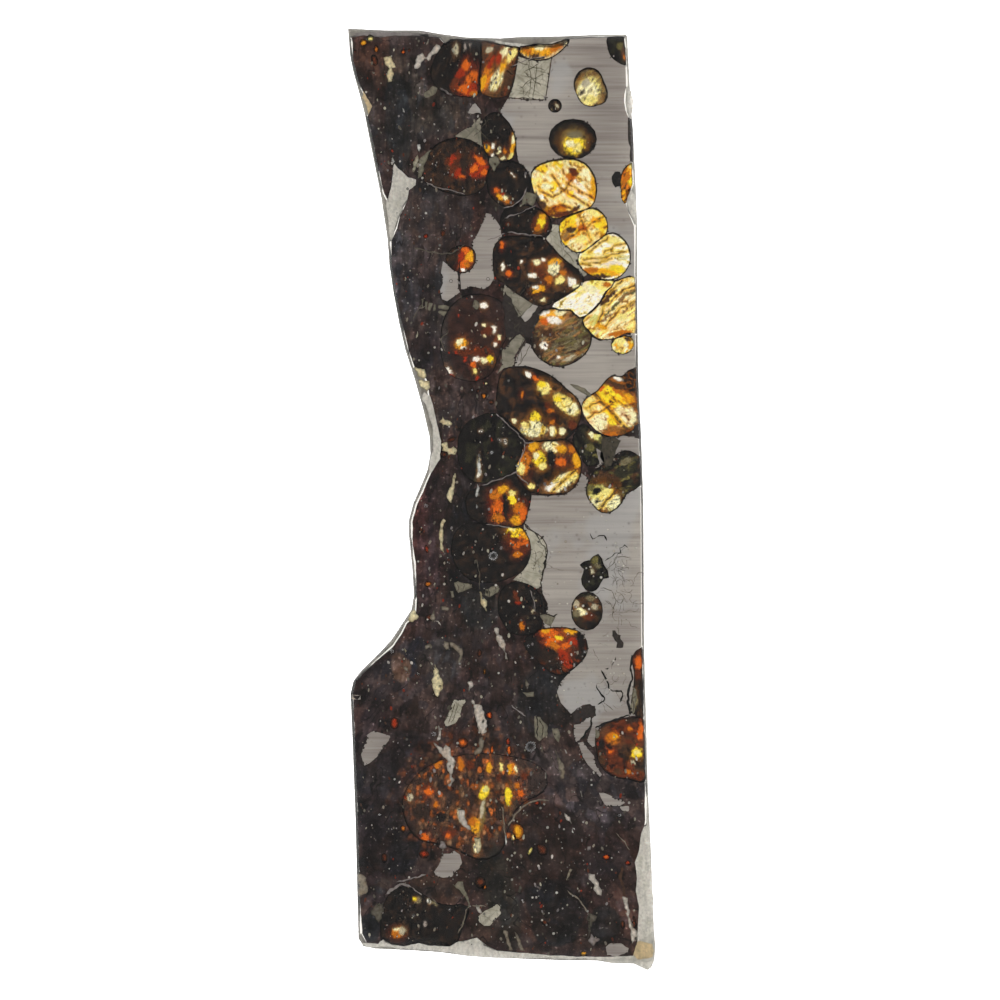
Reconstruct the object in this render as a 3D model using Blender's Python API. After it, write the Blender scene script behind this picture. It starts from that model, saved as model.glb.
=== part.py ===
"""A cut and polished slice of a pallasite, sealed in a coat of clear resin.

The slice lies flat. Its face is seen from above, with +X to the right and +Y
along its length. Outlines are pairs of millimetres from the middle of the
slice, and every piece is the full thickness of the cut.
"""

import math

import bmesh
import bpy

MM = 0.001

# Driving sizes, in millimetres.
CUT_THICKNESS = 2.0
COAT_THICKNESS = 0.3
COAT_EDGE = 0.15
GRAIN_GAP = 0.1
POCKET_GAP = 0.1
PARTING_GAP = 0.1
CUTTER_EXTRA = 1.0

SLAB_THICKNESS = CUT_THICKNESS + 2 * COAT_THICKNESS
SLAB_MIDDLE = SLAB_THICKNESS / 2

# The slab's box runs from -15.25 to 15.6 and from -47.1 to 47.2, so its middle is here.
CENTRE_X = 0.175
CENTRE_Y = 0.05

CURVE_STEPS = 2
COAT_STEPS = 1
ELLIPSE_POINTS = 8
PARTING_BOX = 150.0

# Colour, roughness, metallic value and transmission of each kind of matter.
FINISHES = {
    "resin": ((0.86, 0.86, 0.80), 0.08, 0.0, 0.9),
    "rock": ((0.030, 0.020, 0.018), 0.45, 0.0, 0.0),
    "metal": ((0.22, 0.20, 0.20), 0.35, 1.0, 0.0),
    "troilite": ((0.16, 0.16, 0.12), 0.50, 0.6, 0.0),
    "black": ((0.012, 0.012, 0.010), 0.20, 0.0, 0.2),
    "green": ((0.060, 0.060, 0.025), 0.20, 0.0, 0.3),
    "brown": ((0.110, 0.045, 0.022), 0.25, 0.0, 0.2),
    "red": ((0.220, 0.035, 0.012), 0.20, 0.0, 0.4),
    "amber": ((0.600, 0.230, 0.030), 0.15, 0.0, 0.5),
    "yellow": ((0.850, 0.600, 0.120), 0.15, 0.0, 0.7),
    "pale": ((0.850, 0.780, 0.500), 0.15, 0.0, 0.7),
}

COAT_OUTLINE = (
    (-15.25, 47.2), (-14.6, 47.2), (-11.5, 47.05), (-8.0, 47.05), (-6.0, 46.7),
    (-3.4, 46.35), (0.0, 46.25), (2.0, 46.4), (6.0, 46.45), (9.5, 46.6), (12.6, 46.65),
    (12.78, 46.4), (12.9, 44.0), (13.1, 40.0), (13.35, 37.0), (13.6, 32.0), (13.8, 27.0),
    (13.8, 19.5), (13.9, 12.0), (14.25, 4.5), (14.4, -0.5), (14.45, -8.0), (14.5, -15.5),
    (14.7, -23.0), (14.85, -29.0), (15.1, -34.0), (15.3, -39.0), (15.45, -43.0),
    (15.6, -44.7), (15.5, -46.0), (15.2, -46.8), (14.75, -47.1), (14.1, -46.8),
    (13.4, -46.45), (11.2, -46.4), (9.8, -46.15), (6.0, -46.1), (2.0, -45.95),
    (-1.0, -45.85), (-3.5, -45.65), (-6.0, -45.3), (-9.0, -45.1), (-12.5, -44.95),
    (-13.7, -44.7), (-14.2, -43.9), (-14.3, -40.0), (-14.5, -32.0), (-14.8, -24.0),
    (-15.0, -19.4), (-14.7, -18.1), (-13.9, -17.05), (-12.0, -15.2), (-10.9, -14.0),
    (-9.7, -12.2), (-8.9, -11.0), (-8.65, -9.6), (-8.8, -7.0), (-9.15, -3.6),
    (-9.15, -2.0), (-8.7, -0.3), (-7.9, 1.5), (-7.3, 3.0), (-7.0, 4.6), (-7.1, 6.4),
    (-7.7, 9.0), (-8.6, 12.2), (-9.5, 15.0), (-10.15, 17.8), (-10.7, 20.8),
    (-11.1, 23.5), (-11.3, 26.2), (-11.9, 30.2), (-12.5, 33.2), (-13.1, 36.2),
    (-13.65, 39.0), (-14.3, 41.4), (-14.75, 43.0), (-15.05, 44.6),
)

CUT_OUTLINE = (
    (-14.8, 46.3), (-13.6, 46.5), (-12.0, 46.3), (-10.5, 46.45), (-8.8, 46.5),
    (-7.6, 46.4), (-6.1, 46.2), (-5.5, 45.6), (-4.9, 46.0), (-3.8, 46.0), (-2.2, 45.9),
    (-1.0, 45.8), (0.2, 45.5), (1.8, 45.3), (3.5, 45.55), (5.2, 45.6), (6.8, 46.1),
    (10.0, 46.25), (12.35, 46.25), (12.55, 44.0), (12.6, 41.5), (12.45, 40.8),
    (12.4, 40.0), (12.55, 39.0), (12.95, 38.0), (13.1, 35.0), (13.2, 31.6),
    (12.7, 30.3), (12.6, 29.7), (12.9, 28.6), (13.4, 27.4), (13.45, 22.0),
    (13.5, 16.0), (13.65, 10.0), (13.9, 5.0), (14.05, 0.0), (14.1, -6.0),
    (14.15, -15.0), (14.3, -22.0), (14.5, -29.0), (14.5, -32.4), (14.1, -33.4),
    (13.9, -35.0), (13.5, -36.3), (13.7, -37.5), (13.6, -39.2), (13.9, -40.6),
    (13.8, -43.0), (13.7, -44.4), (13.3, -45.6), (11.0, -45.7), (8.0, -45.7),
    (5.0, -45.55), (2.0, -45.3), (-0.3, -45.1), (-1.2, -44.7), (-2.3, -43.8),
    (-3.3, -44.1), (-4.4, -44.2), (-5.0, -44.6), (-7.0, -44.5), (-8.2, -44.25),
    (-9.6, -44.6), (-10.8, -44.4), (-11.7, -43.9), (-12.2, -44.4), (-13.3, -44.3),
    (-13.8, -43.4), (-14.0, -40.0), (-14.2, -32.0), (-14.5, -24.0), (-14.7, -19.4),
    (-14.4, -18.2), (-13.6, -17.3), (-11.7, -15.6), (-10.6, -14.6), (-9.8, -13.4),
    (-9.3, -12.4), (-8.4, -11.6), (-8.3, -10.0), (-8.4, -6.5), (-8.7, -4.5),
    (-8.75, -2.2), (-8.3, -0.5), (-7.6, 1.0), (-6.9, 2.7), (-6.0, 4.1), (-5.9, 5.9),
    (-6.3, 7.5), (-6.7, 9.5), (-7.1, 10.7), (-7.2, 11.7), (-7.7, 12.8), (-8.5, 13.3),
    (-9.1, 15.0), (-9.8, 17.8), (-10.4, 20.8), (-10.8, 23.5), (-10.85, 25.9),
    (-10.3, 27.2), (-10.0, 28.4), (-9.3, 30.0), (-9.1, 31.0), (-8.45, 31.5),
    (-8.4, 32.1), (-9.2, 32.3), (-10.2, 33.2), (-10.7, 33.9), (-10.85, 31.5),
    (-11.2, 30.0), (-11.6, 30.8), (-12.1, 33.0), (-12.7, 36.0), (-13.2, 38.4),
    (-12.8, 39.4), (-13.6, 40.8), (-14.2, 42.2), (-14.7, 44.2),
)


def ellipse(x, y, half_width, half_height):
    """Points around an ellipse, given by its middle and its two half sizes."""
    turns = [2 * math.pi * step / ELLIPSE_POINTS for step in range(ELLIPSE_POINTS)]
    return tuple((x + half_width * math.cos(t), y + half_height * math.sin(t)) for t in turns)


# Olivine crystals: name, colour and rounded outline. A later one gives way to an earlier one.
CRYSTALS = (
    ("olivine_black_top_left", "black", (
        (-5.0, 46.4), (-3.7, 46.5), (-2.2, 46.3), (-2.0, 44.5), (-2.1, 42.5), (-2.3, 40.5),
        (-3.8, 40.45), (-5.1, 40.6), (-6.2, 41.2), (-6.8, 42.2), (-6.8, 43.4), (-6.3, 44.6),
        (-5.7, 45.5))),
    ("olivine_striped_top_left", "amber", (
        (-1.8, 46.3), (-0.3, 46.1), (0.6, 45.9), (1.7, 45.8), (1.7, 44.2), (1.5, 42.8),
        (1.2, 41.4), (0.7, 40.5), (-0.3, 40.3), (-1.4, 40.5), (-1.9, 40.8), (-1.9, 42.5),
        (-1.8, 44.5))),
    ("olivine_half_moon_top", "brown", (
        (1.9, 45.0), (2.7, 45.8), (3.7, 46.0), (4.8, 46.1), (5.7, 46.2), (6.4, 46.3),
        (6.9, 46.3), (6.4, 45.3), (5.6, 44.6), (4.6, 44.15), (3.6, 44.05), (2.6, 44.3))),
    ("olivine_wedge_top_corner", "black", (
        (10.9, 46.6), (11.8, 46.8), (13.2, 46.6), (13.2, 43.4), (12.5, 43.55), (11.8, 43.9),
        (11.2, 44.4), (10.9, 45.1))),
    ("olivine_pale_egg", "pale", (
        (9.0, 43.2), (9.8, 42.9), (10.3, 41.9), (10.7, 40.8), (10.5, 39.9), (9.7, 39.55),
        (9.0, 39.45), (8.2, 39.8), (7.7, 40.7), (7.45, 41.6), (7.7, 42.5), (8.3, 43.05))),
    ("olivine_bead", "black", ellipse(5.5, 39.45, 0.6, 0.6)),
    ("olivine_yellow_eye", "yellow", ellipse(7.28, 36.12, 2.32, 1.93)),
    ("olivine_dark_oval", "black", (
        (-0.3, 38.7), (0.5, 38.1), (1.2, 37.1), (1.55, 35.8), (1.4, 34.6), (0.8, 34.0),
        (-0.2, 34.0), (-1.1, 34.5), (-1.6, 35.3), (-1.8, 36.6), (-1.6, 38.0), (-1.0, 38.6))),
    ("olivine_amber_edge", "amber", (
        (14.0, 33.8), (14.0, 31.0), (13.0, 30.2), (12.5, 29.7), (12.2, 30.9), (12.1, 32.1),
        (12.4, 33.0), (13.0, 33.6))),
    ("olivine_yellow_upper", "yellow", (
        (4.1, 33.6), (5.6, 34.0), (7.2, 34.1), (8.4, 33.7), (9.2, 32.8), (9.6, 31.6),
        (9.55, 30.4), (9.1, 29.4), (7.8, 28.9), (6.5, 28.4), (5.4, 28.2), (4.4, 28.9),
        (3.7, 30.0), (3.3, 31.3), (3.2, 32.8))),
    ("olivine_black_round", "black", (
        (0.7, 33.9), (1.8, 33.7), (2.6, 33.0), (3.0, 32.0), (2.9, 30.8), (2.1, 29.9),
        (1.2, 29.4), (0.3, 29.5), (-0.5, 30.0), (-1.1, 30.8), (-1.3, 31.8), (-1.1, 32.9),
        (-0.3, 33.7))),
    ("olivine_dark_red", "red", (
        (-5.9, 35.8), (-4.5, 36.2), (-3.2, 36.0), (-2.0, 35.4), (-1.3, 34.5), (-1.1, 33.4),
        (-1.4, 32.0), (-1.9, 31.1), (-3.2, 30.5), (-4.8, 30.7), (-6.4, 31.2), (-7.5, 31.9),
        (-7.8, 32.9), (-7.4, 34.2), (-6.8, 35.1))),
    ("olivine_yellow_middle", "yellow", (
        (8.3, 28.9), (9.3, 29.2), (10.2, 28.7), (10.7, 27.7), (10.6, 26.7), (9.6, 25.9),
        (8.6, 25.1), (7.7, 24.8), (6.8, 25.3), (6.2, 26.0), (6.0, 27.0), (6.1, 27.8),
        (7.1, 28.5))),
    ("olivine_yellow_banded", "yellow", (
        (10.6, 26.5), (11.3, 26.7), (12.1, 26.3), (12.8, 25.4), (13.0, 24.4), (12.8, 23.4),
        (12.1, 22.5), (11.1, 22.1), (9.9, 22.2), (8.8, 22.7), (8.0, 23.5), (7.9, 24.4),
        (8.3, 25.0), (9.2, 25.5), (9.9, 26.0))),
    ("olivine_dark_wedge", "black", (
        (0.9, 29.2), (2.1, 29.5), (3.5, 29.3), (4.6, 28.6), (5.1, 27.8), (5.0, 26.9),
        (4.5, 26.35), (3.0, 26.5), (1.5, 26.8), (0.4, 26.9), (0.1, 27.8), (0.3, 28.8))),
    ("olivine_dark_amber", "amber", (
        (0.0, 26.0), (1.2, 26.4), (3.0, 26.3), (4.3, 26.1), (5.2, 25.3), (6.0, 24.4),
        (7.1, 23.5), (8.2, 22.5), (8.3, 21.9), (7.2, 21.0), (6.0, 20.2), (4.8, 19.6),
        (3.8, 19.5), (2.7, 20.1), (1.3, 21.0), (0.3, 21.8), (-0.4, 22.3), (-0.6, 23.8),
        (-0.6, 25.1))),
    ("olivine_pale_shard", "pale", (
        (8.4, 21.9), (10.0, 22.0), (11.4, 21.9), (10.5, 20.9), (9.9, 19.8), (9.0, 18.9),
        (8.0, 18.3), (7.1, 19.1), (5.2, 19.35), (6.1, 20.1), (7.3, 20.9))),
    ("olivine_yellow_edge", "yellow", (
        (11.6, 21.9), (14.2, 22.0), (14.2, 16.8), (12.8, 16.8), (11.7, 16.3), (10.7, 16.1),
        (9.8, 16.2), (9.0, 16.9), (8.3, 18.0), (9.2, 18.8), (10.1, 19.7), (10.7, 20.8))),
    ("olivine_small_red", "red", (
        (-4.4, 25.3), (-3.4, 25.4), (-2.7, 25.0), (-2.5, 24.2), (-2.8, 23.3), (-3.5, 22.8),
        (-4.3, 22.9), (-5.0, 23.4), (-5.4, 24.1), (-5.1, 24.8))),
    ("olivine_half_bright", "brown", (
        (4.3, 19.0), (5.8, 19.1), (7.2, 19.0), (8.2, 18.4), (8.9, 17.3), (9.1, 16.1),
        (8.8, 15.1), (8.0, 14.2), (6.9, 13.6), (5.6, 13.4), (4.4, 13.9), (3.5, 14.8),
        (3.1, 15.9), (3.4, 17.2), (3.8, 18.3))),
    ("olivine_small_pale", "pale", (
        (11.3, 15.9), (11.9, 16.25), (13.0, 16.3), (13.3, 15.8), (13.2, 15.2), (12.7, 14.75),
        (11.9, 14.7), (11.3, 15.1))),
    ("olivine_sparkling_brown", "brown", (
        (-4.2, 20.0), (-2.8, 20.5), (-1.1, 20.4), (0.3, 19.6), (1.0, 18.4), (1.0, 17.0),
        (0.3, 15.7), (-0.2, 14.4), (-0.7, 13.0), (-1.8, 12.1), (-3.6, 12.0), (-5.1, 12.7),
        (-5.8, 14.3), (-5.9, 16.4), (-5.4, 18.5))),
    ("olivine_shattered_yellow", "yellow", (
        (0.4, 13.0), (1.6, 13.3), (3.0, 13.2), (4.3, 12.8), (5.5, 12.1), (6.6, 11.1),
        (7.7, 10.1), (8.1, 9.1), (8.0, 8.0), (7.4, 6.9), (6.7, 6.2), (4.8, 6.0), (2.9, 6.0),
        (1.9, 6.9), (0.8, 8.0), (-0.2, 8.9), (-0.3, 10.4), (-0.1, 12.0))),
    ("olivine_yellow_split", "yellow", (
        (10.6, 11.9), (11.3, 12.4), (12.2, 12.3), (12.9, 12.9), (14.2, 13.1), (14.2, 8.0),
        (13.2, 7.0), (11.8, 6.4), (10.6, 6.5), (9.5, 7.1), (8.6, 8.2), (8.2, 9.3),
        (8.7, 10.2), (9.8, 10.9))),
    ("olivine_amber_hexagon", "amber", (
        (2.6, 5.7), (4.6, 5.9), (6.7, 6.0), (7.6, 5.0), (8.1, 3.7), (8.0, 2.5), (7.4, 1.3),
        (6.4, 0.7), (4.8, 0.6), (3.1, 0.8), (2.0, 2.0), (1.6, 3.0), (2.1, 4.4))),
    ("olivine_dark_green", "green", (
        (8.3, 7.6), (9.1, 6.9), (10.2, 6.5), (11.2, 6.0), (11.2, 5.1), (10.6, 4.2),
        (9.7, 3.6), (8.7, 3.5), (8.2, 4.3), (7.7, 5.2), (7.3, 6.0), (7.7, 6.9))),
    ("olivine_green_edge", "green", (
        (11.4, 4.3), (12.5, 4.9), (13.5, 4.6), (14.5, 3.8), (14.5, 2.0), (13.6, 1.2),
        (12.6, 0.6), (12.1, -0.3), (11.2, -1.1), (10.2, -1.2), (9.3, -0.4), (8.7, 0.6),
        (8.9, 1.9), (9.7, 3.0), (10.6, 3.7))),
    ("olivine_black_middle", "black", (
        (-2.2, 8.3), (-0.3, 8.6), (1.0, 7.5), (2.3, 5.9), (2.0, 4.4), (1.5, 3.0),
        (0.0, 2.3), (-1.6, 1.7), (-3.1, 2.2), (-4.0, 3.6), (-4.2, 5.5), (-3.7, 7.2))),
    ("olivine_amber_specked", "amber", (
        (-1.4, 1.4), (0.0, 2.0), (1.7, 2.6), (3.0, 1.0), (3.0, -0.1), (2.7, -1.3),
        (2.2, -2.5), (0.5, -2.6), (-1.2, -2.4), (-2.7, -1.9), (-3.4, -0.6), (-3.0, 0.8))),
    ("olivine_amber_rimmed", "amber", (
        (-1.2, -2.6), (0.5, -2.8), (1.9, -2.7), (2.6, -3.4), (3.0, -4.6), (2.9, -5.8),
        (2.3, -6.9), (1.2, -7.6), (-0.4, -8.2), (-2.2, -8.2), (-3.7, -7.4), (-4.6, -6.0),
        (-4.8, -4.5), (-4.3, -3.1), (-3.0, -2.3))),
    ("olivine_black_lower", "black", (
        (1.1, -8.3), (2.5, -8.4), (3.6, -9.0), (4.2, -9.7), (4.6, -10.5), (4.5, -11.3),
        (4.2, -12.2), (4.0, -12.9), (2.6, -13.5), (1.1, -13.2), (0.2, -12.0), (-0.2, -10.5),
        (0.1, -9.2))),
    ("olivine_orange_red", "red", (
        (4.1, -13.0), (5.6, -12.8), (7.4, -13.0), (8.3, -13.6), (8.7, -14.6), (8.5, -15.6),
        (7.7, -16.5), (6.8, -17.2), (5.7, -17.5), (4.6, -16.8), (3.4, -15.7), (2.4, -14.3),
        (3.1, -13.4))),
    ("olivine_green_arrow", "green", (
        (9.8, -5.5), (10.3, -6.5), (10.8, -7.7), (10.3, -7.8), (9.8, -8.7), (9.2, -9.1),
        (8.6, -8.9), (8.2, -7.9), (8.5, -6.9), (8.1, -6.5), (9.0, -6.1))),
    ("olivine_brown_oval", "brown", ellipse(8.7, -11.1, 1.5, 1.87)),
    ("olivine_orange_edge", "brown", (
        (13.6, -15.2), (14.8, -14.8), (14.8, -21.6), (13.7, -21.6), (13.2, -20.6),
        (13.4, -19.0), (13.5, -17.2), (13.3, -16.1))),
    ("olivine_celled_amber", "amber", (
        (10.0, -22.9), (11.2, -22.2), (12.8, -21.9), (15.0, -22.0), (15.0, -28.0),
        (12.8, -27.9), (11.1, -27.5), (10.1, -26.5), (9.7, -25.1), (9.6, -23.9))),
    ("olivine_black_bottom_left", "black", (
        (-11.6, -40.5), (-10.9, -39.3), (-9.5, -38.7), (-8.0, -39.3), (-6.5, -40.3),
        (-4.8, -40.6), (-3.2, -40.7), (-3.6, -42.2), (-4.2, -44.0), (-4.6, -45.4),
        (-7.0, -45.6), (-9.5, -45.6), (-11.3, -45.4), (-11.9, -42.8))),
    ("olivine_rusted_cluster", "brown", (
        (-7.0, -26.6), (-4.5, -25.7), (-2.0, -25.4), (0.5, -25.6), (3.0, -26.2),
        (4.6, -27.4), (4.3, -29.2), (2.7, -30.0), (1.2, -31.5), (0.6, -33.8), (-0.3, -35.5),
        (-2.4, -35.9), (-4.4, -34.9), (-6.0, -34.4), (-8.0, -34.0), (-9.4, -32.2),
        (-9.7, -30.0), (-8.7, -28.0))),
)

# Troilite and metal: name, kind and straight-sided outline, giving way to the crystals.
METALS = (
    ("troilite_square", "troilite", (
        (1.8, 44.4), (2.7, 44.1), (3.7, 43.9), (4.7, 44.0), (5.1, 44.2), (4.9, 42.8),
        (4.7, 41.4), (4.5, 40.1), (3.0, 40.1), (0.9, 40.3), (1.3, 41.4), (1.6, 42.8))),
    ("troilite_triangle", "troilite", (
        (-2.0, 38.3), (-1.9, 37.6), (-1.9, 36.6), (-1.6, 35.3), (-3.0, 36.1), (-4.5, 36.4),
        (-3.7, 37.0), (-2.9, 37.4))),
    ("troilite_upper_strip", "troilite", (
        (5.2, 27.6), (6.0, 27.5), (6.1, 26.4), (6.5, 25.6), (7.2, 25.0), (8.0, 24.8),
        (7.9, 23.8), (8.2, 23.2), (8.8, 22.6), (8.3, 22.3), (7.2, 23.3), (6.2, 24.2),
        (5.5, 24.9), (4.9, 25.7), (4.6, 26.2), (5.1, 26.9))),
    ("troilite_fang", "troilite", (
        (0.5, 21.7), (1.2, 21.1), (2.2, 20.5), (3.3, 19.8), (4.0, 19.3), (3.6, 18.0),
        (3.2, 16.9), (3.1, 16.3), (2.6, 16.3), (2.0, 16.9), (1.2, 16.2), (0.9, 16.0),
        (0.9, 17.0), (0.95, 18.4), (0.5, 19.5), (0.3, 20.9))),
    ("troilite_middle", "troilite", (
        (1.9, 16.7), (2.5, 16.1), (2.1, 15.4), (1.5, 14.5), (1.4, 13.4), (0.4, 13.2),
        (-0.3, 12.6), (0.2, 13.5), (0.2, 15.0), (0.7, 15.4), (1.2, 16.0))),
    ("troilite_crescent", "troilite", (
        (2.4, -2.4), (2.7, -2.9), (3.5, -3.3), (4.2, -3.8), (4.6, -4.5), (4.7, -5.2),
        (4.5, -6.2), (4.3, -7.2), (4.0, -8.3), (4.1, -8.7), (3.7, -8.9), (3.0, -8.5),
        (2.2, -8.2), (1.3, -8.0), (1.6, -7.7), (2.3, -7.1), (2.8, -6.4), (3.0, -5.5),
        (3.0, -4.5), (2.8, -3.6), (2.4, -2.9))),
    ("troilite_lower", "troilite", (
        (-4.6, -20.0), (-3.3, -20.0), (-3.8, -20.7), (-4.0, -21.5), (-4.4, -22.3),
        (-5.4, -22.7), (-5.6, -22.2), (-5.2, -21.4), (-4.9, -20.7))),
    ("troilite_bottom", "troilite", (
        (-2.2, -41.7), (-1.5, -41.1), (-0.8, -40.8), (-0.3, -40.4), (0.0, -40.7),
        (0.1, -41.4), (-0.4, -41.9), (-1.0, -42.6), (-1.6, -42.6), (-2.1, -42.2))),
    ("metal_upper_right", "metal", (
        (5.1, 44.3), (6.0, 45.1), (7.1, 46.6), (13.2, 47.0), (14.5, 44.0), (14.5, 21.8),
        (12.2, 22.1), (10.0, 21.95), (8.3, 22.8), (6.0, 24.4), (4.8, 26.0), (5.2, 27.6),
        (4.3, 28.3), (2.9, 28.9), (2.5, 30.8), (2.7, 32.3), (1.9, 33.3), (1.6, 35.4),
        (1.2, 37.1), (0.0, 38.9), (0.8, 40.2), (4.5, 40.1), (4.9, 42.5))),
    ("metal_middle_right", "metal", (
        (2.6, 15.7), (1.9, 14.8), (1.5, 13.9), (1.4, 13.4), (2.8, 13.4), (4.1, 13.0),
        (5.5, 12.1), (6.7, 10.9), (7.8, 9.9), (8.1, 9.3), (8.6, 9.9), (9.8, 10.9), (10.6, 11.9),
        (11.3, 12.5), (12.2, 12.3), (12.8, 13.0), (14.5, 13.3), (14.5, 16.4), (13.3, 16.6),
        (11.2, 16.2), (10.0, 15.9), (9.2, 16.3), (8.5, 15.5), (6.0, 14.5), (4.0, 15.0),
        (3.2, 15.5))),
    ("metal_edge_patch", "metal", (
        (9.5, 3.2), (10.3, 4.1), (11.0, 5.0), (11.0, 6.0), (11.3, 6.5), (12.0, 6.5),
        (12.9, 6.35), (14.5, 6.35), (14.5, 4.0), (13.0, 4.4), (11.5, 4.0), (10.5, 3.4))),
    ("metal_lower_right", "metal", (
        (3.0, 0.5), (4.8, 0.4), (6.5, 0.5), (7.6, 1.3), (8.1, 2.7), (8.8, 2.2), (9.0, 1.5),
        (10.0, 0.0), (12.5, 0.5), (14.0, 1.9), (15.0, 2.2), (15.0, -21.5), (13.2, -21.6),
        (11.2, -22.1), (10.0, -22.8), (9.7, -23.8), (9.7, -24.6), (9.2, -24.7),
        (8.7, -24.1), (9.2, -22.7), (9.2, -21.9), (9.5, -21.6), (9.6, -20.9), (9.0, -20.4),
        (8.3, -20.5), (7.7, -20.9), (7.1, -21.4), (6.1, -20.3), (5.7, -19.2), (6.1, -18.2),
        (6.9, -17.3), (7.5, -16.0), (7.0, -14.0), (5.5, -13.2), (4.4, -12.7), (4.3, -11.8),
        (4.6, -11.2), (4.8, -10.4), (4.3, -9.4), (4.0, -8.6), (4.3, -7.2), (4.7, -5.6),
        (4.6, -4.5), (4.0, -3.6), (3.0, -3.0), (2.5, -2.4), (2.8, -1.1))),
    ("metal_island_right", "metal", (
        (-1.4, 28.7), (-0.9, 28.6), (-0.4, 28.0), (0.0, 27.4), (0.2, 26.4), (-0.3, 25.8),
        (-0.7, 24.8), (-0.75, 23.5), (-0.6, 22.2), (-1.0, 21.5), (-1.6, 21.1), (-2.4, 21.3),
        (-3.0, 21.4), (-3.5, 21.1), (-3.9, 21.1), (-4.0, 22.5), (-3.6, 23.0), (-2.6, 24.2),
        (-2.8, 25.8), (-2.2, 26.7), (-1.7, 27.8))),
    ("metal_island_left", "metal", (
        (-5.7, 23.9), (-5.1, 23.4), (-4.3, 22.8), (-4.2, 22.4), (-4.2, 21.2), (-4.0, 20.8),
        (-4.7, 20.3), (-5.3, 19.9), (-5.8, 20.1), (-6.0, 21.0), (-5.7, 21.7), (-5.9, 22.8))),
    ("metal_left_flake", "metal", (
        (-13.3, -23.5), (-12.7, -23.1), (-12.0, -23.3), (-11.0, -23.6), (-11.0, -23.9),
        (-11.7, -24.8), (-12.3, -25.7), (-13.0, -26.3), (-13.6, -26.6), (-13.9, -25.5),
        (-13.7, -24.8), (-13.3, -24.0))),
    ("metal_bottom_flake", "metal", (
        (-5.6, -35.4), (-5.0, -35.4), (-4.6, -35.1), (-4.0, -35.5), (-3.8, -36.3),
        (-4.1, -36.9), (-4.6, -37.3), (-4.8, -37.7), (-5.7, -37.8), (-6.4, -37.6),
        (-6.6, -37.2), (-6.1, -36.5), (-5.9, -35.8))),
    ("metal_tongue_upper", "metal", (
        (7.4, -22.5), (8.0, -22.4), (8.7, -21.8), (9.05, -21.75), (9.1, -22.4),
        (8.6, -23.3), (8.0, -24.0), (7.6, -24.2), (7.4, -23.5))),
    ("metal_tongue_lower", "metal", (
        (7.8, -24.3), (8.3, -24.2), (8.8, -24.9), (9.4, -25.6), (9.6, -26.6), (10.2, -27.5),
        (10.0, -27.7), (9.4, -27.1), (8.8, -26.5), (8.3, -25.7), (8.0, -24.8))),
    ("metal_right_flake", "metal", (
        (9.9, -29.3), (10.4, -29.3), (11.1, -29.6), (11.5, -29.9), (12.2, -30.0),
        (12.5, -30.3), (12.0, -30.6), (10.6, -30.6), (10.2, -30.0))),
)


def clear_scene():
    """Removes every object, so that the part starts from nothing."""
    for leftover in list(bpy.data.objects):
        bpy.data.objects.remove(leftover, do_unlink=True)


def new_collection(name):
    """A collection under the scene's own."""
    collection = bpy.data.collections.new(name)
    bpy.context.scene.collection.children.link(collection)
    return collection


def new_material(name, finish):
    """A Principled material with one of the finishes above."""
    colour, roughness, metallic, transmission = FINISHES[finish]
    material = bpy.data.materials.new(name)
    material.use_nodes = True
    shader = material.node_tree.nodes["Principled BSDF"]
    shader.inputs["Base Color"].default_value = (*colour, 1.0)
    shader.inputs["Roughness"].default_value = roughness
    shader.inputs["Metallic"].default_value = metallic
    shader.inputs["Transmission Weight"].default_value = transmission
    material.diffuse_color = (*colour, 1.0)
    return material


def outline_curve(name, points, thickness, grow, steps, chamfer):
    """A flat filled curve object through the points, standing half its thickness each way."""
    data = bpy.data.curves.new(name, "CURVE")
    data.dimensions = "2D"
    data.fill_mode = "BOTH"
    data.extrude = (thickness / 2 - chamfer) * MM
    data.offset = (grow - chamfer) * MM
    data.bevel_depth = chamfer * MM
    data.bevel_resolution = 0
    data.resolution_u = steps
    kind = "BEZIER" if steps > 1 else "POLY"
    spline = data.splines.new(kind)
    if kind == "BEZIER":
        spline.bezier_points.add(len(points) - 1)
        for knot, (x, y) in zip(spline.bezier_points, points):
            knot.co = (x * MM, y * MM, 0.0)
            knot.handle_left_type = "AUTO"
            knot.handle_right_type = "AUTO"
    else:
        spline.points.add(len(points) - 1)
        for knot, (x, y) in zip(spline.points, points):
            knot.co = (x * MM, y * MM, 0.0, 1.0)
    spline.use_cyclic_u = True
    return bpy.data.objects.new(name, data)


def prism(name, points, collection, thickness=CUT_THICKNESS, grow=0.0, steps=1, chamfer=0.0):
    """A closed mesh of the outline, centred on the middle of the slab's thickness."""
    curve = outline_curve(name + "_outline", points, thickness, grow, steps, chamfer)
    bpy.context.scene.collection.objects.link(curve)
    bpy.context.view_layer.update()
    graph = bpy.context.evaluated_depsgraph_get()
    mesh = bpy.data.meshes.new_from_object(curve.evaluated_get(graph))
    bpy.data.objects.remove(curve, do_unlink=True)
    weld(mesh)
    mesh.name = name
    solid = bpy.data.objects.new(name, mesh)
    solid.location = (-CENTRE_X * MM, -CENTRE_Y * MM, SLAB_MIDDLE * MM)
    collection.objects.link(solid)
    return solid


def weld(mesh):
    """Joins a curve's loose caps to its sides and turns every face outwards."""
    work = bmesh.new()
    work.from_mesh(mesh)
    bmesh.ops.remove_doubles(work, verts=work.verts, dist=0.001 * MM)
    bmesh.ops.recalc_face_normals(work, faces=work.faces)
    work.to_mesh(mesh)
    work.free()


def make_cutter(name, points, steps, thickness=CUT_THICKNESS + CUTTER_EXTRA, grow=GRAIN_GAP):
    """A grown copy of an outline that a neighbour gives way to."""
    cutter = prism(name + "_cutter", points, cutters, thickness, grow, steps)
    cutter.hide_render = True
    cutter.display_type = "WIRE"
    return cutter


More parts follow.
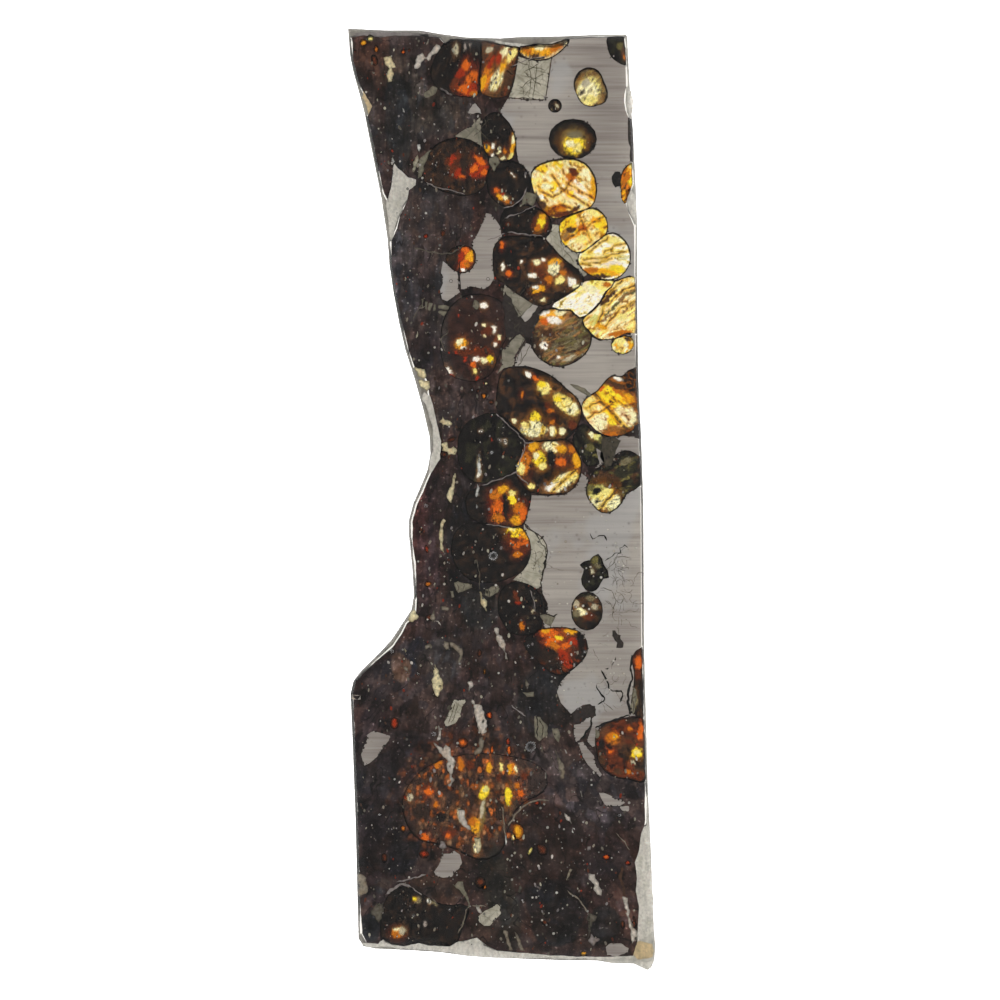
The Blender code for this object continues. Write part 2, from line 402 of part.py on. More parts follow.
def add_boolean(target, other, operation):
    """Adds one Boolean to an object."""
    modifier = target.modifiers.new(f"{operation.title()} {other.name}", "BOOLEAN")
    modifier.operation = operation
    modifier.object = other
    modifier.solver = "EXACT"


def near(points, others):
    """Whether the boxes of two outlines meet, with room for the gap."""
    for axis in (0, 1):
        ours = [point[axis] for point in points]
        theirs = [point[axis] for point in others]
        if min(ours) > max(theirs) + 3 * GRAIN_GAP or max(ours) < min(theirs) - 3 * GRAIN_GAP:
            return False
    return True


def island_of(start):
    """The vertices that hang together with one vertex."""
    found = {start}
    waiting = [start]
    while waiting:
        for edge in waiting.pop().link_edges:
            for vertex in edge.verts:
                if vertex not in found:
                    found.add(vertex)
                    waiting.append(vertex)
    return found


def keep_largest(solid):
    """Applies the Booleans and drops the crumbs they leave between neighbouring grains."""
    bpy.context.view_layer.update()
    graph = bpy.context.evaluated_depsgraph_get()
    mesh = bpy.data.meshes.new_from_object(solid.evaluated_get(graph))
    solid.modifiers.clear()
    work = bmesh.new()
    work.from_mesh(mesh)
    bmesh.ops.remove_doubles(work, verts=work.verts, dist=0.001 * MM)
    islands = []
    loose = set(work.verts)
    while loose:
        island = island_of(next(iter(loose)))
        islands.append(island)
        loose -= island
    islands.sort(key=footprint, reverse=True)
    crumbs = [vertex for island in islands[1:] for vertex in island]
    bmesh.ops.delete(work, geom=crumbs, context="VERTS")
    work.to_mesh(mesh)
    work.free()
    solid.data = mesh


def footprint(island):
    """The total face area of a set of joined vertices."""
    return sum(face.calc_area() for face in {face for vertex in island for face in vertex.link_faces})


def make_piece(name, finish, points, steps):
    """One grain through the whole cut: trimmed by the saw's outline and by its neighbours."""
    solid = prism(name, points, parts, CUT_THICKNESS, 0.0, steps)
    add_boolean(solid, saw_outline, "INTERSECT")
    for cutter, outline in earlier:
        if near(points, outline):
            add_boolean(solid, cutter, "DIFFERENCE")
    keep_largest(solid)
    dress(solid, finish)
    earlier.append((make_cutter(name, points, steps), points))


def dress(solid, finish):
    """Gives a piece its material and its parent."""
    solid.data.materials.clear()
    solid.data.materials.append(new_material(solid.name, finish))
    solid.parent = slab


def make_rock():
    """The weathered rock that fills the cut between the grains."""
    rock = prism("weathered_rock", CUT_OUTLINE, parts)
    for cutter, _ in earlier:
        add_boolean(rock, cutter, "DIFFERENCE")
    keep_largest(rock)
    dress(rock, "rock")


def parting_box(name, bottom):
    """A box that cuts the coat away above or below its parting plane."""
    bpy.ops.mesh.primitive_cube_add(size=PARTING_BOX * MM, location=(0.0, 0.0, bottom * MM))
    box = bpy.context.object
    box.name = name
    for collection in list(box.users_collection):
        collection.objects.unlink(box)
    cutters.objects.link(box)
    box.hide_render = True
    box.display_type = "WIRE"
    return box


def make_coat():
    """The clear coat, parted at mid height around the pocket that holds the cut."""
    pocket_height = CUT_THICKNESS + 2 * POCKET_GAP
    pocket = make_cutter("pocket", CUT_OUTLINE, 1, pocket_height, POCKET_GAP)
    reach = PARTING_BOX / 2 - PARTING_GAP / 2
    for name, middle in (
        ("resin_coat_lower", SLAB_MIDDLE + reach),
        ("resin_coat_upper", SLAB_MIDDLE - reach),
    ):
        coat = prism(name, COAT_OUTLINE, parts, SLAB_THICKNESS, 0.0, COAT_STEPS, COAT_EDGE)
        add_boolean(coat, pocket, "DIFFERENCE")
        add_boolean(coat, parting_box(name + "_parting", middle), "DIFFERENCE")
        keep_largest(coat)
        dress(coat, "resin")


clear_scene()
parts = new_collection("pallasite_slice")
cutters = new_collection("cutters")
slab = bpy.data.objects.new("slab", None)
parts.objects.link(slab)

saw_outline = make_cutter("saw", CUT_OUTLINE, 1, grow=0.0)
earlier = []
for crystal_name, crystal_finish, crystal_outline in CRYSTALS:
    make_piece(crystal_name, crystal_finish, crystal_outline, CURVE_STEPS)
for metal_name, metal_finish, metal_outline in METALS:
    make_piece(metal_name, metal_finish, metal_outline, 1)
make_rock()
make_coat()
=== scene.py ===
"""Looks for a resin-coated slice of a pallasite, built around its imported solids.

Plan positions are in tenths of a millimetre on a drawing sheet 1000 units
square, with x to the right and y down. Outlines in plan and heights are in
millimetres in the frame's own axes, and meshes are written in metres.
"""

import logging
import math
import random
from collections.abc import Callable, Sequence
from dataclasses import dataclass, field
from enum import Enum
from functools import cached_property

import bpy
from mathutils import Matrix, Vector, noise
from mathutils.geometry import delaunay_2d_cdt
from mathutils.kdtree import KDTree


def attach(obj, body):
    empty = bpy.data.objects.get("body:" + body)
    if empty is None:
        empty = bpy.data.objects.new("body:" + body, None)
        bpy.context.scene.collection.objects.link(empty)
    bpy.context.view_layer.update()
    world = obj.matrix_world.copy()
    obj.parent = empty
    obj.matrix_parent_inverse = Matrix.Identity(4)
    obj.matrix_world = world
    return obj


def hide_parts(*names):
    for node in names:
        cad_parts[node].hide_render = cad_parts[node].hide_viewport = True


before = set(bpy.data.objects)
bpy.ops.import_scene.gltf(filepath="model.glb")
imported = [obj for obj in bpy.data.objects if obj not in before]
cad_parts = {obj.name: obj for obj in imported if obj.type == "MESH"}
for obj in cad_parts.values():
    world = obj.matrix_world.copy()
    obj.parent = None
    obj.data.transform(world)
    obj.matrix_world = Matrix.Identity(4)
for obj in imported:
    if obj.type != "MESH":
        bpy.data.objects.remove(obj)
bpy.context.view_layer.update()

logging.basicConfig(level=logging.INFO, format="%(message)s")
log = logging.getLogger("slice")

Point = tuple[float, float]
Loop = list[Point]
Colour = tuple[float, float, float]
Paint = Callable[[Point], tuple[Colour, float]]

MM = 0.001
BODY = "root"
SHEET_UNITS_PER_MM = 10.0
SHEET_ORIGIN = (501.75, 499.5)

ROCK_LOW = 0.3
ROCK_HIGH = 2.3
SLAB_HIGH = 2.6
SKIN_STEP = 0.005
GRAIN_STEP = 0.002
COAT_SOLID = "resin_coat_lower"
COAT_MIDDLE = 1.25
SHARD_LEVEL = 0.5
SHARD_DRAWS = 31.0
TINT_LAYER = "tint"
FLOW_LAYER = "flow"


def on_sheet(x: float, y: float) -> Point:
    """Turns a place on the drawing sheet into millimetres in plan."""
    across = (x - SHEET_ORIGIN[0]) / SHEET_UNITS_PER_MM
    return across, (SHEET_ORIGIN[1] - y) / SHEET_UNITS_PER_MM


def linear(red: float, green: float, blue: float) -> Colour:
    """Turns a display colour from 0 to 255 into linear light.

    Args:
        red: Red as a display shows it.
        green: Green as a display shows it.
        blue: Blue as a display shows it.

    Returns:
        The three values from 0 to 1 in linear light.
    """
    values = []
    for channel in (red, green, blue):
        share = channel / 255
        values.append(share / 12.92 if share <= 0.04045 else ((share + 0.055) / 1.055) ** 2.4)
    return values[0], values[1], values[2]


class Tint(Enum):
    """The colours of the grains and of the marks between them."""

    WHITE = linear(255, 255, 250)
    CREAM = linear(254, 250, 205)
    STRAW = linear(253, 240, 150)
    YELLOW = linear(255, 228, 52)
    GOLD = linear(236, 172, 32)
    AMBER = linear(198, 116, 26)
    ORANGE = linear(222, 108, 28)
    RED = linear(156, 50, 22)
    RUST = linear(98, 48, 28)
    BROWN = linear(78, 54, 38)
    UMBER = linear(50, 39, 33)
    BLACK = linear(27, 25, 25)
    MOSS = linear(50, 50, 38)
    OLIVE = linear(104, 98, 60)
    LIME = linear(226, 224, 140)
    SMOKE = linear(122, 114, 90)
    HAZE = linear(188, 182, 160)
    LILAC = linear(152, 144, 142)
    PEARL = linear(216, 208, 198)
    IVORY = linear(238, 226, 184)
    STONE = linear(146, 136, 120)
    ASH = linear(104, 98, 86)
    SOOT = linear(12, 11, 11)
    SCORE = linear(78, 72, 60)
    TAN = linear(150, 114, 72)
    FLINT = linear(132, 127, 110)
    FROST = linear(252, 249, 240)
    SAND = linear(240, 216, 168)
    CINDER = linear(52, 45, 43)


class Slot(Enum):
    """The record's material slots."""

    RESIN = "resin"
    ROCK = "weathered_rock"
    METAL = "metal"
    TROILITE = "troilite"
    BLACK = "olivine_black"
    GREEN = "olivine_green"
    BROWN = "olivine_brown"
    RED = "olivine_red"
    AMBER = "olivine_amber"
    YELLOW = "olivine_yellow"
    PALE = "olivine_pale"


def mixed(first: Colour, second: Colour, share: float) -> Colour:
    """Mixes two colours, with `share` of the second."""
    rest = 1.0 - share
    return (first[0] * rest + second[0] * share, first[1] * rest + second[1] * share,
            first[2] * rest + second[2] * share)


def scaled(colour: Colour, red: float, green: float, blue: float) -> Colour:
    """Scales each channel of a colour."""
    return colour[0] * red, colour[1] * green, colour[2] * blue


def ease(start: float, end: float, value: float) -> float:
    """Rises smoothly from 0 at `start` to 1 at `end`, which may be the lower of the two."""
    share = max(0.0, min(1.0, (value - start) / (end - start)))
    return share * share * (3.0 - 2.0 * share)


# Plan geometry


def area_of(loop: Sequence[Point]) -> float:
    """Works out a loop's signed area.

    Args:
        loop: The loop's points.

    Returns:
        The area, above 0 where the loop runs anticlockwise.
    """
    total = 0.0
    for (ax, ay), (bx, by) in zip(loop, [*loop[1:], loop[0]]):
        total += ax * by - bx * ay
    return total / 2


def anticlockwise(loop: Loop) -> Loop:
    """Gives the loop in the anticlockwise sense."""
    return loop if area_of(loop) > 0 else loop[::-1]


def grown(loop: Loop, amount: float) -> Loop:
    """Moves every point of an anticlockwise loop outwards.

    Args:
        loop: The loop's points.
        amount: How far, in millimetres; below 0 moves them inwards.

    Returns:
        The moved loop.
    """
    moved = []
    count = len(loop)
    for index, (x, y) in enumerate(loop):
        before, after = loop[index - 1], loop[(index + 1) % count]
        along = Vector((after[0] - before[0], after[1] - before[1]))
        if along.length > 0:
            along.normalize()
        moved.append((x + along.y * amount, y - along.x * amount))
    return moved


def resampled(loop: Loop, step: float) -> Loop:
    """Splits a loop's long sides.

    Args:
        loop: The loop's points.
        step: The longest side that stays whole, in millimetres.

    Returns:
        The same loop with more points.
    """
    points = []
    for (ax, ay), (bx, by) in zip(loop, [*loop[1:], loop[0]]):
        parts = max(1, round(math.hypot(bx - ax, by - ay) / step))
        points += [(ax + (bx - ax) * i / parts, ay + (by - ay) * i / parts) for i in range(parts)]
    return points


def ragged(loop: Loop, amount: float, step: float = 0.16, seed: float = 0.0) -> Loop:
    """Makes a drawn outline as uneven as a broken or corroded edge.

    Args:
        loop: An anticlockwise loop.
        amount: The most that a point moves, in millimetres.
        step: The length of its sides, in millimetres.
        seed: Where in the noise the loop lies.

    Returns:
        The uneven loop.
    """
    fine = resampled(loop, step)
    outwards = grown(fine, 1.0)
    rough = []
    for (x, y), (ox, oy) in zip(fine, outwards):
        wave = noise.noise(Vector((x * 0.9, y * 0.9, seed)))
        wave += 0.7 * noise.noise(Vector((x * 2.6, y * 2.6, seed + 9)))
        rough.append((x + (ox - x) * wave * amount, y + (oy - y) * wave * amount))
    return rough


def shard_at(u: float, v: float) -> tuple[float, Vector, Vector]:
    """Finds the shard that a place lies in, in a pattern of broken pieces one unit wide.

    Args:
        u: The place along the streaks.
        v: The place across them.

    Returns:
        How near the next shard is, three random numbers that belong to the shard,
        and its middle.
    """
    near, features = noise.voronoi(Vector((u, v, SHARD_LEVEL)))
    return near[1] - near[0], noise.cell_vector(features[0] * SHARD_DRAWS), features[0]


def strewn_spot(x: float, y: float, half_width: float, half_height: float,
                chance: random.Random) -> Point:
    """Picks a random place in an ellipse on the sheet.

    Args:
        x: The ellipse's middle, to the right.
        y: Its middle, down.
        half_width: Its half width.
        half_height: Its half height.
        chance: The source of random numbers.

    Returns:
        The place in plan.
    """
    angle, far = chance.uniform(0, 2 * math.pi), math.sqrt(chance.random())
    return on_sheet(x + half_width * far * math.cos(angle), y + half_height * far * math.sin(angle))


def inside(point: Point, loop: Sequence[Point]) -> bool:
    """Tells whether a point is inside a loop.

    Args:
        point: The point.
        loop: The loop's points.

    Returns:
        Whether it is inside.
    """
    x, y = point
    found = False
    for (ax, ay), (bx, by) in zip(loop, [*loop[1:], loop[0]]):
        if (ay > y) != (by > y) and x < (bx - ax) * (y - ay) / (by - ay) + ax:
            found = not found
    return found


def distance_to(point: Point, loop: Sequence[Point], closed: bool = True) -> float:
    """Measures how far a point is from a loop or a line.

    Args:
        point: The point.
        loop: The points of the loop or line.
        closed: Whether the last point joins the first.

    Returns:
        The distance in millimetres.
    """
    x, y = point
    ends = [*loop[1:], loop[0]] if closed else loop[1:]
    least = 1e9
    for (ax, ay), (bx, by) in zip(loop, ends):
        dx, dy = bx - ax, by - ay
        square = dx * dx + dy * dy
        t = max(0.0, min(1.0, ((x - ax) * dx + (y - ay) * dy) / square)) if square else 0.0
        least = min(least, math.hypot(x - ax - t * dx, y - ay - t * dy))
    return least


def ribbon(line: Sequence[Point], widths: Sequence[float]) -> Loop:
    """Outlines a crack, vein or sliver that follows a line.

    Args:
        line: The middle line in plan.
        widths: The full width at each of its points, in millimetres.

    Returns:
        An anticlockwise loop.
    """
    left, right = [], []
    for index, (x, y) in enumerate(line):
        before, after = line[max(0, index - 1)], line[min(len(line) - 1, index + 1)]
        along = Vector((after[0] - before[0], after[1] - before[1])).normalized()
        half = max(widths[index], 0.01) / 2
        left.append((x - along.y * half, y + along.x * half))
        right.append((x + along.y * half, y - along.x * half))
    return anticlockwise(left + right[::-1])


def meander(line: Sequence[Point], step: float, sway: float, seed: float) -> Loop:
    """Splits a line into short lengths and lets it wander.

    Args:
        line: The line's points.
        step: The length of each part, in millimetres.
        sway: The most that a point moves, in millimetres.
        seed: Where in the noise the line lies.

    Returns:
        The wandering line, with its two ends kept.
    """
    points: Loop = []
    for (ax, ay), (bx, by) in zip(line, line[1:]):
        parts = max(1, round(math.hypot(bx - ax, by - ay) / step))
        points += [(ax + (bx - ax) * i / parts, ay + (by - ay) * i / parts) for i in range(parts)]
    points.append(line[-1])
    moved = [points[0]]
    for x, y in points[1:-1]:
        dx = noise.noise(Vector((x * 1.7, y * 1.7, seed)))
        dy = noise.noise(Vector((x * 1.7, y * 1.7, seed + 5)))
        moved.append((x + dx * sway, y + dy * sway))
    moved.append(points[-1])
    return moved


def ellipse(centre: Point, half: Point, turn: float = 0.0, points: int = 18) -> Loop:
    """Draws an ellipse.

    Args:
        centre: Its middle, in millimetres.
        half: Its half sizes, in millimetres.
        turn: The angle of the first half size from +X, in degrees.
        points: How many points it has.

    Returns:
        An anticlockwise loop.
    """
    cosine, sine = math.cos(math.radians(turn)), math.sin(math.radians(turn))
    loop = []
    for index in range(points):
        angle = 2 * math.pi * index / points
        x, y = half[0] * math.cos(angle), half[1] * math.sin(angle)
        loop.append((centre[0] + x * cosine - y * sine, centre[1] + x * sine + y * cosine))
    return loop


def loops_of(node: str, height: float) -> list[Loop]:
    """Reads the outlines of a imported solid's upward faces at one height.

    Args:
        node: The solid's name.
        height: The height of the faces, in millimetres.

    Returns:
        Anticlockwise loops, largest first.
    """
    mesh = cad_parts[node].data
    spots = [tuple(round(value / MM, 4) for value in vertex.co) for vertex in mesh.vertices]
    edges: dict[tuple[Point, Point], int] = {}
    for polygon in mesh.polygons:
        corners = [spots[index] for index in polygon.vertices]
        if polygon.normal.z < 0.9 or any(abs(corner[2] - height) > 0.02 for corner in corners):
            continue
        flat = [corner[:2] for corner in corners]
        for start, end in zip(flat, [*flat[1:], flat[0]]):
            edges[(start, end)] = edges.get((start, end), 0) + 1
    following = {start: end for start, end in edges if (end, start) not in edges}
    loops = []
    while following:
        start, spot = following.popitem()
        loop = [start]
        while spot != start and spot in following:
            loop.append(spot)
            spot = following.pop(spot)
        if len(loop) > 2:
            loops.append(anticlockwise(loop))
    return sorted(loops, key=lambda found: -area_of(found))


def coat_loops() -> list[Loop]:
    """Gives the coat's outline in plan and that of the pocket in it."""
    return loops_of(COAT_SOLID, COAT_MIDDLE)


# Meshes from painted outlines


class Border:
    """The line of one or more loops, for quick distances in plan."""

    def __init__(self, loops: Sequence[Loop], step: float = 0.05) -> None:
        """Sorts the points of the loops.

        Args:
            loops: The loops' points.
            step: How far apart the sorted points are, in millimetres.
        """
        points = [point for loop in loops for point in resampled(loop, step)]
        self.tree = KDTree(len(points))
        for number, (x, y) in enumerate(points):
            self.tree.insert((x, y, 0.0), number)
        self.tree.balance()

    def gap(self, spot: Point) -> float:
        """Measures how far a place is from the line, in millimetres."""
        return self.tree.find((*spot, 0.0))[2]


@dataclass(frozen=True)
class Flow:
    """The way that a piece's cracks and streaks run.

    They lean by `lean` degrees from +X and are `stretch` times as long as wide.
    With `fan` they run upright and spread outwards below a point in the lower
    third of the slab.
    """

    lean: float = 60.0
    stretch: float = 1.4
    fan: bool = False
    shift: float = 0.0
    fan_axis: float = -1.2
    fan_top: float = -10.0
    fan_rate: float = 0.04

    @cached_property
    def way(self) -> Point:
        """The cosine and sine of the lean."""
        return math.cos(math.radians(self.lean)), math.sin(math.radians(self.lean))

    def at(self, spot: Point) -> Point:
        """Turns a place in plan to one where streaks run along the first axis, evened out.

        Args:
            spot: The place in plan.

        Returns:
            The place along and across the streaks.
        """
        x, y = spot
        long_way = math.sqrt(self.stretch)
        if self.fan:
            spread = 1.0 + self.fan_rate * max(0.0, self.fan_top - y)
            return y / long_way + self.shift, (x - self.fan_axis) / spread * long_way
        cosine, sine = self.way
        return (x * cosine + y * sine) / long_way + self.shift, (y * cosine - x * sine) * long_way


@dataclass
class Prisms:
    """Upright pieces with the same painted map on both faces, gathered in one mesh."""

    flow: Flow = Flow()
    shake_share: float = 0.25
    clear_share: float = 0.55
    row_share: float = 0.87
    join: float = 1e-5
    spots: Loop = field(default_factory=list)
    triangles: list[tuple[int, int, int]] = field(default_factory=list)
    tints: list[tuple[float, float, float, float]] = field(default_factory=list)

    def add(self, outline: Loop, paint: Paint, step: float, holes: Sequence[Loop] = ()) -> None:
        """Fills an outline with fine triangles and paints their corners.

        Args:
            outline: The outline in plan.
            paint: Gives the colour and the share of cracks at a place.
            step: The distance between inner points, in millimetres.
            holes: Outlines that are left open.
        """
        loops = [outline, *holes]
        points: Loop = []
        faces = []
        for loop in loops:
            faces.append(list(range(len(points), len(points) + len(loop))))
            points += loop
        border = Border(loops, step / 2)
        boxes = [box_of(loop) for loop in holes]
        chance = random.Random(len(points))
        left, low, right, high = box_of(outline)
        y, row = low + step / 2, 0
        while y < high:
            x = left + (step / 2 if row % 2 else 0.0)
            while x < right:
                shake = step * self.shake_share
                spot = (x + chance.uniform(-shake, shake), y + chance.uniform(-shake, shake))
                shut = any(
                    box[0] < spot[0] < box[2] and box[1] < spot[1] < box[3] and inside(spot, hole)
                    for box, hole in zip(boxes, holes)
                )
                if not shut and border.gap(spot) > step * self.clear_share:
                    points.append(spot)
                x += step
            y += step * self.row_share
            row += 1
        solved = delaunay_2d_cdt([Vector(point) for point in points], [], faces, 0, self.join)
        kept = [face for face, covers in zip(solved[2], solved[5]) if 0 in covers and len(covers) == 1]
        order = {old: new for new, old in enumerate(sorted({i for face in kept for i in face}))}
        start = len(self.spots)
        for index in order:
            spot = (solved[0][index].x, solved[0][index].y)
            colour, cracks = paint(spot)
            self.spots.append(spot)
            self.tints.append((*colour, cracks))
        self.triangles += [tuple(order[i] + start for i in face) for face in kept]

    def stand(self, name: str, low: float, high: float) -> bpy.types.Object:
        """Stands the map up as closed solids.

        Args:
            name: The object's name.
            low: The height of the lower face, in millimetres.
            high: The height of the upper face, in millimetres.

        Returns:
            The new object, linked to the scene.
        """
        count = len(self.spots)
        points = [(x * MM, y * MM, height * MM) for height in (high, low) for x, y in self.spots]
        faces: list[tuple[int, ...]] = []
        sides: set[tuple[int, int]] = set()
        for a, b, c in self.triangles:
            faces += [(a, b, c), (c + count, b + count, a + count)]
            for start, end in ((a, b), (b, c), (c, a)):
                if (end, start) in sides:
                    sides.remove((end, start))
                else:
                    sides.add((start, end))
        faces += [(end, start, start + count, end + count) for start, end in sorted(sides)]
        mesh = bpy.data.meshes.new(name)
        mesh.from_pydata(points, [], faces)
        layer = mesh.color_attributes.new(TINT_LAYER, "FLOAT_COLOR", "POINT")
        layer.data.foreach_set("color", [value for tint in self.tints * 2 for value in tint])
        flows = [value for spot in self.spots * 2 for value in (*self.flow.at(spot), 0.0)]
        layer = mesh.attributes.new(FLOW_LAYER, "FLOAT_VECTOR", "POINT")
        layer.data.foreach_set("vector", flows)
        mesh.update()
        piece = bpy.data.objects.new(name, mesh)
        bpy.context.scene.collection.objects.link(piece)
        return piece


def box_of(loop: Sequence[Point]) -> tuple[float, float, float, float]:
    """Gives the left, low, right and high side of the box around a loop."""
    xs, ys = [point[0] for point in loop], [point[1] for point in loop]
    return min(xs), min(ys), max(xs), max(ys)


def mineral(outline: Loop, tint: Colour, edge: float = 0.55, seed: float = 0.0) -> Paint:
    """Paints a small opaque piece: cloudy, streaked, and darker at its edge with painted shade.

    Args:
        outline: The piece's outline.
        tint: Its colour.
        edge: The share of the colour that is left at its edge, where painted shade darkens it.
        seed: Where in the noise it lies.

    Returns:
        The paint.
    """
    border = Border([outline])

    def paint(spot: Point) -> tuple[Colour, float]:
        """Gives the colour and the share of cracks at a place.

        Args:
            spot: The place in plan.

        Returns:
            The colour and the share.
        """
        cloud = noise.noise(Vector((spot[0] * 2.2, spot[1] * 1.1, seed)))
        fine = noise.noise(Vector((spot[0] * 7.0, spot[1] * 4.0, seed + 3)))
        light = 1.0 + 0.25 * cloud + 0.4 * fine
        # Painted shade: the piece darkens towards its edge.
        light *= edge + (1.0 - edge) * ease(0.0, 0.14, border.gap(spot))
        colour = mixed(tint, scaled(tint, 0.66, 0.56, 0.42), ease(0.0, 0.45, cloud) * (1.0 - edge))
        return scaled(colour, light, light * 0.99, light * (0.97 + 0.06 * cloud)), 0.0

    return paint


def place(piece: bpy.types.Object, slot: Slot, *replaced: str) -> bpy.types.Object:
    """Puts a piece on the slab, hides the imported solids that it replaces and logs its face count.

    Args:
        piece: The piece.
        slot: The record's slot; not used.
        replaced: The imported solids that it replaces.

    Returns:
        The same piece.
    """
    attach(piece, BODY)
    if replaced:
        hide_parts(*replaced)
    log.info("%s: %d faces", piece.name, len(piece.data.polygons))
    return piece


# Finishes


class NodeSheet:
    """A material's or group's node tree, with short calls to fill it."""

    def __init__(self, tree: bpy.types.NodeTree) -> None:
        """Keeps the tree."""
        self.tree = tree

    def node(self, kind: str, **settings: object) -> bpy.types.Node:
        """Adds a node and sets its properties.

        Args:
            kind: The node's type name.
            settings: Its properties, by name.

        Returns:
            The node.
        """
        made = self.tree.nodes.new(kind)
        for name, value in settings.items():
            setattr(made, name, value)
        return made

    def feed(self, node: bpy.types.Node, name: str | int, source: object) -> None:
        """Links a socket, or sets its value.

        Args:
            node: The node that takes the value.
            name: The input's name or number.
            source: An output socket, or a plain value.
        """
        if isinstance(source, bpy.types.NodeSocket):
            self.tree.links.new(source, node.inputs[name])
        else:
            node.inputs[name].default_value = source

    def set_all(self, node: bpy.types.Node, values: dict[str, object]) -> None:
        """Feeds several of a node's inputs, by name."""
        for name, source in values.items():
            self.feed(node, name, source)

    def layer(self, name: str) -> bpy.types.Node:
        """Adds a node that reads one of the layers stored on a mesh."""
        return self.node("ShaderNodeAttribute", attribute_name=name)

    def math(self, operation: str, first: object, second: object = 0.0) -> bpy.types.NodeSocket:
        """Adds a Math node.

        Args:
            operation: What it does.
            first: Its first input.
            second: Its second input.

        Returns:
            Its output.
        """
        made = self.node("ShaderNodeMath", operation=operation)
        self.feed(made, 0, first)
        self.feed(made, 1, second)
        return made.outputs[0]

    def noise(self, vector: object, scale: object, detail: float = 2.0,
              flat: bool = False) -> bpy.types.NodeSocket:
        """Adds a Noise texture.

        Args:
            vector: Where it is read.
            scale: Its scale.
            detail: Its octaves.
            flat: Whether it reads two dimensions only.

        Returns:
            Its grey output.
        """
        made = self.node("ShaderNodeTexNoise", noise_dimensions="2D" if flat else "3D")
        self.feed(made, "Vector", vector)
        self.feed(made, "Scale", scale)
        self.feed(made, "Detail", detail)
        return made.outputs["Fac"]

    def stretch(self, vector: object, scale: tuple[float, float, float],
                turn: float = 0.0) -> bpy.types.NodeSocket:
        """Scales and turns a place before a texture reads it.

        Args:
            vector: The place.
            scale: How much finer the texture runs along each axis.
            turn: How far the texture is turned about Z, in degrees.

        Returns:
            The new place.
        """
        turned = self.node("ShaderNodeMapping")
        self.feed(turned, "Vector", vector)
        turned.inputs["Rotation"].default_value = (0.0, 0.0, math.radians(turn))
        scaled = self.node("ShaderNodeMapping")
        self.feed(scaled, "Vector", turned.outputs[0])
        scaled.inputs["Scale"].default_value = scale
        return scaled.outputs[0]

    def ramp(self, value: object, stops: Sequence[tuple[float, float]]) -> bpy.types.NodeSocket:
        """Maps a value through grey stops.

        Args:
            value: The value that goes in.
            stops: Pairs of place and grey.

        Returns:
            The grey that comes out.
        """
        made = self.node("ShaderNodeValToRGB")
        elements = made.color_ramp.elements
        while len(elements) < len(stops):
            elements.new(0.5)
        for element, (place_on, grey) in zip(elements, stops):
            element.position = place_on
            element.color = (grey, grey, grey, 1.0)
        self.feed(made, 0, value)
        return made.outputs[0]

    def blend(self, share: object, first: object, second: object,
              kind: str = "MIX") -> bpy.types.NodeSocket:
        """Mixes two colours.

        Args:
            share: How much of the second there is.
            first: The first colour.
            second: The second colour.
            kind: The way of mixing.

        Returns:
            The mixed colour.
        """
        made = self.node("ShaderNodeMix", data_type="RGBA", blend_type=kind)
        self.feed(made, 0, share)
        self.feed(made, 6, (*first, 1.0) if isinstance(first, tuple) else first)
        self.feed(made, 7, (*second, 1.0) if isinstance(second, tuple) else second)
        return made.outputs[2]


def grain_group(
    name: str,
    inputs: dict[str, float],
    outputs: Sequence[str],
    fill: Callable[[NodeSheet, bpy.types.Node, bpy.types.Node], None],
) -> bpy.types.NodeTree:
    """Makes a shader node group, once.

    Args:
        name: The group's name.
        inputs: Its number inputs and what they start at, besides Place.
        outputs: The names of its number outputs.
        fill: Builds what is in it, from the sheet and its two end nodes.

    Returns:
        The group.
    """
    if name in bpy.data.node_groups:
        return bpy.data.node_groups[name]
    tree = bpy.data.node_groups.new(name, "ShaderNodeTree")
    tree.interface.new_socket("Place", in_out="INPUT", socket_type="NodeSocketVector")
    for label, value in inputs.items():
        socket = tree.interface.new_socket(label, in_out="INPUT", socket_type="NodeSocketFloat")
        socket.default_value = value
    for label in outputs:
        tree.interface.new_socket(label, in_out="OUTPUT", socket_type="NodeSocketFloat")
    sheet = NodeSheet(tree)
    fill(sheet, tree.nodes.new("NodeGroupInput"), tree.nodes.new("NodeGroupOutput"))
    return tree


def saw_lines() -> bpy.types.NodeTree:
    """Makes the group for the fine level lines that a saw leaves.

    Returns:
        The group.
    """

    def fill(sheet: NodeSheet, start: bpy.types.Node, end: bpy.types.Node) -> None:
        """Adds fine, middling and broad lines.

        Args:
            sheet: The group's sheet.
            start: Its input node.
            end: Its output node.
        """
        total: object = 0.0
        for along, across, weight in ((150, 5200, 0.4), (70, 2300, 0.35), (25, 700, 0.25)):
            place_on = sheet.stretch(start.outputs["Place"], (along, across, along))
            value = sheet.math("MULTIPLY", sheet.noise(place_on, 1.0, 2.0), weight)
            total = sheet.math("ADD", total, value)
        centred = sheet.math("SUBTRACT", total, 0.5)
        sheet.feed(end, "Lines", sheet.math("MULTIPLY", centred, start.outputs["Strength"]))

    return grain_group("saw_lines", {"Strength": 1.0}, ["Lines"], fill)


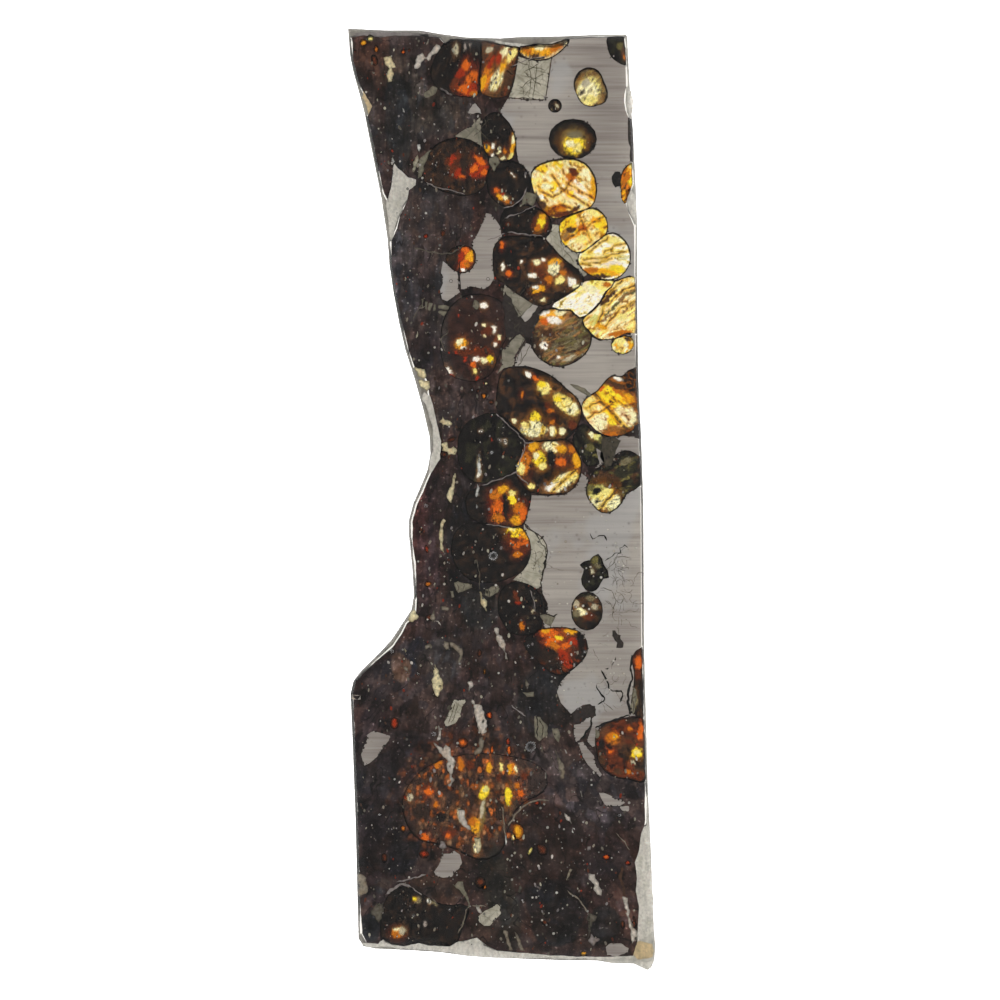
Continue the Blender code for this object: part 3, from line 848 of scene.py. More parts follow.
def fine_mottle() -> bpy.types.NodeTree:
    """Makes the group for the uneven, speckled look of natural rock and grains.

    Returns:
        The group.
    """

    def fill(sheet: NodeSheet, start: bpy.types.Node, end: bpy.types.Node) -> None:
        """Adds clouds and small hard spots.

        Args:
            sheet: The group's sheet.
            start: Its input node.
            end: Its output node.
        """
        clouds = sheet.noise(start.outputs["Place"], start.outputs["Scale"], 3.0)
        sheet.feed(end, "Clouds", clouds)
        cells = sheet.node("ShaderNodeTexVoronoi")
        sheet.feed(cells, "Vector", start.outputs["Place"])
        sheet.feed(cells, "Scale", sheet.math("MULTIPLY", start.outputs["Scale"], 2.5))
        spots = sheet.ramp(cells.outputs["Distance"], ((0.0, 1.0), (0.22, 0.0)))
        sheet.feed(end, "Spots", spots)

    return grain_group("fine_mottle", {"Scale": 900.0}, ["Clouds", "Spots"], fill)


def fissures() -> bpy.types.NodeTree:
    """Makes the group for wandering cracks with a soft stained fringe.

    Returns:
        The group.
    """

    def fill(sheet: NodeSheet, start: bpy.types.Node, end: bpy.types.Node) -> None:
        """Draws the line where a bent noise passes its middle value.

        Args:
            sheet: The group's sheet.
            start: Its input node.
            end: Its output node.
        """
        bend = sheet.node("ShaderNodeTexNoise", noise_dimensions="2D")
        sheet.feed(bend, "Vector", start.outputs["Place"])
        sheet.feed(bend, "Scale", sheet.math("MULTIPLY", start.outputs["Scale"], 2.3))
        sheet.feed(bend, "Detail", 1.0)
        swing = sheet.node("ShaderNodeVectorMath", operation="SCALE")
        sheet.feed(swing, 0, bend.outputs["Color"])
        sheet.feed(swing, "Scale", sheet.math("DIVIDE", 0.35, start.outputs["Scale"]))
        moved = sheet.node("ShaderNodeVectorMath", operation="ADD")
        sheet.feed(moved, 0, start.outputs["Place"])
        sheet.feed(moved, 1, swing.outputs[0])
        value = sheet.noise(moved.outputs[0], start.outputs["Scale"], 1.0, flat=True)
        off = sheet.math("ABSOLUTE", sheet.math("SUBTRACT", value, 0.5))
        share = sheet.math("DIVIDE", off, start.outputs["Width"])
        where = sheet.noise(moved.outputs[0], sheet.math("MULTIPLY", start.outputs["Scale"], 1.6), 0.0)
        open_part = sheet.ramp(where, ((0.42, 0.0), (0.55, 1.0)))
        crack = sheet.ramp(share, ((0.25, 1.0), (1.0, 0.0)))
        sheet.feed(end, "Crack", sheet.math("MULTIPLY", crack, open_part))
        wide = sheet.math("DIVIDE", share, 3.5)
        sheet.feed(end, "Fringe", sheet.ramp(wide, ((0.1, 1.0), (1.0, 0.0))))

    return grain_group("fissures", {"Scale": 1.0, "Width": 0.02}, ["Crack", "Fringe"], fill)


@dataclass(frozen=True)
class Finish:
    """What every finish has: a name and a Principled shader to set."""

    name: str

    def start(self) -> tuple[bpy.types.Material, NodeSheet, bpy.types.Node, bpy.types.NodeSocket]:
        """Makes the material.

        Returns:
            The material, its sheet, its shader and the place on the object.
        """
        material = bpy.data.materials.new(self.name)
        material.use_nodes = True
        sheet = NodeSheet(material.node_tree)
        shader = material.node_tree.nodes["Principled BSDF"]
        where = sheet.node("ShaderNodeTexCoord").outputs["Object"]
        return material, sheet, shader, where

    def group(self, sheet: NodeSheet, tree: bpy.types.NodeTree, where: object,
              **values: float) -> bpy.types.Node:
        """Places a shared group in the material with this finish's own values.

        Args:
            sheet: The material's sheet.
            tree: The group.
            where: The place that it reads.
            values: Its number inputs.

        Returns:
            The group node.
        """
        made = sheet.node("ShaderNodeGroup", node_tree=tree)
        sheet.feed(made, "Place", where)
        for label, value in values.items():
            sheet.feed(made, label, value)
        return made

    def bump(self, sheet: NodeSheet, shader: bpy.types.Node, height: object, depth: float) -> None:
        """Feeds a height through a Bump node.

        Args:
            sheet: The material's sheet.
            shader: The shader.
            height: The height, from 0 to 1.
            depth: How deep 1 is, in metres.
        """
        made = sheet.node("ShaderNodeBump")
        sheet.feed(made, "Height", height)
        sheet.feed(made, "Distance", depth)
        sheet.feed(made, "Strength", 1.0)
        sheet.feed(shader, "Normal", made.outputs[0])

    def absorb(self, material: bpy.types.Material, colour: Colour, density: float) -> None:
        """Gives a clear material the colour that it takes on with depth.

        Args:
            material: The material.
            colour: What passes through it.
            density: How strongly it absorbs, per metre.
        """
        tree = material.node_tree
        volume = tree.nodes.new("ShaderNodeVolumeAbsorption")
        volume.inputs["Color"].default_value = (*colour, 1.0)
        volume.inputs["Density"].default_value = density
        tree.links.new(volume.outputs[0], tree.nodes["Material Output"].inputs["Volume"])


@dataclass(frozen=True)
class OlivineGlass(Finish):
    """Cracked, glassy olivine that passes light in the colour it is painted in."""

    depth_colour: Colour = (1.0, 0.8, 0.4)
    density: float = 40.0
    stain: Colour = (0.98, 0.82, 0.28)
    crack: Colour = linear(104, 74, 30)
    pitch: float = 0.5
    fine_pitch: float = 3.1
    width: float = 0.014
    cloud_pitch: float = 3.2
    roughness: float = 0.04
    bending: float = 1.67
    relief: float = 0.000003

    def build(self) -> bpy.types.Material:
        """Builds the material.

        Returns:
            The material.
        """
        material, sheet, shader, _ = self.start()
        tint = sheet.layer(TINT_LAYER)
        flow = sheet.layer(FLOW_LAYER).outputs["Vector"]
        wide = self.group(sheet, fissures(), flow, Scale=self.pitch, Width=self.width)
        fine = self.group(sheet, fissures(), flow, Scale=self.pitch * self.fine_pitch,
                          Width=self.width)
        fringe = sheet.math("MAXIMUM", wide.outputs["Fringe"],
                            sheet.math("MULTIPLY", fine.outputs["Fringe"], 0.4))
        fringe = sheet.math("MULTIPLY", fringe, tint.outputs["Alpha"])
        crack = sheet.math("MAXIMUM", wide.outputs["Crack"],
                           sheet.math("MULTIPLY", fine.outputs["Crack"], 0.3))
        crack = sheet.math("MULTIPLY", crack, tint.outputs["Alpha"])
        stained = sheet.blend(1.0, tint.outputs["Color"], self.stain, "MULTIPLY")
        colour = sheet.blend(fringe, tint.outputs["Color"], stained)
        colour = sheet.blend(crack, colour, self.crack)
        clouds = sheet.noise(flow, self.cloud_pitch, 4.0, flat=True)
        shade = sheet.ramp(clouds, ((0.3, 0.86), (0.5, 1.0), (0.7, 1.06)))
        sheet.set_all(shader, {
            "Base Color": sheet.blend(1.0, colour, shade, "MULTIPLY"),
            "Roughness": self.roughness, "IOR": self.bending, "Transmission Weight": 1.0,
        })
        self.bump(sheet, shader, fringe, self.relief)
        self.absorb(material, self.depth_colour, self.density)
        return material


@dataclass(frozen=True)
class ClearResin(Finish):
    """The clear coat: glossy, grey-brown in its depth, with a soft wavy surface."""

    depth_colour: Colour = (0.68, 0.66, 0.62)
    density: float = 700.0
    roughness: float = 0.01
    bending: float = 1.5
    relief: float = 0.00001

    def build(self) -> bpy.types.Material:
        """Builds the material.

        Returns:
            The material.
        """
        material, sheet, shader, where = self.start()
        grain = self.group(sheet, fine_mottle(), where, Scale=220.0)
        sheet.set_all(shader, {
            "Base Color": (1.0, 1.0, 1.0, 1.0), "Roughness": self.roughness, "IOR": self.bending,
            "Transmission Weight": 1.0,
        })
        self.bump(sheet, shader, grain.outputs["Clouds"], self.relief)
        self.absorb(material, self.depth_colour, self.density)
        return material


@dataclass(frozen=True)
class SawnMetal(Finish):
    """Nickel-iron, sawn and lightly polished, with level saw lines, pits and frosted patches."""

    dark: Colour = linear(142, 133, 127)
    light: Colour = linear(190, 183, 174)
    frost: Colour = linear(184, 184, 184)
    pit: Colour = linear(84, 78, 72)
    lines: float = 2.8
    metallic: float = 0.35
    roughness: float = 0.45
    relief: float = 0.000004

    def build(self) -> bpy.types.Material:
        """Builds the material.

        Returns:
            The material.
        """
        material, sheet, shader, where = self.start()
        lines = self.group(sheet, saw_lines(), where, Strength=self.lines).outputs["Lines"]
        grain = self.group(sheet, fine_mottle(), where, Scale=130.0)
        broad = sheet.noise(where, 70.0, 1.0)
        cloud = sheet.ramp(broad, ((0.35, 0.22), (0.6, 0.72)))
        share = sheet.math("ADD", cloud, lines)
        share.node.use_clamp = True
        colour = sheet.blend(share, self.dark, self.light)
        frosted = sheet.ramp(grain.outputs["Clouds"], ((0.6, 0.0), (0.66, 0.5)))
        colour = sheet.blend(frosted, colour, self.frost)
        pits = self.group(sheet, fine_mottle(), where, Scale=420.0).outputs["Spots"]
        cover = sheet.ramp(grain.outputs["Clouds"], ((0.45, 0.0), (0.65, 0.5)))
        colour = sheet.blend(sheet.math("MULTIPLY", pits, cover), colour, self.pit)
        rough = sheet.math("ADD", sheet.math("MULTIPLY", lines, 0.3), self.roughness)
        sheet.set_all(shader, {"Base Color": colour, "Metallic": self.metallic, "Roughness": rough})
        self.bump(sheet, shader, lines, self.relief)
        return material


@dataclass(frozen=True)
class DullTroilite(Finish):
    """Greenish bronze-grey iron sulphide, fine scratches in every direction."""

    dark: Colour = linear(164, 158, 138)
    light: Colour = linear(208, 202, 184)
    scratch: Colour = linear(92, 87, 72)
    turns: tuple[float, ...] = (38.0, -47.0, 82.0, 12.0)
    metallic: float = 0.2
    roughness: float = 0.5
    relief: float = 0.000006

    def build(self) -> bpy.types.Material:
        """Builds the material.

        Returns:
            The material.
        """
        material, sheet, shader, where = self.start()
        lines = self.group(sheet, saw_lines(), where, Strength=0.5).outputs["Lines"]
        grain = self.group(sheet, fine_mottle(), where, Scale=1100.0)
        cloud = sheet.ramp(grain.outputs["Clouds"], ((0.35, 0.1), (0.65, 0.9)))
        share = sheet.math("ADD", cloud, lines)
        share.node.use_clamp = True
        marked = sheet.blend(share, self.dark, self.light)
        for turn in self.turns:
            place_on = sheet.stretch(where, (260.0, 5200.0, 260.0), turn)
            mark = sheet.ramp(sheet.noise(place_on, 1.0, 1.0), ((0.62, 0.0), (0.7, 0.35)))
            marked = sheet.blend(mark, marked, self.scratch)
        sheet.set_all(shader, {
            "Base Color": marked, "Metallic": self.metallic, "Roughness": self.roughness,
        })
        self.bump(sheet, shader, grain.outputs["Clouds"], self.relief)
        return material


@dataclass(frozen=True)
class DarkRock(Finish):
    """Weathered rock: red-brown to black fragments, streaked, cloudy and gritty, with tiny painted glints.
    """

    brown: Colour = (1.14, 0.95, 0.9)
    crack: Colour = linear(14, 12, 12)
    gloss: float = 0.12
    roughness: float = 0.5
    relief: float = 0.000006

    def build(self) -> bpy.types.Material:
        """Builds the material.

        Returns:
            The material.
        """
        material, sheet, shader, where = self.start()
        tint = sheet.layer(TINT_LAYER).outputs["Color"]
        flow = sheet.layer(FLOW_LAYER).outputs["Vector"]
        blotches = sheet.noise(where, 620.0, 5.0)
        shade = sheet.ramp(blotches, ((0.36, 0.5), (0.5, 1.0), (0.64, 1.6)))
        colour = sheet.blend(1.0, tint, shade, "MULTIPLY")
        brown = sheet.ramp(sheet.noise(where, 240.0, 2.0), ((0.48, 0.0), (0.62, 1.0)))
        colour = sheet.blend(brown, colour, sheet.blend(1.0, colour, self.brown, "MULTIPLY"))
        streaks = sheet.noise(sheet.stretch(flow, (0.8, 2.6, 1.0)), 1.0, 2.0, flat=True)
        shade = sheet.ramp(streaks, ((0.36, 0.85), (0.5, 1.0), (0.66, 1.16)))
        colour = sheet.blend(1.0, colour, shade, "MULTIPLY")
        # Grit varies the tone; its highest values paint tiny bright specks as painted glints.
        grit_and_glints = sheet.noise(where, 3000.0, 2.0)
        light = sheet.ramp(grit_and_glints, ((0.3, 0.8), (0.55, 1.0), (0.66, 1.3), (0.74, 4.0)))
        colour = sheet.blend(1.0, colour, light, "MULTIPLY")
        cracks = self.group(sheet, fissures(), flow, Scale=0.5, Width=0.014)
        share = sheet.math("MULTIPLY", cracks.outputs["Crack"], 0.8)
        sheet.set_all(shader, {
            "Base Color": sheet.blend(share, colour, self.crack), "Roughness": self.roughness,
            "Specular IOR Level": self.gloss,
        })
        self.bump(sheet, shader, grit_and_glints, self.relief)
        return material


@dataclass(frozen=True)
class TintedMineral(Finish):
    """Small opaque marks: cracks, veins and slivers, in the colour that each is painted in."""

    gloss: float = 0.2
    roughness: float = 0.5
    relief: float = 0.000006

    def build(self) -> bpy.types.Material:
        """Builds the material.

        Returns:
            The material.
        """
        material, sheet, shader, where = self.start()
        tint = sheet.layer(TINT_LAYER).outputs["Color"]
        grain = self.group(sheet, fine_mottle(), where, Scale=3000.0)
        shade = sheet.ramp(grain.outputs["Clouds"], ((0.35, 0.75), (0.6, 1.1)))
        sheet.set_all(shader, {
            "Base Color": sheet.blend(1.0, tint, shade, "MULTIPLY"), "Roughness": self.roughness,
            "Specular IOR Level": self.gloss,
        })
        self.bump(sheet, shader, grain.outputs["Clouds"], self.relief)
        return material


@dataclass(frozen=True)
class CloudyResin(Finish):
    """Milky resin in the rim, where the coat took up dust or trapped air."""

    roughness: float = 0.35
    bending: float = 1.5
    clearness: float = 0.3
    relief: float = 0.00001

    def build(self) -> bpy.types.Material:
        """Builds the material.

        Returns:
            The material.
        """
        material, sheet, shader, where = self.start()
        tint = sheet.layer(TINT_LAYER).outputs["Color"]
        place_on = sheet.stretch(where, (2600.0, 420.0, 420.0))
        streak = sheet.ramp(sheet.noise(place_on, 1.0, 3.0), ((0.3, 0.8), (0.6, 1.0)))
        sheet.set_all(shader, {
            "Base Color": sheet.blend(1.0, tint, streak, "MULTIPLY"), "Roughness": self.roughness,
            "IOR": self.bending, "Transmission Weight": self.clearness,
        })
        self.bump(sheet, shader, streak, self.relief)
        return material


@dataclass
class FinishShelf:
    """The finishes of the slice, each built once."""

    resin: ClearResin = ClearResin("clear_resin")
    cloudy: CloudyResin = CloudyResin("cloudy_resin")
    rock: DarkRock = DarkRock("weathered_rock")
    metal: SawnMetal = SawnMetal("sawn_metal")
    troilite: DullTroilite = DullTroilite("troilite")
    worn: DullTroilite = DullTroilite("worn_troilite", linear(124, 118, 101), linear(162, 155, 137),
                                      linear(66, 61, 50))
    marks: TintedMineral = TintedMineral("fine_marks")
    glass: dict[Slot, OlivineGlass] = field(
        default_factory=lambda: {
            Slot.BLACK: OlivineGlass("olivine_black_glass", (0.6, 0.55, 0.4), 80.0),
            Slot.GREEN: OlivineGlass("olivine_green_glass", (0.75, 0.85, 0.4), 60.0),
            Slot.BROWN: OlivineGlass("olivine_brown_glass", (0.9, 0.65, 0.4), 60.0),
            Slot.RED: OlivineGlass("olivine_red_glass", (1.0, 0.6, 0.35), 50.0),
            Slot.AMBER: OlivineGlass("olivine_amber_glass", (1.0, 0.8, 0.4), 40.0),
            Slot.YELLOW: OlivineGlass("olivine_yellow_glass", (1.0, 0.92, 0.55), 30.0),
            Slot.PALE: OlivineGlass("olivine_pale_glass", (1.0, 0.96, 0.75), 30.0),
        }
    )
    built: dict[str, bpy.types.Material] = field(default_factory=dict)

    def take(self, finish: Finish) -> bpy.types.Material:
        """Gives a finish's material, and builds it the first time.

        Args:
            finish: The finish.

        Returns:
            Its material.
        """
        if finish.name not in self.built:
            self.built[finish.name] = finish.build()
        return self.built[finish.name]

    def dress(self, piece: bpy.types.Object, finish: Finish, slot: Slot,
              *replaced: str) -> bpy.types.Object:
        """Puts one finish on the whole of a piece and the piece on the slab.

        Args:
            piece: The piece.
            finish: The finish.
            slot: The record's slot.
            replaced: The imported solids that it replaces.

        Returns:
            The same piece.
        """
        piece.data.materials.clear()
        piece.data.materials.append(self.take(finish))
        return place(piece, slot, *replaced)


# Olivine


@dataclass(frozen=True)
class Glow:
    """A patch of a crystal that passes light, as an ellipse on the sheet."""

    x: float
    y: float
    half_width: float
    half_height: float
    turn: float
    tint: Tint

    @cached_property
    def setting(self) -> tuple[float, float, float, float, float, float]:
        """Its middle in plan, the cosine and sine of its turn, and its half sizes in plan."""
        angle = math.radians(self.turn)
        return (*on_sheet(self.x, self.y), math.cos(angle), math.sin(angle),
                self.half_width / SHEET_UNITS_PER_MM, self.half_height / SHEET_UNITS_PER_MM)

    def reach(self, spot: Point) -> float:
        """Tells how far out a place is, with 1 on the ellipse.

        Args:
            spot: The place in plan.

        Returns:
            How far out it is.
        """
        cx, cy, cosine, sine, wide, high = self.setting
        dx, dy = spot[0] - cx, spot[1] - cy
        return math.hypot((dx * cosine + dy * sine) / wide, (dy * cosine - dx * sine) / high)


@dataclass(frozen=True)
class Crystal:
    """One olivine crystal: how it is broken, what colours it has and where light comes through."""

    node: str
    slot: Slot
    body: tuple[Tint, ...]
    glows: tuple[Glow, ...] = ()
    shard: float = 0.5
    stretch: float = 1.4
    lean: float = 60.0
    rim: float = 0.12
    rim_tint: Tint = Tint.UMBER
    crack: float = 0.5
    fan: bool = False
    seams: tuple[tuple[float, tuple[Point, ...]], ...] = ()
    seam_tint: Tint = Tint.BROWN
    vein: Tint = Tint.BLACK
    fringe: float = 0.25
    rocky: bool = False
    small: float = 4.2
    spread: float = 0.12
    bleed_reach: float = 2.4
    chip: float = 0.27

    def shine(self, spot: Point, colour: Colour, ripple: float) -> tuple[Colour, float]:
        """Lays the glows over the crystal's own colour.

        Args:
            spot: The place in plan.
            colour: The crystal's colour there.
            ripple: The unevenness of the glows' edges there.

        Returns:
            The new colour, and the share of small glows, which have no cracks.
        """
        whole = 0.0
        for glow in self.glows:
            reach = glow.reach(spot)
            if reach > self.bleed_reach:
                continue
            share = ease(1.18, 0.82, reach + ripple)
            tint = glow.tint.value
            if reach > 1.0 and tint[0] > 0.4:
                bleed = self.spread * ease(self.bleed_reach, 1.0, reach)
                colour = (colour[0] + tint[0] * bleed, colour[1] + tint[1] * bleed * 0.45,
                          colour[2] + tint[2] * bleed * 0.15)
            colour = mixed(colour, tint, share)
            if min(glow.half_width, glow.half_height) < self.small:
                whole = max(whole, share)
        return colour, whole

    def body_colour(self, u: float, v: float, bend: float, swing: float) -> tuple[Colour, float]:
        """Picks the crystal's own colour, shard by shard.

        Args:
            u: The place along the cracks.
            v: The place across them.
            bend: How far the shards' edges stray along the cracks there.
            swing: How far they stray across them.

        Returns:
            The colour, and how near the place is to a shard's edge, from 0 to 1 on it.
        """
        near, draw, _ = shard_at(u / self.shard + bend * 0.9, v / self.shard + swing * 0.9)
        tint = self.body[int(abs(draw.x) * 97) % len(self.body)].value
        light = 0.75 + 0.5 * abs(draw.y)
        return scaled(tint, light, light, light), ease(self.fringe, 0.0, near)

    def chipped(self, spot: Point, bend: float, swing: float) -> tuple[Point, float]:
        """Moves a place towards the middle of its chip, so that glows end along straight breaks.

        Args:
            spot: The place in plan.
            bend: How far it strays in x.
            swing: How far it strays in y.

        Returns:
            The moved place, and the chip's brightness.
        """
        x, y = spot[0] + 0.08 * bend, spot[1] + 0.08 * swing
        near, draw, middle = shard_at(x / self.chip, y / self.chip)
        middle = middle * self.chip
        moved = (x * 0.45 + middle.x * 0.55, y * 0.45 + middle.y * 0.55)
        light = 0.72 + 0.5 * abs(draw.y)
        return moved, light * (0.6 + 0.4 * ease(0.0, 0.25, near))

    def painter(self, outline: Loop, flow: Flow, ground: Paint) -> Paint:
        """Makes the crystal's paint.

        Args:
            outline: The crystal's outline in plan.
            flow: The way that its cracks run.
            ground: The paint of the rock around it.

        Returns:
            The paint.
        """
        border = Border([outline])
        seams = []
        for width, line in self.seams:
            spots = meander([on_sheet(*point) for point in line], 0.3, 0.2, 3.0)
            seams.append((width / SHEET_UNITS_PER_MM / 2, spots))

        def paint(spot: Point) -> tuple[Colour, float]:
            """Gives the colour and the share of cracks at a place.

            Args:
                spot: The place in plan.

            Returns:
                The colour and the share.
            """
            u, v = flow.at(spot)
            bend = noise.noise(Vector((u * 1.5, v * 1.5, 2.0)))
            swing = noise.noise(Vector((u * 1.5, v * 1.5, 8.0)))
            ripple = noise.noise(Vector((u * 4.0, v * 4.0, 4.0)))
            colour, split = self.body_colour(u, v, bend + 0.4 * ripple, swing)
            if self.rocky:
                colour = ground(spot)[0]
            moved, light = self.chipped(spot, bend + ripple, swing - ripple)
            lit, whole = self.shine(moved, colour, 0.12 * ripple)
            if whole > 0.0:
                light += (1.0 - light) * 0.7
                lit = scaled(lit, light, light ** 1.3, light ** 1.8)
            colour = lit
            split *= (1.0 - whole) * ease(-0.5, 0.35, swing)
            colour = mixed(colour, self.vein.value, 0.85 * split)
            colour = mixed(colour, scaled(self.vein.value, 0.3, 0.24, 0.3), ease(0.72, 0.98, split))
            for half, line in seams:
                off = distance_to(spot, line, False)
                colour = mixed(colour, scaled(colour, 0.95, 0.7, 0.2), ease(half + 0.3, half, off))
                strong = max(0.3, min(1.0, 0.85 + 1.6 * ripple))
                colour = mixed(colour, self.seam_tint.value, strong * ease(half + 0.06, half * 0.4, off))
            cracks = self.crack * (1.0 - whole) * ease(0.02, 0.35, colour[0])
            wide = self.rim * max(0.1, 0.7 + 1.5 * bend)
            edge = ease(wide + 0.06, wide * 0.4, border.gap(spot))
            return mixed(colour, self.rim_tint.value, edge), cracks * (1.0 - edge)

        return paint

    def build(self, outline: Loop, shelf: FinishShelf, step: float, ground: Paint) -> bpy.types.Object:
        """Builds and dresses the crystal.

        Args:
            outline: The crystal's outline in plan.
            shelf: The finishes.
            step: The distance between its inner points, in millimetres.
            ground: The paint of the rock around it.

        Returns:
            The crystal's object.
        """
        shift = random.Random(self.node).uniform(0.0, 90.0)
        flow = Flow(self.lean, self.stretch, self.fan, shift)
        prisms = Prisms(flow)
        prisms.add(outline, self.painter(outline, flow, ground), step)
        piece = prisms.stand(self.node + "_grain", ROCK_LOW + GRAIN_STEP, ROCK_HIGH - GRAIN_STEP)
        return shelf.dress(piece, shelf.glass[self.slot], self.slot, self.node)


def glows(*rows: tuple[float, float, float, float, float, Tint]) -> tuple[Glow, ...]:
    """Makes glows from rows of x, y, half width, half height, turn and tint."""
    return tuple(Glow(*row) for row in rows)


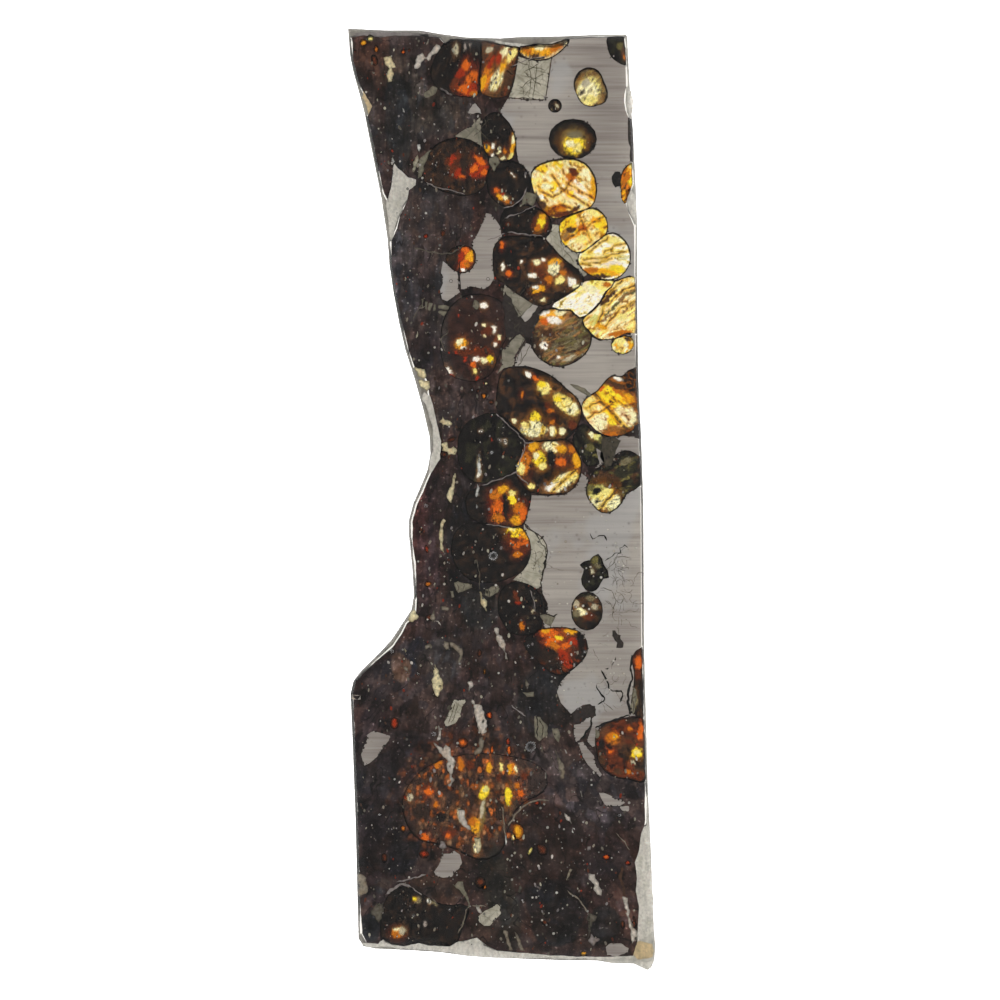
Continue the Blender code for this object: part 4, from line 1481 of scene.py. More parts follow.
T = Tint
CRYSTALS = (
    Crystal(
        "olivine_black_top_left", Slot.BLACK, (T.BLACK, T.BLACK, T.BLACK, T.UMBER),
        glows(
            (466, 64, 6, 4, 70, T.ORANGE), (460, 73, 6, 4, 60, T.RED), (455, 84, 8, 5, 70, T.RUST),
            (470, 82, 13, 6, 68, T.ORANGE), (472, 88, 8, 4, 68, T.RED), (463, 88, 5, 4, 0, T.ORANGE),
            (456, 48, 6, 2.6, 85, T.HAZE), (465, 46, 4, 1.4, 80, T.LILAC),
            (471, 44, 3, 1.3, 80, T.LILAC), (474, 93, 4, 3, 0, T.AMBER),
        ),
        shard=0.34, stretch=3.0, lean=68, rim=0.16, rim_tint=T.BLACK,
    ),
    Crystal(
        "olivine_striped_top_left", Slot.AMBER, (T.UMBER, T.BROWN, T.RUST, T.BLACK),
        glows(
            (487, 76, 15, 5, 72, T.AMBER), (497, 78, 13, 5.5, 66, T.CREAM),
            (489, 49, 5, 3, 30, T.HAZE), (504, 52, 8, 3.2, 62, T.CREAM),
            (512, 54, 9, 3.6, 60, T.STRAW), (499, 58, 6, 3, 60, T.RED), (483, 82, 9, 3, 72, T.GOLD),
            (509, 74, 12, 3, 72, T.BROWN), (491, 62, 8, 2.4, 66, T.RED), (503, 66, 7, 2.5, 62, T.GOLD),
        ),
        shard=0.36, fringe=0.3, vein=T.BROWN, stretch=4.5, lean=66, rim=0.1, crack=0.7,
    ),
    Crystal(
        "olivine_half_moon_top", Slot.BROWN, (T.HAZE, T.CREAM, T.HAZE),
        glows(
            (536, 51, 17, 5, -4, T.GOLD), (527, 49, 6, 3, -30, T.AMBER), (540, 47, 5, 2.5, 10, T.CREAM),
            (549, 50, 5, 3, 20, T.GOLD), (556, 47, 7, 3, 25, T.AMBER), (535, 55, 6, 2, 0, T.BROWN),
        ),
        shard=0.3, fringe=0.3, vein=T.BROWN, rim=0.2, rim_tint=T.BLACK,
    ),
    Crystal(
        "olivine_wedge_top_corner", Slot.BLACK, (T.BLACK, T.MOSS, T.BLACK),
        glows((624, 50, 4, 9, 20, T.BROWN), (620, 45, 3, 4, 0, T.OLIVE), (625, 56, 2, 3, 0, T.AMBER)),
        shard=0.35, rim=0.15, rim_tint=T.BLACK,
    ),
    Crystal(
        "olivine_pale_egg", Slot.PALE, (T.MOSS, T.BLACK, T.OLIVE),
        glows(
            (589, 90, 11.5, 14.5, -12, T.LIME), (588, 92, 10, 12, -10, T.CREAM),
            (589, 99, 8, 5, 0, T.STRAW), (586, 82, 5, 4, 30, T.HAZE),
        ),
        shard=0.42, fringe=0.3, vein=T.SMOKE, stretch=1.8, lean=40, rim=0.22, rim_tint=T.BLACK, crack=0.3,
    ),
    Crystal(
        "olivine_bead", Slot.BLACK, (T.BLACK, T.UMBER),
        glows((557, 105, 1.6, 2.6, 20, T.HAZE), (552, 109, 1.2, 1.2, 0, T.SMOKE)),
        shard=0.24, rim=0.2, rim_tint=T.BLACK,
    ),
    Crystal(
        "olivine_yellow_eye", Slot.YELLOW, (T.BLACK, T.BLACK, T.MOSS),
        glows(
            (574, 140, 13, 13, 0, T.OLIVE), (574, 144, 10.5, 10, 0, T.YELLOW),
            (577, 147, 5, 5, 0, T.STRAW), (570, 143, 4, 5, 60, T.CREAM), (575, 134, 8, 4, 0, T.SMOKE),
        ),
        shard=0.36, rim=0.55, rim_tint=T.BLACK,
    ),
    Crystal(
        "olivine_dark_oval", Slot.BLACK, (T.BLACK, T.BLACK, T.UMBER),
        glows(
            (487, 148, 4, 4, 0, T.GOLD), (493, 146, 3.5, 1.5, 80, T.WHITE),
            (492, 154, 2.2, 1.6, 70, T.WHITE), (499, 150, 3.5, 1.6, 80, T.CREAM),
            (503, 157, 2.4, 2, 0, T.CREAM), (513, 144, 13, 2.4, 82, T.GOLD),
            (513, 138, 5, 1.6, 80, T.CREAM), (511, 155, 4, 2, 60, T.STRAW), (505, 150, 2, 3, 0, T.AMBER),
        ),
        shard=0.28, stretch=1.8, lean=80, rim=0.14, rim_tint=T.BLACK,
    ),
    Crystal(
        "olivine_amber_edge", Slot.AMBER, (T.AMBER, T.BROWN, T.GOLD),
        glows(
            (630, 170, 8, 3, 70, T.GOLD), (633, 163, 5, 3, 70, T.STRAW), (627, 178, 7, 2.6, 75, T.AMBER),
            (633, 192, 6, 3, 80, T.ORANGE), (632, 180, 5, 3, 60, T.YELLOW),
        ),
        shard=0.34, fringe=0.3, vein=T.BROWN, stretch=2.2, lean=65, rim=0.08,
    ),
    Crystal(
        "olivine_yellow_upper", Slot.YELLOW, (T.CREAM, T.STRAW, T.CREAM, T.YELLOW),
        glows(
            (541, 183, 9, 6, -10, T.STRAW), (552, 176, 10, 5, 10, T.CREAM), (556, 198, 12, 7, 10, T.CREAM),
            (577, 186, 14, 6, -40, T.WHITE), (587, 178, 6, 12, 20, T.CREAM), (570, 204, 9, 6, 0, T.CREAM),
            (563, 189, 8, 5, 20, T.WHITE), (546, 186, 5, 4, 0, T.CREAM), (581, 196, 8, 5, -20, T.WHITE),
            (541, 196, 3, 3, 0, T.WHITE), (536, 200, 4, 9, 10, T.UMBER), (558, 209, 9, 5, 0, T.AMBER),
            (549, 211, 9, 5, -30, T.RUST), (571, 176, 5, 4, 0, T.AMBER), (583, 203, 7, 4, 35, T.CREAM),
            (574, 171, 6, 3.6, -30, T.RUST), (594, 188, 2.6, 14, 6, T.GOLD), (542, 204, 4, 5, 30, T.BROWN),
            (562, 214, 10, 3, 10, T.RUST), (575, 209, 7, 2.6, 30, T.BROWN),
        ),
        shard=0.62, fringe=0.42, vein=T.GOLD, stretch=1.7, lean=-38, rim=0.09, rim_tint=T.BROWN, crack=0.5,
        seam_tint=T.RUST,
        seams=(
            (1.8, ((540, 190), (552, 196), (565, 190), (575, 172))),
            (1.6, ((552, 174), (560, 186), (574, 196), (590, 206))),
            (1.2, ((566, 182), (580, 190), (594, 198))),
            (2.2, ((548, 212), (560, 204), (576, 210))),
        ),
    ),
    Crystal(
        "olivine_black_round", Slot.BLACK, (T.BLACK, T.BLACK, T.BLACK, T.UMBER),
        glows(
            (497, 190, 3.5, 2.6, 0, T.ORANGE), (500, 196, 4, 2.6, -40, T.GOLD),
            (506, 198, 5, 2.6, -45, T.CREAM), (508, 201, 3, 2, 0, T.AMBER),
            (513, 174, 3.5, 1.4, -45, T.WHITE), (503, 193, 2, 2, 0, T.RED),
        ),
        shard=0.3, rim=0.12, rim_tint=T.BLACK,
    ),
    Crystal(
        "olivine_dark_red", Slot.RED, (T.UMBER, T.BLACK, T.UMBER, T.BROWN),
        glows(
            (455, 164, 14, 4.5, 75, T.RUST), (452, 158, 6, 2.6, 70, T.RED), (458, 172, 6, 3, 65, T.RED),
            (478, 169, 10, 7, 50, T.RED), (480, 160, 7, 2.8, -40, T.ORANGE), (484, 172, 4, 3, 70, T.ORANGE),
            (474, 168, 5, 3, 40, T.ORANGE), (462, 176, 3, 2, 0, T.ORANGE), (448, 160, 4, 2, 60, T.RUST),
        ),
        shard=0.32, stretch=2.2, lean=62, rim=0.16, rim_tint=T.BLACK,
    ),
    Crystal(
        "olivine_yellow_middle", Slot.YELLOW, (T.STRAW, T.YELLOW, T.GOLD, T.CREAM),
        glows(
            (569, 221, 9, 6, 30, T.YELLOW), (566, 235, 5, 6, 0, T.TAN), (576, 245, 9, 5, 0, T.CREAM),
            (585, 217, 7, 5, 0, T.CREAM), (594, 212, 8, 4, -30, T.STRAW), (601, 225, 6, 9, 0, T.YELLOW),
            (592, 233, 8, 5, 20, T.CREAM), (582, 227, 5, 4, 0, T.AMBER), (571, 229, 5, 3, 0, T.BROWN),
            (581, 238, 6, 4, 20, T.STRAW),
        ),
        shard=0.46, fringe=0.42, vein=T.GOLD, stretch=1.4, lean=30, rim=0.07, rim_tint=T.BROWN, crack=0.7,
        seams=((1.2, ((566, 240), (583, 228), (604, 216))), (1.0, ((578, 212), (584, 226), (592, 240)))),
    ),
    Crystal(
        "olivine_yellow_banded", Slot.YELLOW, (T.CREAM, T.WHITE, T.CREAM, T.WHITE),
        glows(
            (604, 272, 20, 4.5, 0, T.GOLD), (590, 270, 8, 4, 10, T.AMBER), (618, 268, 9, 4, -15, T.YELLOW),
            (600, 276, 12, 2.5, 0, T.BROWN), (588, 254, 7, 5, 10, T.STRAW), (612, 240, 10, 4, -20, T.STRAW),
        ),
        shard=0.72, fringe=0.26, vein=T.YELLOW, stretch=3.4, lean=-8, rim=0.06, rim_tint=T.BROWN, crack=0.2,
        seams=(
            (1.2, ((589, 252), (598, 245), (608, 237))), (0.9, ((583, 259), (602, 257), (630, 250))),
            (1.1, ((604, 252), (613, 246), (626, 243))), (0.8, ((582, 263), (600, 262), (612, 258))),
        ),
    ),
    Crystal(
        "olivine_dark_wedge", Slot.BLACK, (T.BLACK, T.BLACK, T.UMBER),
        glows(
            (541, 222, 9, 3.6, 70, T.YELLOW), (543, 216, 4, 3, 60, T.GOLD), (538, 227, 4, 3, 60, T.AMBER),
            (546, 226, 5, 2, 75, T.RUST), (534, 222, 6, 2, 70, T.RUST), (508, 224, 3, 2, 0, T.RUST),
        ),
        shard=0.32, stretch=2.0, lean=70, rim=0.12, rim_tint=T.BLACK,
    ),
    Crystal(
        "olivine_dark_amber", Slot.AMBER, (T.BLACK, T.UMBER, T.BLACK, T.BROWN),
        glows(
            (507, 258, 12, 14, 0, T.BLACK), (502, 245, 4, 2, 80, T.ORANGE), (503, 267, 2, 4, 0, T.WHITE),
            (509, 273, 3, 3, 0, T.ORANGE), (521, 262, 1.8, 1.8, 0, T.WHITE),
            (541, 268, 12, 9, -20, T.RUST), (537, 262, 4, 3, 0, T.CREAM), (532, 275, 3, 4, 60, T.WHITE),
            (544, 259, 2, 2, 0, T.WHITE), (555, 261, 7, 4, 10, T.GOLD), (554, 269, 6, 6, 20, T.CREAM),
            (560, 280, 6, 4, 50, T.STRAW), (539, 289, 7, 3, 20, T.GOLD), (536, 287, 3, 2, 0, T.WHITE),
            (572, 281, 4, 5, 50, T.WHITE), (577, 287, 4, 4, 50, T.CREAM), (543, 300, 3, 2.4, 0, T.CREAM),
            (566, 290, 9, 3, -30, T.BROWN), (564, 272, 4, 3, 0, T.AMBER), (549, 279, 4, 4, 0, T.AMBER),
        ),
        shard=0.36, stretch=1.7, lean=45, rim=0.12, rim_tint=T.BLACK, crack=0.7,
    ),
    Crystal(
        "olivine_pale_shard", Slot.PALE, (T.CREAM, T.WHITE, T.STRAW),
        glows(
            (588, 301, 17, 12, 0, T.WHITE), (567, 304, 20, 4.4, 4, T.WHITE), (602, 285, 8, 5, 0, T.STRAW),
            (607, 284, 4, 2.4, 0, T.AMBER), (590, 288, 9, 4, -20, T.CREAM), (580, 293, 6, 2, 40, T.STRAW),
        ),
        shard=0.6, fringe=0.3, vein=T.YELLOW, stretch=2.0, lean=20, rim=0.03, rim_tint=T.TAN, crack=0.15,
    ),
    Crystal(
        "olivine_yellow_edge", Slot.YELLOW, (T.STRAW, T.CREAM, T.CREAM),
        glows(
            (620, 284, 11, 4, 0, T.CREAM), (600, 311, 12, 4, 50, T.CREAM), (627, 300, 11, 8, 20, T.CREAM),
            (616, 320, 14, 10, 10, T.CREAM), (622, 316, 6, 4, 0, T.STRAW), (608, 298, 12, 2.2, 45, T.BROWN),
            (600, 326, 9, 3, -20, T.GOLD), (620, 333, 14, 3, 8, T.AMBER), (630, 292, 6, 2, 20, T.OLIVE),
            (594, 320, 6, 5, 50, T.LIME), (624, 297, 12, 1.3, 40, T.TAN), (628, 308, 10, 1.2, 42, T.TAN),
            (612, 309, 11, 1.4, 44, T.OLIVE), (606, 318, 9, 1.2, 40, T.TAN),
        ),
        shard=0.58, fringe=0.4, vein=T.GOLD, stretch=2.6, lean=38, rim=0.06, rim_tint=T.BROWN, crack=0.6,
        seams=(
            (1.6, ((598, 322), (606, 305), (622, 290), (636, 284))),
            (1.2, ((604, 300), (616, 286), (622, 281))), (1.0, ((606, 326), (620, 309), (637, 300))),
        ),
    ),
    Crystal(
        "olivine_small_red", Slot.RED, (T.UMBER, T.BROWN, T.BLACK),
        glows(
            (465, 250, 5, 3, 70, T.ORANGE), (469, 257, 7, 3.5, 70, T.GOLD), (464, 264, 6, 4, 40, T.ORANGE),
            (461, 256, 6, 3, 70, T.RED), (463, 270, 1.6, 1.6, 0, T.WHITE), (467, 264, 3, 3, 0, T.AMBER),
        ),
        shard=0.3, stretch=2.0, lean=70, rim=0.14, rim_tint=T.UMBER,
    ),
    Crystal(
        "olivine_half_bright", Slot.BROWN, (T.OLIVE, T.TAN, T.BROWN, T.SMOKE),
        glows(
            (536, 346, 7, 12, 30, T.UMBER), (550, 316, 14, 8, -8, T.GOLD),
            (544, 312, 6, 3.6, 0, T.WHITE), (554, 320, 8, 4, -10, T.WHITE),
            (544, 321, 4, 4, 0, T.ORANGE), (560, 312, 6, 3, 0, T.CREAM), (544, 345, 4, 3.6, 0, T.WHITE),
            (559, 357, 2.6, 1.8, 0, T.WHITE), (569, 358, 7, 2, 25, T.HAZE), (548, 333, 9, 4, -15, T.BROWN),
            (572, 334, 9, 2, 30, T.SMOKE), (578, 343, 6, 2, 50, T.SMOKE), (561, 340, 7, 2, 20, T.OLIVE),
            (585, 328, 4, 6, 0, T.OLIVE),
        ),
        shard=0.4, stretch=3.2, lean=25, rim=0.2, rim_tint=T.BLACK, vein=T.UMBER,
    ),
    Crystal(
        "olivine_small_pale", Slot.PALE, (T.STRAW, T.CREAM, T.LIME, T.GOLD),
        glows((620, 341, 5, 4, 0, T.STRAW), (626, 345, 3, 2, 0, T.CREAM), (628, 339, 4, 2, 0, T.BROWN)),
        shard=0.34, fringe=0.3, vein=T.GOLD, rim=0.07, rim_tint=T.MOSS,
    ),
    Crystal(
        "olivine_sparkling_brown", Slot.BROWN, (T.UMBER, T.BROWN, T.UMBER, T.RUST, T.BLACK),
        glows(
            (484, 305, 3.4, 3.2, 0, T.WHITE), (484, 324, 2.2, 1.8, 0, T.CREAM),
            (493, 329, 3, 4, 20, T.WHITE), (485, 334, 2, 2, 0, T.CREAM), (461, 343, 6, 5, 30, T.GOLD),
            (460, 342, 4, 3, 30, T.CREAM), (464, 348, 3, 2, 0, T.WHITE), (476, 359, 3, 3, 0, T.WHITE),
            (484, 359, 4, 4, 40, T.CREAM), (490, 358, 3, 5, 30, T.YELLOW), (475, 371, 2.4, 3, 0, T.STRAW),
            (477, 350, 2.4, 3, 0, T.ORANGE), (473, 364, 3, 3, 0, T.ORANGE), (465, 359, 2, 2.4, 0, T.RED),
            (449, 371, 5, 2.4, -50, T.WHITE), (452, 377, 5, 2.4, -30, T.RED), (477, 379, 2, 3, 0, T.RED),
            (459, 315, 1.8, 1.6, 0, T.RED), (487, 331, 6, 4, 20, T.RUST), (497, 340, 5, 4, 30, T.RUST),
            (500, 337, 2, 2, 0, T.CREAM), (495, 344, 2, 2, 0, T.WHITE), (466, 352, 7, 4, 0, T.RUST),
            (483, 352, 9, 6, 0, T.RUST), (456, 352, 2, 2, 0, T.RED),
        ),
        shard=0.3, rocky=True, stretch=1.3, lean=50, rim=0.03, rim_tint=T.BLACK, crack=0.6,
    ),
    Crystal(
        "olivine_shattered_yellow", Slot.YELLOW, (T.BLACK, T.UMBER, T.BLACK, T.BROWN),
        glows(
            (528, 374, 4, 2.2, -35, T.WHITE), (536, 378, 4, 2.2, -35, T.ORANGE),
            (544, 388, 6, 6.5, 20, T.STRAW), (542, 384, 4, 3, 0, T.YELLOW), (522, 394, 2, 3.4, 0, T.AMBER),
            (566, 404, 15, 7, -38, T.STRAW), (558, 399, 4, 3, 0, T.YELLOW), (572, 408, 6, 6, 0, T.CREAM),
            (535, 419, 5, 7, 0, T.YELLOW), (534, 429, 13, 8, 0, T.CREAM), (524, 424, 3, 3, 0, T.STRAW),
            (553, 431, 3, 5, 0, T.CREAM), (562, 431, 3.2, 4, 0, T.CREAM), (553, 422, 3, 3, 0, T.AMBER),
            (548, 405, 3, 4, 0, T.RUST), (572, 425, 4, 5, 20, T.RUST), (514, 421, 2.4, 2, 0, T.CREAM),
            (551, 411, 3, 2, 0, T.AMBER),
        ),
        shard=0.5, stretch=1.3, lean=60, rim=0.14, rim_tint=T.BLACK, crack=0.9,
        seams=((1.6, ((541, 436), (546, 424), (549, 411))), (1.4, ((556, 437), (557, 424), (562, 415)))),
    ),
    Crystal(
        "olivine_yellow_split", Slot.YELLOW, (T.BROWN, T.BLACK, T.UMBER),
        glows(
            (596, 414, 14, 18, 0, T.CREAM), (590, 404, 7, 9, 0, T.STRAW), (612, 397, 16, 10, -34, T.YELLOW),
            (625, 416, 12, 11, -30, T.CREAM), (628, 398, 6, 5, -20, T.GOLD),
            (610, 417, 10, 6, -42, T.YELLOW),
            (601, 421, 6, 9, -30, T.CREAM), (613, 384, 12, 3.6, -22, T.BROWN),
            (619, 378.4, 5, 2, -18, T.WHITE),
            (609, 437, 5, 3, 0, T.ORANGE), (595, 436, 6, 2.6, 0, T.STRAW), (619, 392, 8, 2.2, -38, T.AMBER),
            (631, 381, 8, 13, 0, T.BLACK), (614, 434, 4, 2.4, 0, T.AMBER), (612, 402, 3, 1.6, 0, T.RUST),
            (602, 388, 4, 2.4, 30, T.ORANGE),
        ),
        shard=0.66, fringe=0.2, vein=T.AMBER, stretch=1.5, lean=-40, rim=0.08, rim_tint=T.UMBER, crack=0.4,
        seams=(
            (3.4, ((590, 389), (600, 399.5), (614, 414), (629, 430))),
            (1.2, ((588, 418), (602, 410), (612, 404))), (0.9, ((586, 408), (600, 401))),
            (1.0, ((612, 398), (626, 406), (634, 404))),
        ),
    ),
    Crystal(
        "olivine_amber_hexagon", Slot.AMBER, (T.BLACK, T.UMBER, T.BROWN, T.BLACK),
        glows(
            (552, 447, 9, 6, -10, T.CREAM), (561, 449, 5, 4, 0, T.GOLD), (524, 463, 6, 12, 0, T.AMBER),
            (521, 468, 4, 6, 0, T.STRAW), (539, 459, 6, 8, 10, T.YELLOW), (536, 456, 3, 4, 0, T.CREAM),
            (543, 466, 4, 4, 0, T.STRAW), (561, 462, 6, 4, 0, T.ORANGE), (534, 446, 6, 4, 30, T.GOLD),
            (562, 482, 14, 7, 35, T.CREAM), (552, 488, 7, 4, 10, T.WHITE), (573, 476, 6, 5, 40, T.STRAW),
            (531, 486, 3, 3, 0, T.STRAW), (577, 460, 4, 8, 0, T.GOLD), (572, 449, 4, 4, 0, T.AMBER),
            (548, 476, 5, 4, 0, T.BLACK), (551, 458, 4, 9, 0, T.BLACK),
        ),
        shard=0.44, stretch=1.5, lean=60, rim=0.13, rim_tint=T.BLACK, crack=0.9,
        seams=((2.0, ((552, 492), (562, 482), (576, 470))), (1.6, ((546, 480), (560, 470), (574, 466)))),
    ),
    Crystal(
        "olivine_dark_green", Slot.GREEN, (T.MOSS, T.BLACK, T.MOSS, T.BLACK),
        glows(
            (597, 437, 4, 3, 0, T.LIME), (592, 434, 3, 4, 0, T.CREAM), (601, 440, 3, 3, 0, T.OLIVE),
            (590, 447, 5, 4, 0, T.OLIVE), (604, 450, 3, 2, 0, T.SMOKE), (596, 456, 3, 2, 0, T.OLIVE),
        ),
        shard=0.34, rim=0.16, rim_tint=T.BLACK,
    ),
    Crystal(
        "olivine_green_edge", Slot.GREEN, (T.MOSS, T.BROWN, T.OLIVE, T.BLACK),
        glows(
            (602, 477, 9, 4, 20, T.BROWN), (626, 461, 7, 3, 20, T.SMOKE), (599, 493, 10, 8, 0, T.LIME),
            (597, 505, 8, 6, 0, T.CREAM), (612, 502, 9, 9, 30, T.CREAM), (608, 492, 6, 4, 0, T.STRAW),
            (590, 487, 5, 4, 0, T.OLIVE), (597, 491, 5, 4, 20, T.BLACK), (614, 478, 8, 4, -10, T.BROWN),
            (622, 472, 8, 6, 0, T.MOSS),
        ),
        shard=0.44, stretch=1.6, lean=20, rim=0.14, rim_tint=T.BLACK, crack=0.6,
        seams=((2.2, ((600, 510), (607, 500), (618, 489))), (1.2, ((592, 483), (606, 480), (622, 484)))),
    ),
    Crystal(
        "olivine_black_middle", Slot.BLACK, (T.BLACK, T.BLACK, T.BLACK, T.MOSS),
        glows(
            (479, 466, 9, 1.4, 88, T.HAZE), (479, 474, 5, 2, 80, T.WHITE), (477, 488, 4, 1.8, 80, T.HAZE),
            (500, 440, 1.8, 2, 0, T.LILAC), (505, 442, 2, 2.6, 20, T.WHITE),
            (481, 431, 1.8, 1.8, 0, T.WHITE),
            (504, 427, 1.4, 1.4, 0, T.LILAC), (491, 439, 1.3, 1.6, 0, T.RED),
        ),
        shard=0.5, stretch=1.5, lean=70, rim=0.1, rim_tint=T.BLACK,
    ),
    Crystal(
        "olivine_amber_specked", Slot.AMBER, (T.BLACK, T.UMBER, T.BLACK),
        glows(
            (497, 508, 6, 8, 0, T.ORANGE), (495, 495, 6, 5, 0, T.AMBER), (503, 489, 6, 4, 30, T.GOLD),
            (498, 518, 6, 5, 0, T.AMBER), (513, 500, 4, 6, 30, T.YELLOW), (519, 508, 6, 6, 30, T.AMBER),
            (516, 520, 6, 5, 0, T.GOLD), (523, 514, 4, 8, 0, T.ORANGE), (512, 493, 4, 3, 0, T.STRAW),
            (506, 507, 2.4, 14, 5, T.BLACK), (519, 501, 3, 2, 0, T.RUST), (510, 516, 3, 3, 0, T.RUST),
        ),
        shard=0.32, stretch=1.4, lean=60, rim=0.14, rim_tint=T.BLACK, crack=0.7,
    ),
    Crystal(
        "olivine_amber_rimmed", Slot.AMBER, (T.BLACK, T.BLACK, T.BLACK, T.UMBER),
        glows(
            (516, 532, 9, 6, 0, T.YELLOW), (524, 536, 5, 7, 0, T.GOLD), (519, 543, 9, 6, 0, T.ORANGE),
            (512, 528, 4, 3, 0, T.STRAW), (518, 555, 5, 3, 20, T.AMBER), (523, 548, 4, 3, 0, T.RUST),
            (515, 540, 4, 2, 0, T.RUST), (509, 536, 2.4, 5, 0, T.RUST), (500, 560, 5, 4, 0, T.UMBER),
        ),
        shard=0.34, stretch=1.4, lean=40, rim=0.1, rim_tint=T.BLACK, crack=0.7,
    ),
    Crystal(
        "olivine_black_lower", Slot.BLACK, (T.BLACK, T.BLACK, T.UMBER, T.BLACK),
        glows(
            (516, 597, 6, 2.6, -75, T.RUST), (518, 603, 3, 2, 0, T.RED), (522, 626, 2, 4, 0, T.AMBER),
            (536, 601, 1.6, 1.2, 0, T.HAZE), (533, 612, 1.2, 1.6, 0, T.HAZE),
            (528, 618, 1.2, 1.2, 0, T.SMOKE),
        ),
        shard=0.34, rim=0.12, rim_tint=T.BLACK,
    ),
    Crystal(
        "olivine_orange_red", Slot.RED, (T.UMBER, T.RUST, T.BLACK),
        glows(
            (560, 642, 20, 14, -40, T.RUST), (549, 632, 9, 5, 0, T.ORANGE), (552, 643, 9, 5, 40, T.ORANGE),
            (546, 630, 5, 3, 0, T.GOLD), (556, 648, 8, 4, -50, T.AMBER), (571, 632, 7, 3, 0, T.GOLD),
            (563, 655, 8, 5, -50, T.RED), (568, 664, 5, 5, 0, T.RED), (574, 642, 6, 4, 0, T.RED),
            (559, 638, 4, 2.4, 0, T.YELLOW), (581, 640, 4, 10, 10, T.BLACK),
            (549, 656, 10, 9, -30, T.UMBER), (566, 646, 5, 3, 20, T.ORANGE),
            (532, 646, 8, 14, 30, T.BLACK),
        ),
        shard=0.36, stretch=1.7, lean=-45, rim=0.16, rim_tint=T.BLACK, crack=0.5,
    ),
    Crystal(
        "olivine_green_arrow", Slot.GREEN, (T.MOSS, T.BLACK, T.BLACK),
        glows((595, 560, 4, 4, 0, T.OLIVE), (593, 571, 2, 3, 0, T.HAZE), (598, 566, 3, 3, 0, T.SMOKE)),
        shard=0.28, rim=0.12, rim_tint=T.BLACK,
    ),
    Crystal(
        "olivine_brown_oval", Slot.BROWN, (T.UMBER, T.BROWN, T.MOSS, T.BLACK),
        glows(
            (576, 604, 4, 4, 30, T.HAZE), (581, 612, 6, 3, -25, T.CREAM), (577, 614, 4, 4, 0, T.SMOKE),
            (595, 607, 4, 3, 0, T.HAZE), (590, 598, 5, 3, 0, T.SMOKE), (590, 617, 5, 3, 20, T.RUST),
            (583, 601, 4, 3, 0, T.BROWN),
        ),
        shard=0.34, stretch=1.6, lean=-30, rim=0.14, rim_tint=T.BLACK,
    ),
    Crystal(
        "olivine_orange_edge", Slot.BROWN, (T.UMBER, T.BLACK, T.BROWN),
        glows((639, 663, 4, 7, 0, T.ORANGE), (638, 675, 4, 5, 0, T.RUST), (635, 700, 3, 10, 0, T.SMOKE)),
        shard=0.3, stretch=1.8, lean=80, rim=0.14, rim_tint=T.BLACK,
    ),
    Crystal(
        "olivine_celled_amber", Slot.AMBER, (T.RUST, T.BROWN, T.UMBER, T.RUST),
        glows(
            (613.3, 738.4, 7, 6.6, 0, T.AMBER), (628, 731, 6, 5.4, 10, T.RUST),
            (612.8, 753.7, 6, 5.4, 0, T.RUST),
            (625, 770, 15, 4.6, -22, T.RUST), (618, 772, 5, 3, 0, T.BROWN),
            (637, 753.7, 5.4, 5.4, 0, T.YELLOW),
            (637, 753, 3, 3, 0, T.STRAW), (625, 750, 4.6, 4.4, 0, T.BROWN), (641, 732, 3, 9, -8, T.ORANGE),
            (615, 737, 3, 3, 0, T.GOLD), (633, 763, 3, 2, 0, T.HAZE), (602, 745, 3, 6, 0, T.BLACK),
            (611, 752, 2.4, 2.4, 0, T.ORANGE), (601, 760, 4, 5, 0, T.BROWN), (629, 742, 3, 2.4, 0, T.RUST),
            (629, 772, 5, 2.4, -20, T.AMBER), (630, 729, 2.4, 2.4, 0, T.AMBER),
        ),
        shard=0.9, fringe=0.24, stretch=1.1, lean=10, rim=0.2, rim_tint=T.BLACK, crack=0.9,
    ),
    Crystal(
        "olivine_black_bottom_left", Slot.BLACK, (T.BLACK, T.BLACK, T.UMBER),
        glows(
            (397, 934, 6, 5, 0, T.AMBER), (402, 932, 4, 4, 0, T.HAZE), (396, 930, 3, 2, 0, T.CREAM),
            (417, 901, 4, 3, 20, T.SMOKE), (415, 900, 2, 2, 0, T.YELLOW), (429, 901, 1.4, 3.4, 10, T.WHITE),
            (434, 904, 4, 2, -30, T.SMOKE), (425, 925, 2, 3, 0, T.LILAC),
        ),
        shard=0.36, rim=0.12, rim_tint=T.BLACK,
    ),
    Crystal(
        "olivine_rusted_cluster", Slot.BROWN, (T.BROWN, T.RUST, T.UMBER, T.BROWN, T.UMBER),
        glows(
            (428, 792, 4.4, 4.4, 0, T.ORANGE), (424, 788, 4, 3, 0, T.RUST), (436, 805, 3, 3, 0, T.AMBER),
            (452, 833, 6, 4.4, 0, T.RUST), (448, 836, 3, 2.6, 0, T.ORANGE),
            (484, 793, 4.5, 7, -20, T.YELLOW),
            (486, 790, 3, 3, 0, T.LIME), (481, 820, 3.4, 20, -10, T.OLIVE), (482, 810, 2, 9, -8, T.HAZE),
            (475, 826, 5, 8, 0, T.GOLD), (472, 822, 4, 4, 0, T.AMBER), (461, 817, 3.6, 8, 20, T.HAZE),
            (477, 846, 3, 8, 0, T.CREAM), (508, 797, 3.4, 8, 0, T.YELLOW), (521, 794, 3, 4, 0, T.ORANGE),
            (432, 760, 6, 7, 0, T.RUST), (489, 768, 3, 5, 0, T.GOLD), (461, 765, 3, 6, 0, T.AMBER),
            (410, 798, 3, 4, 0, T.HAZE), (425, 838, 4, 4, 0, T.ORANGE), (404, 830, 3, 4, 0, T.AMBER),
            (513, 770, 3, 5, 0, T.AMBER), (499, 778, 3, 4, 0, T.RUST), (420, 812, 8, 8, 0, T.UMBER),
            (440, 818, 6, 5, 0, T.BLACK), (500, 812, 5, 9, 0, T.UMBER),
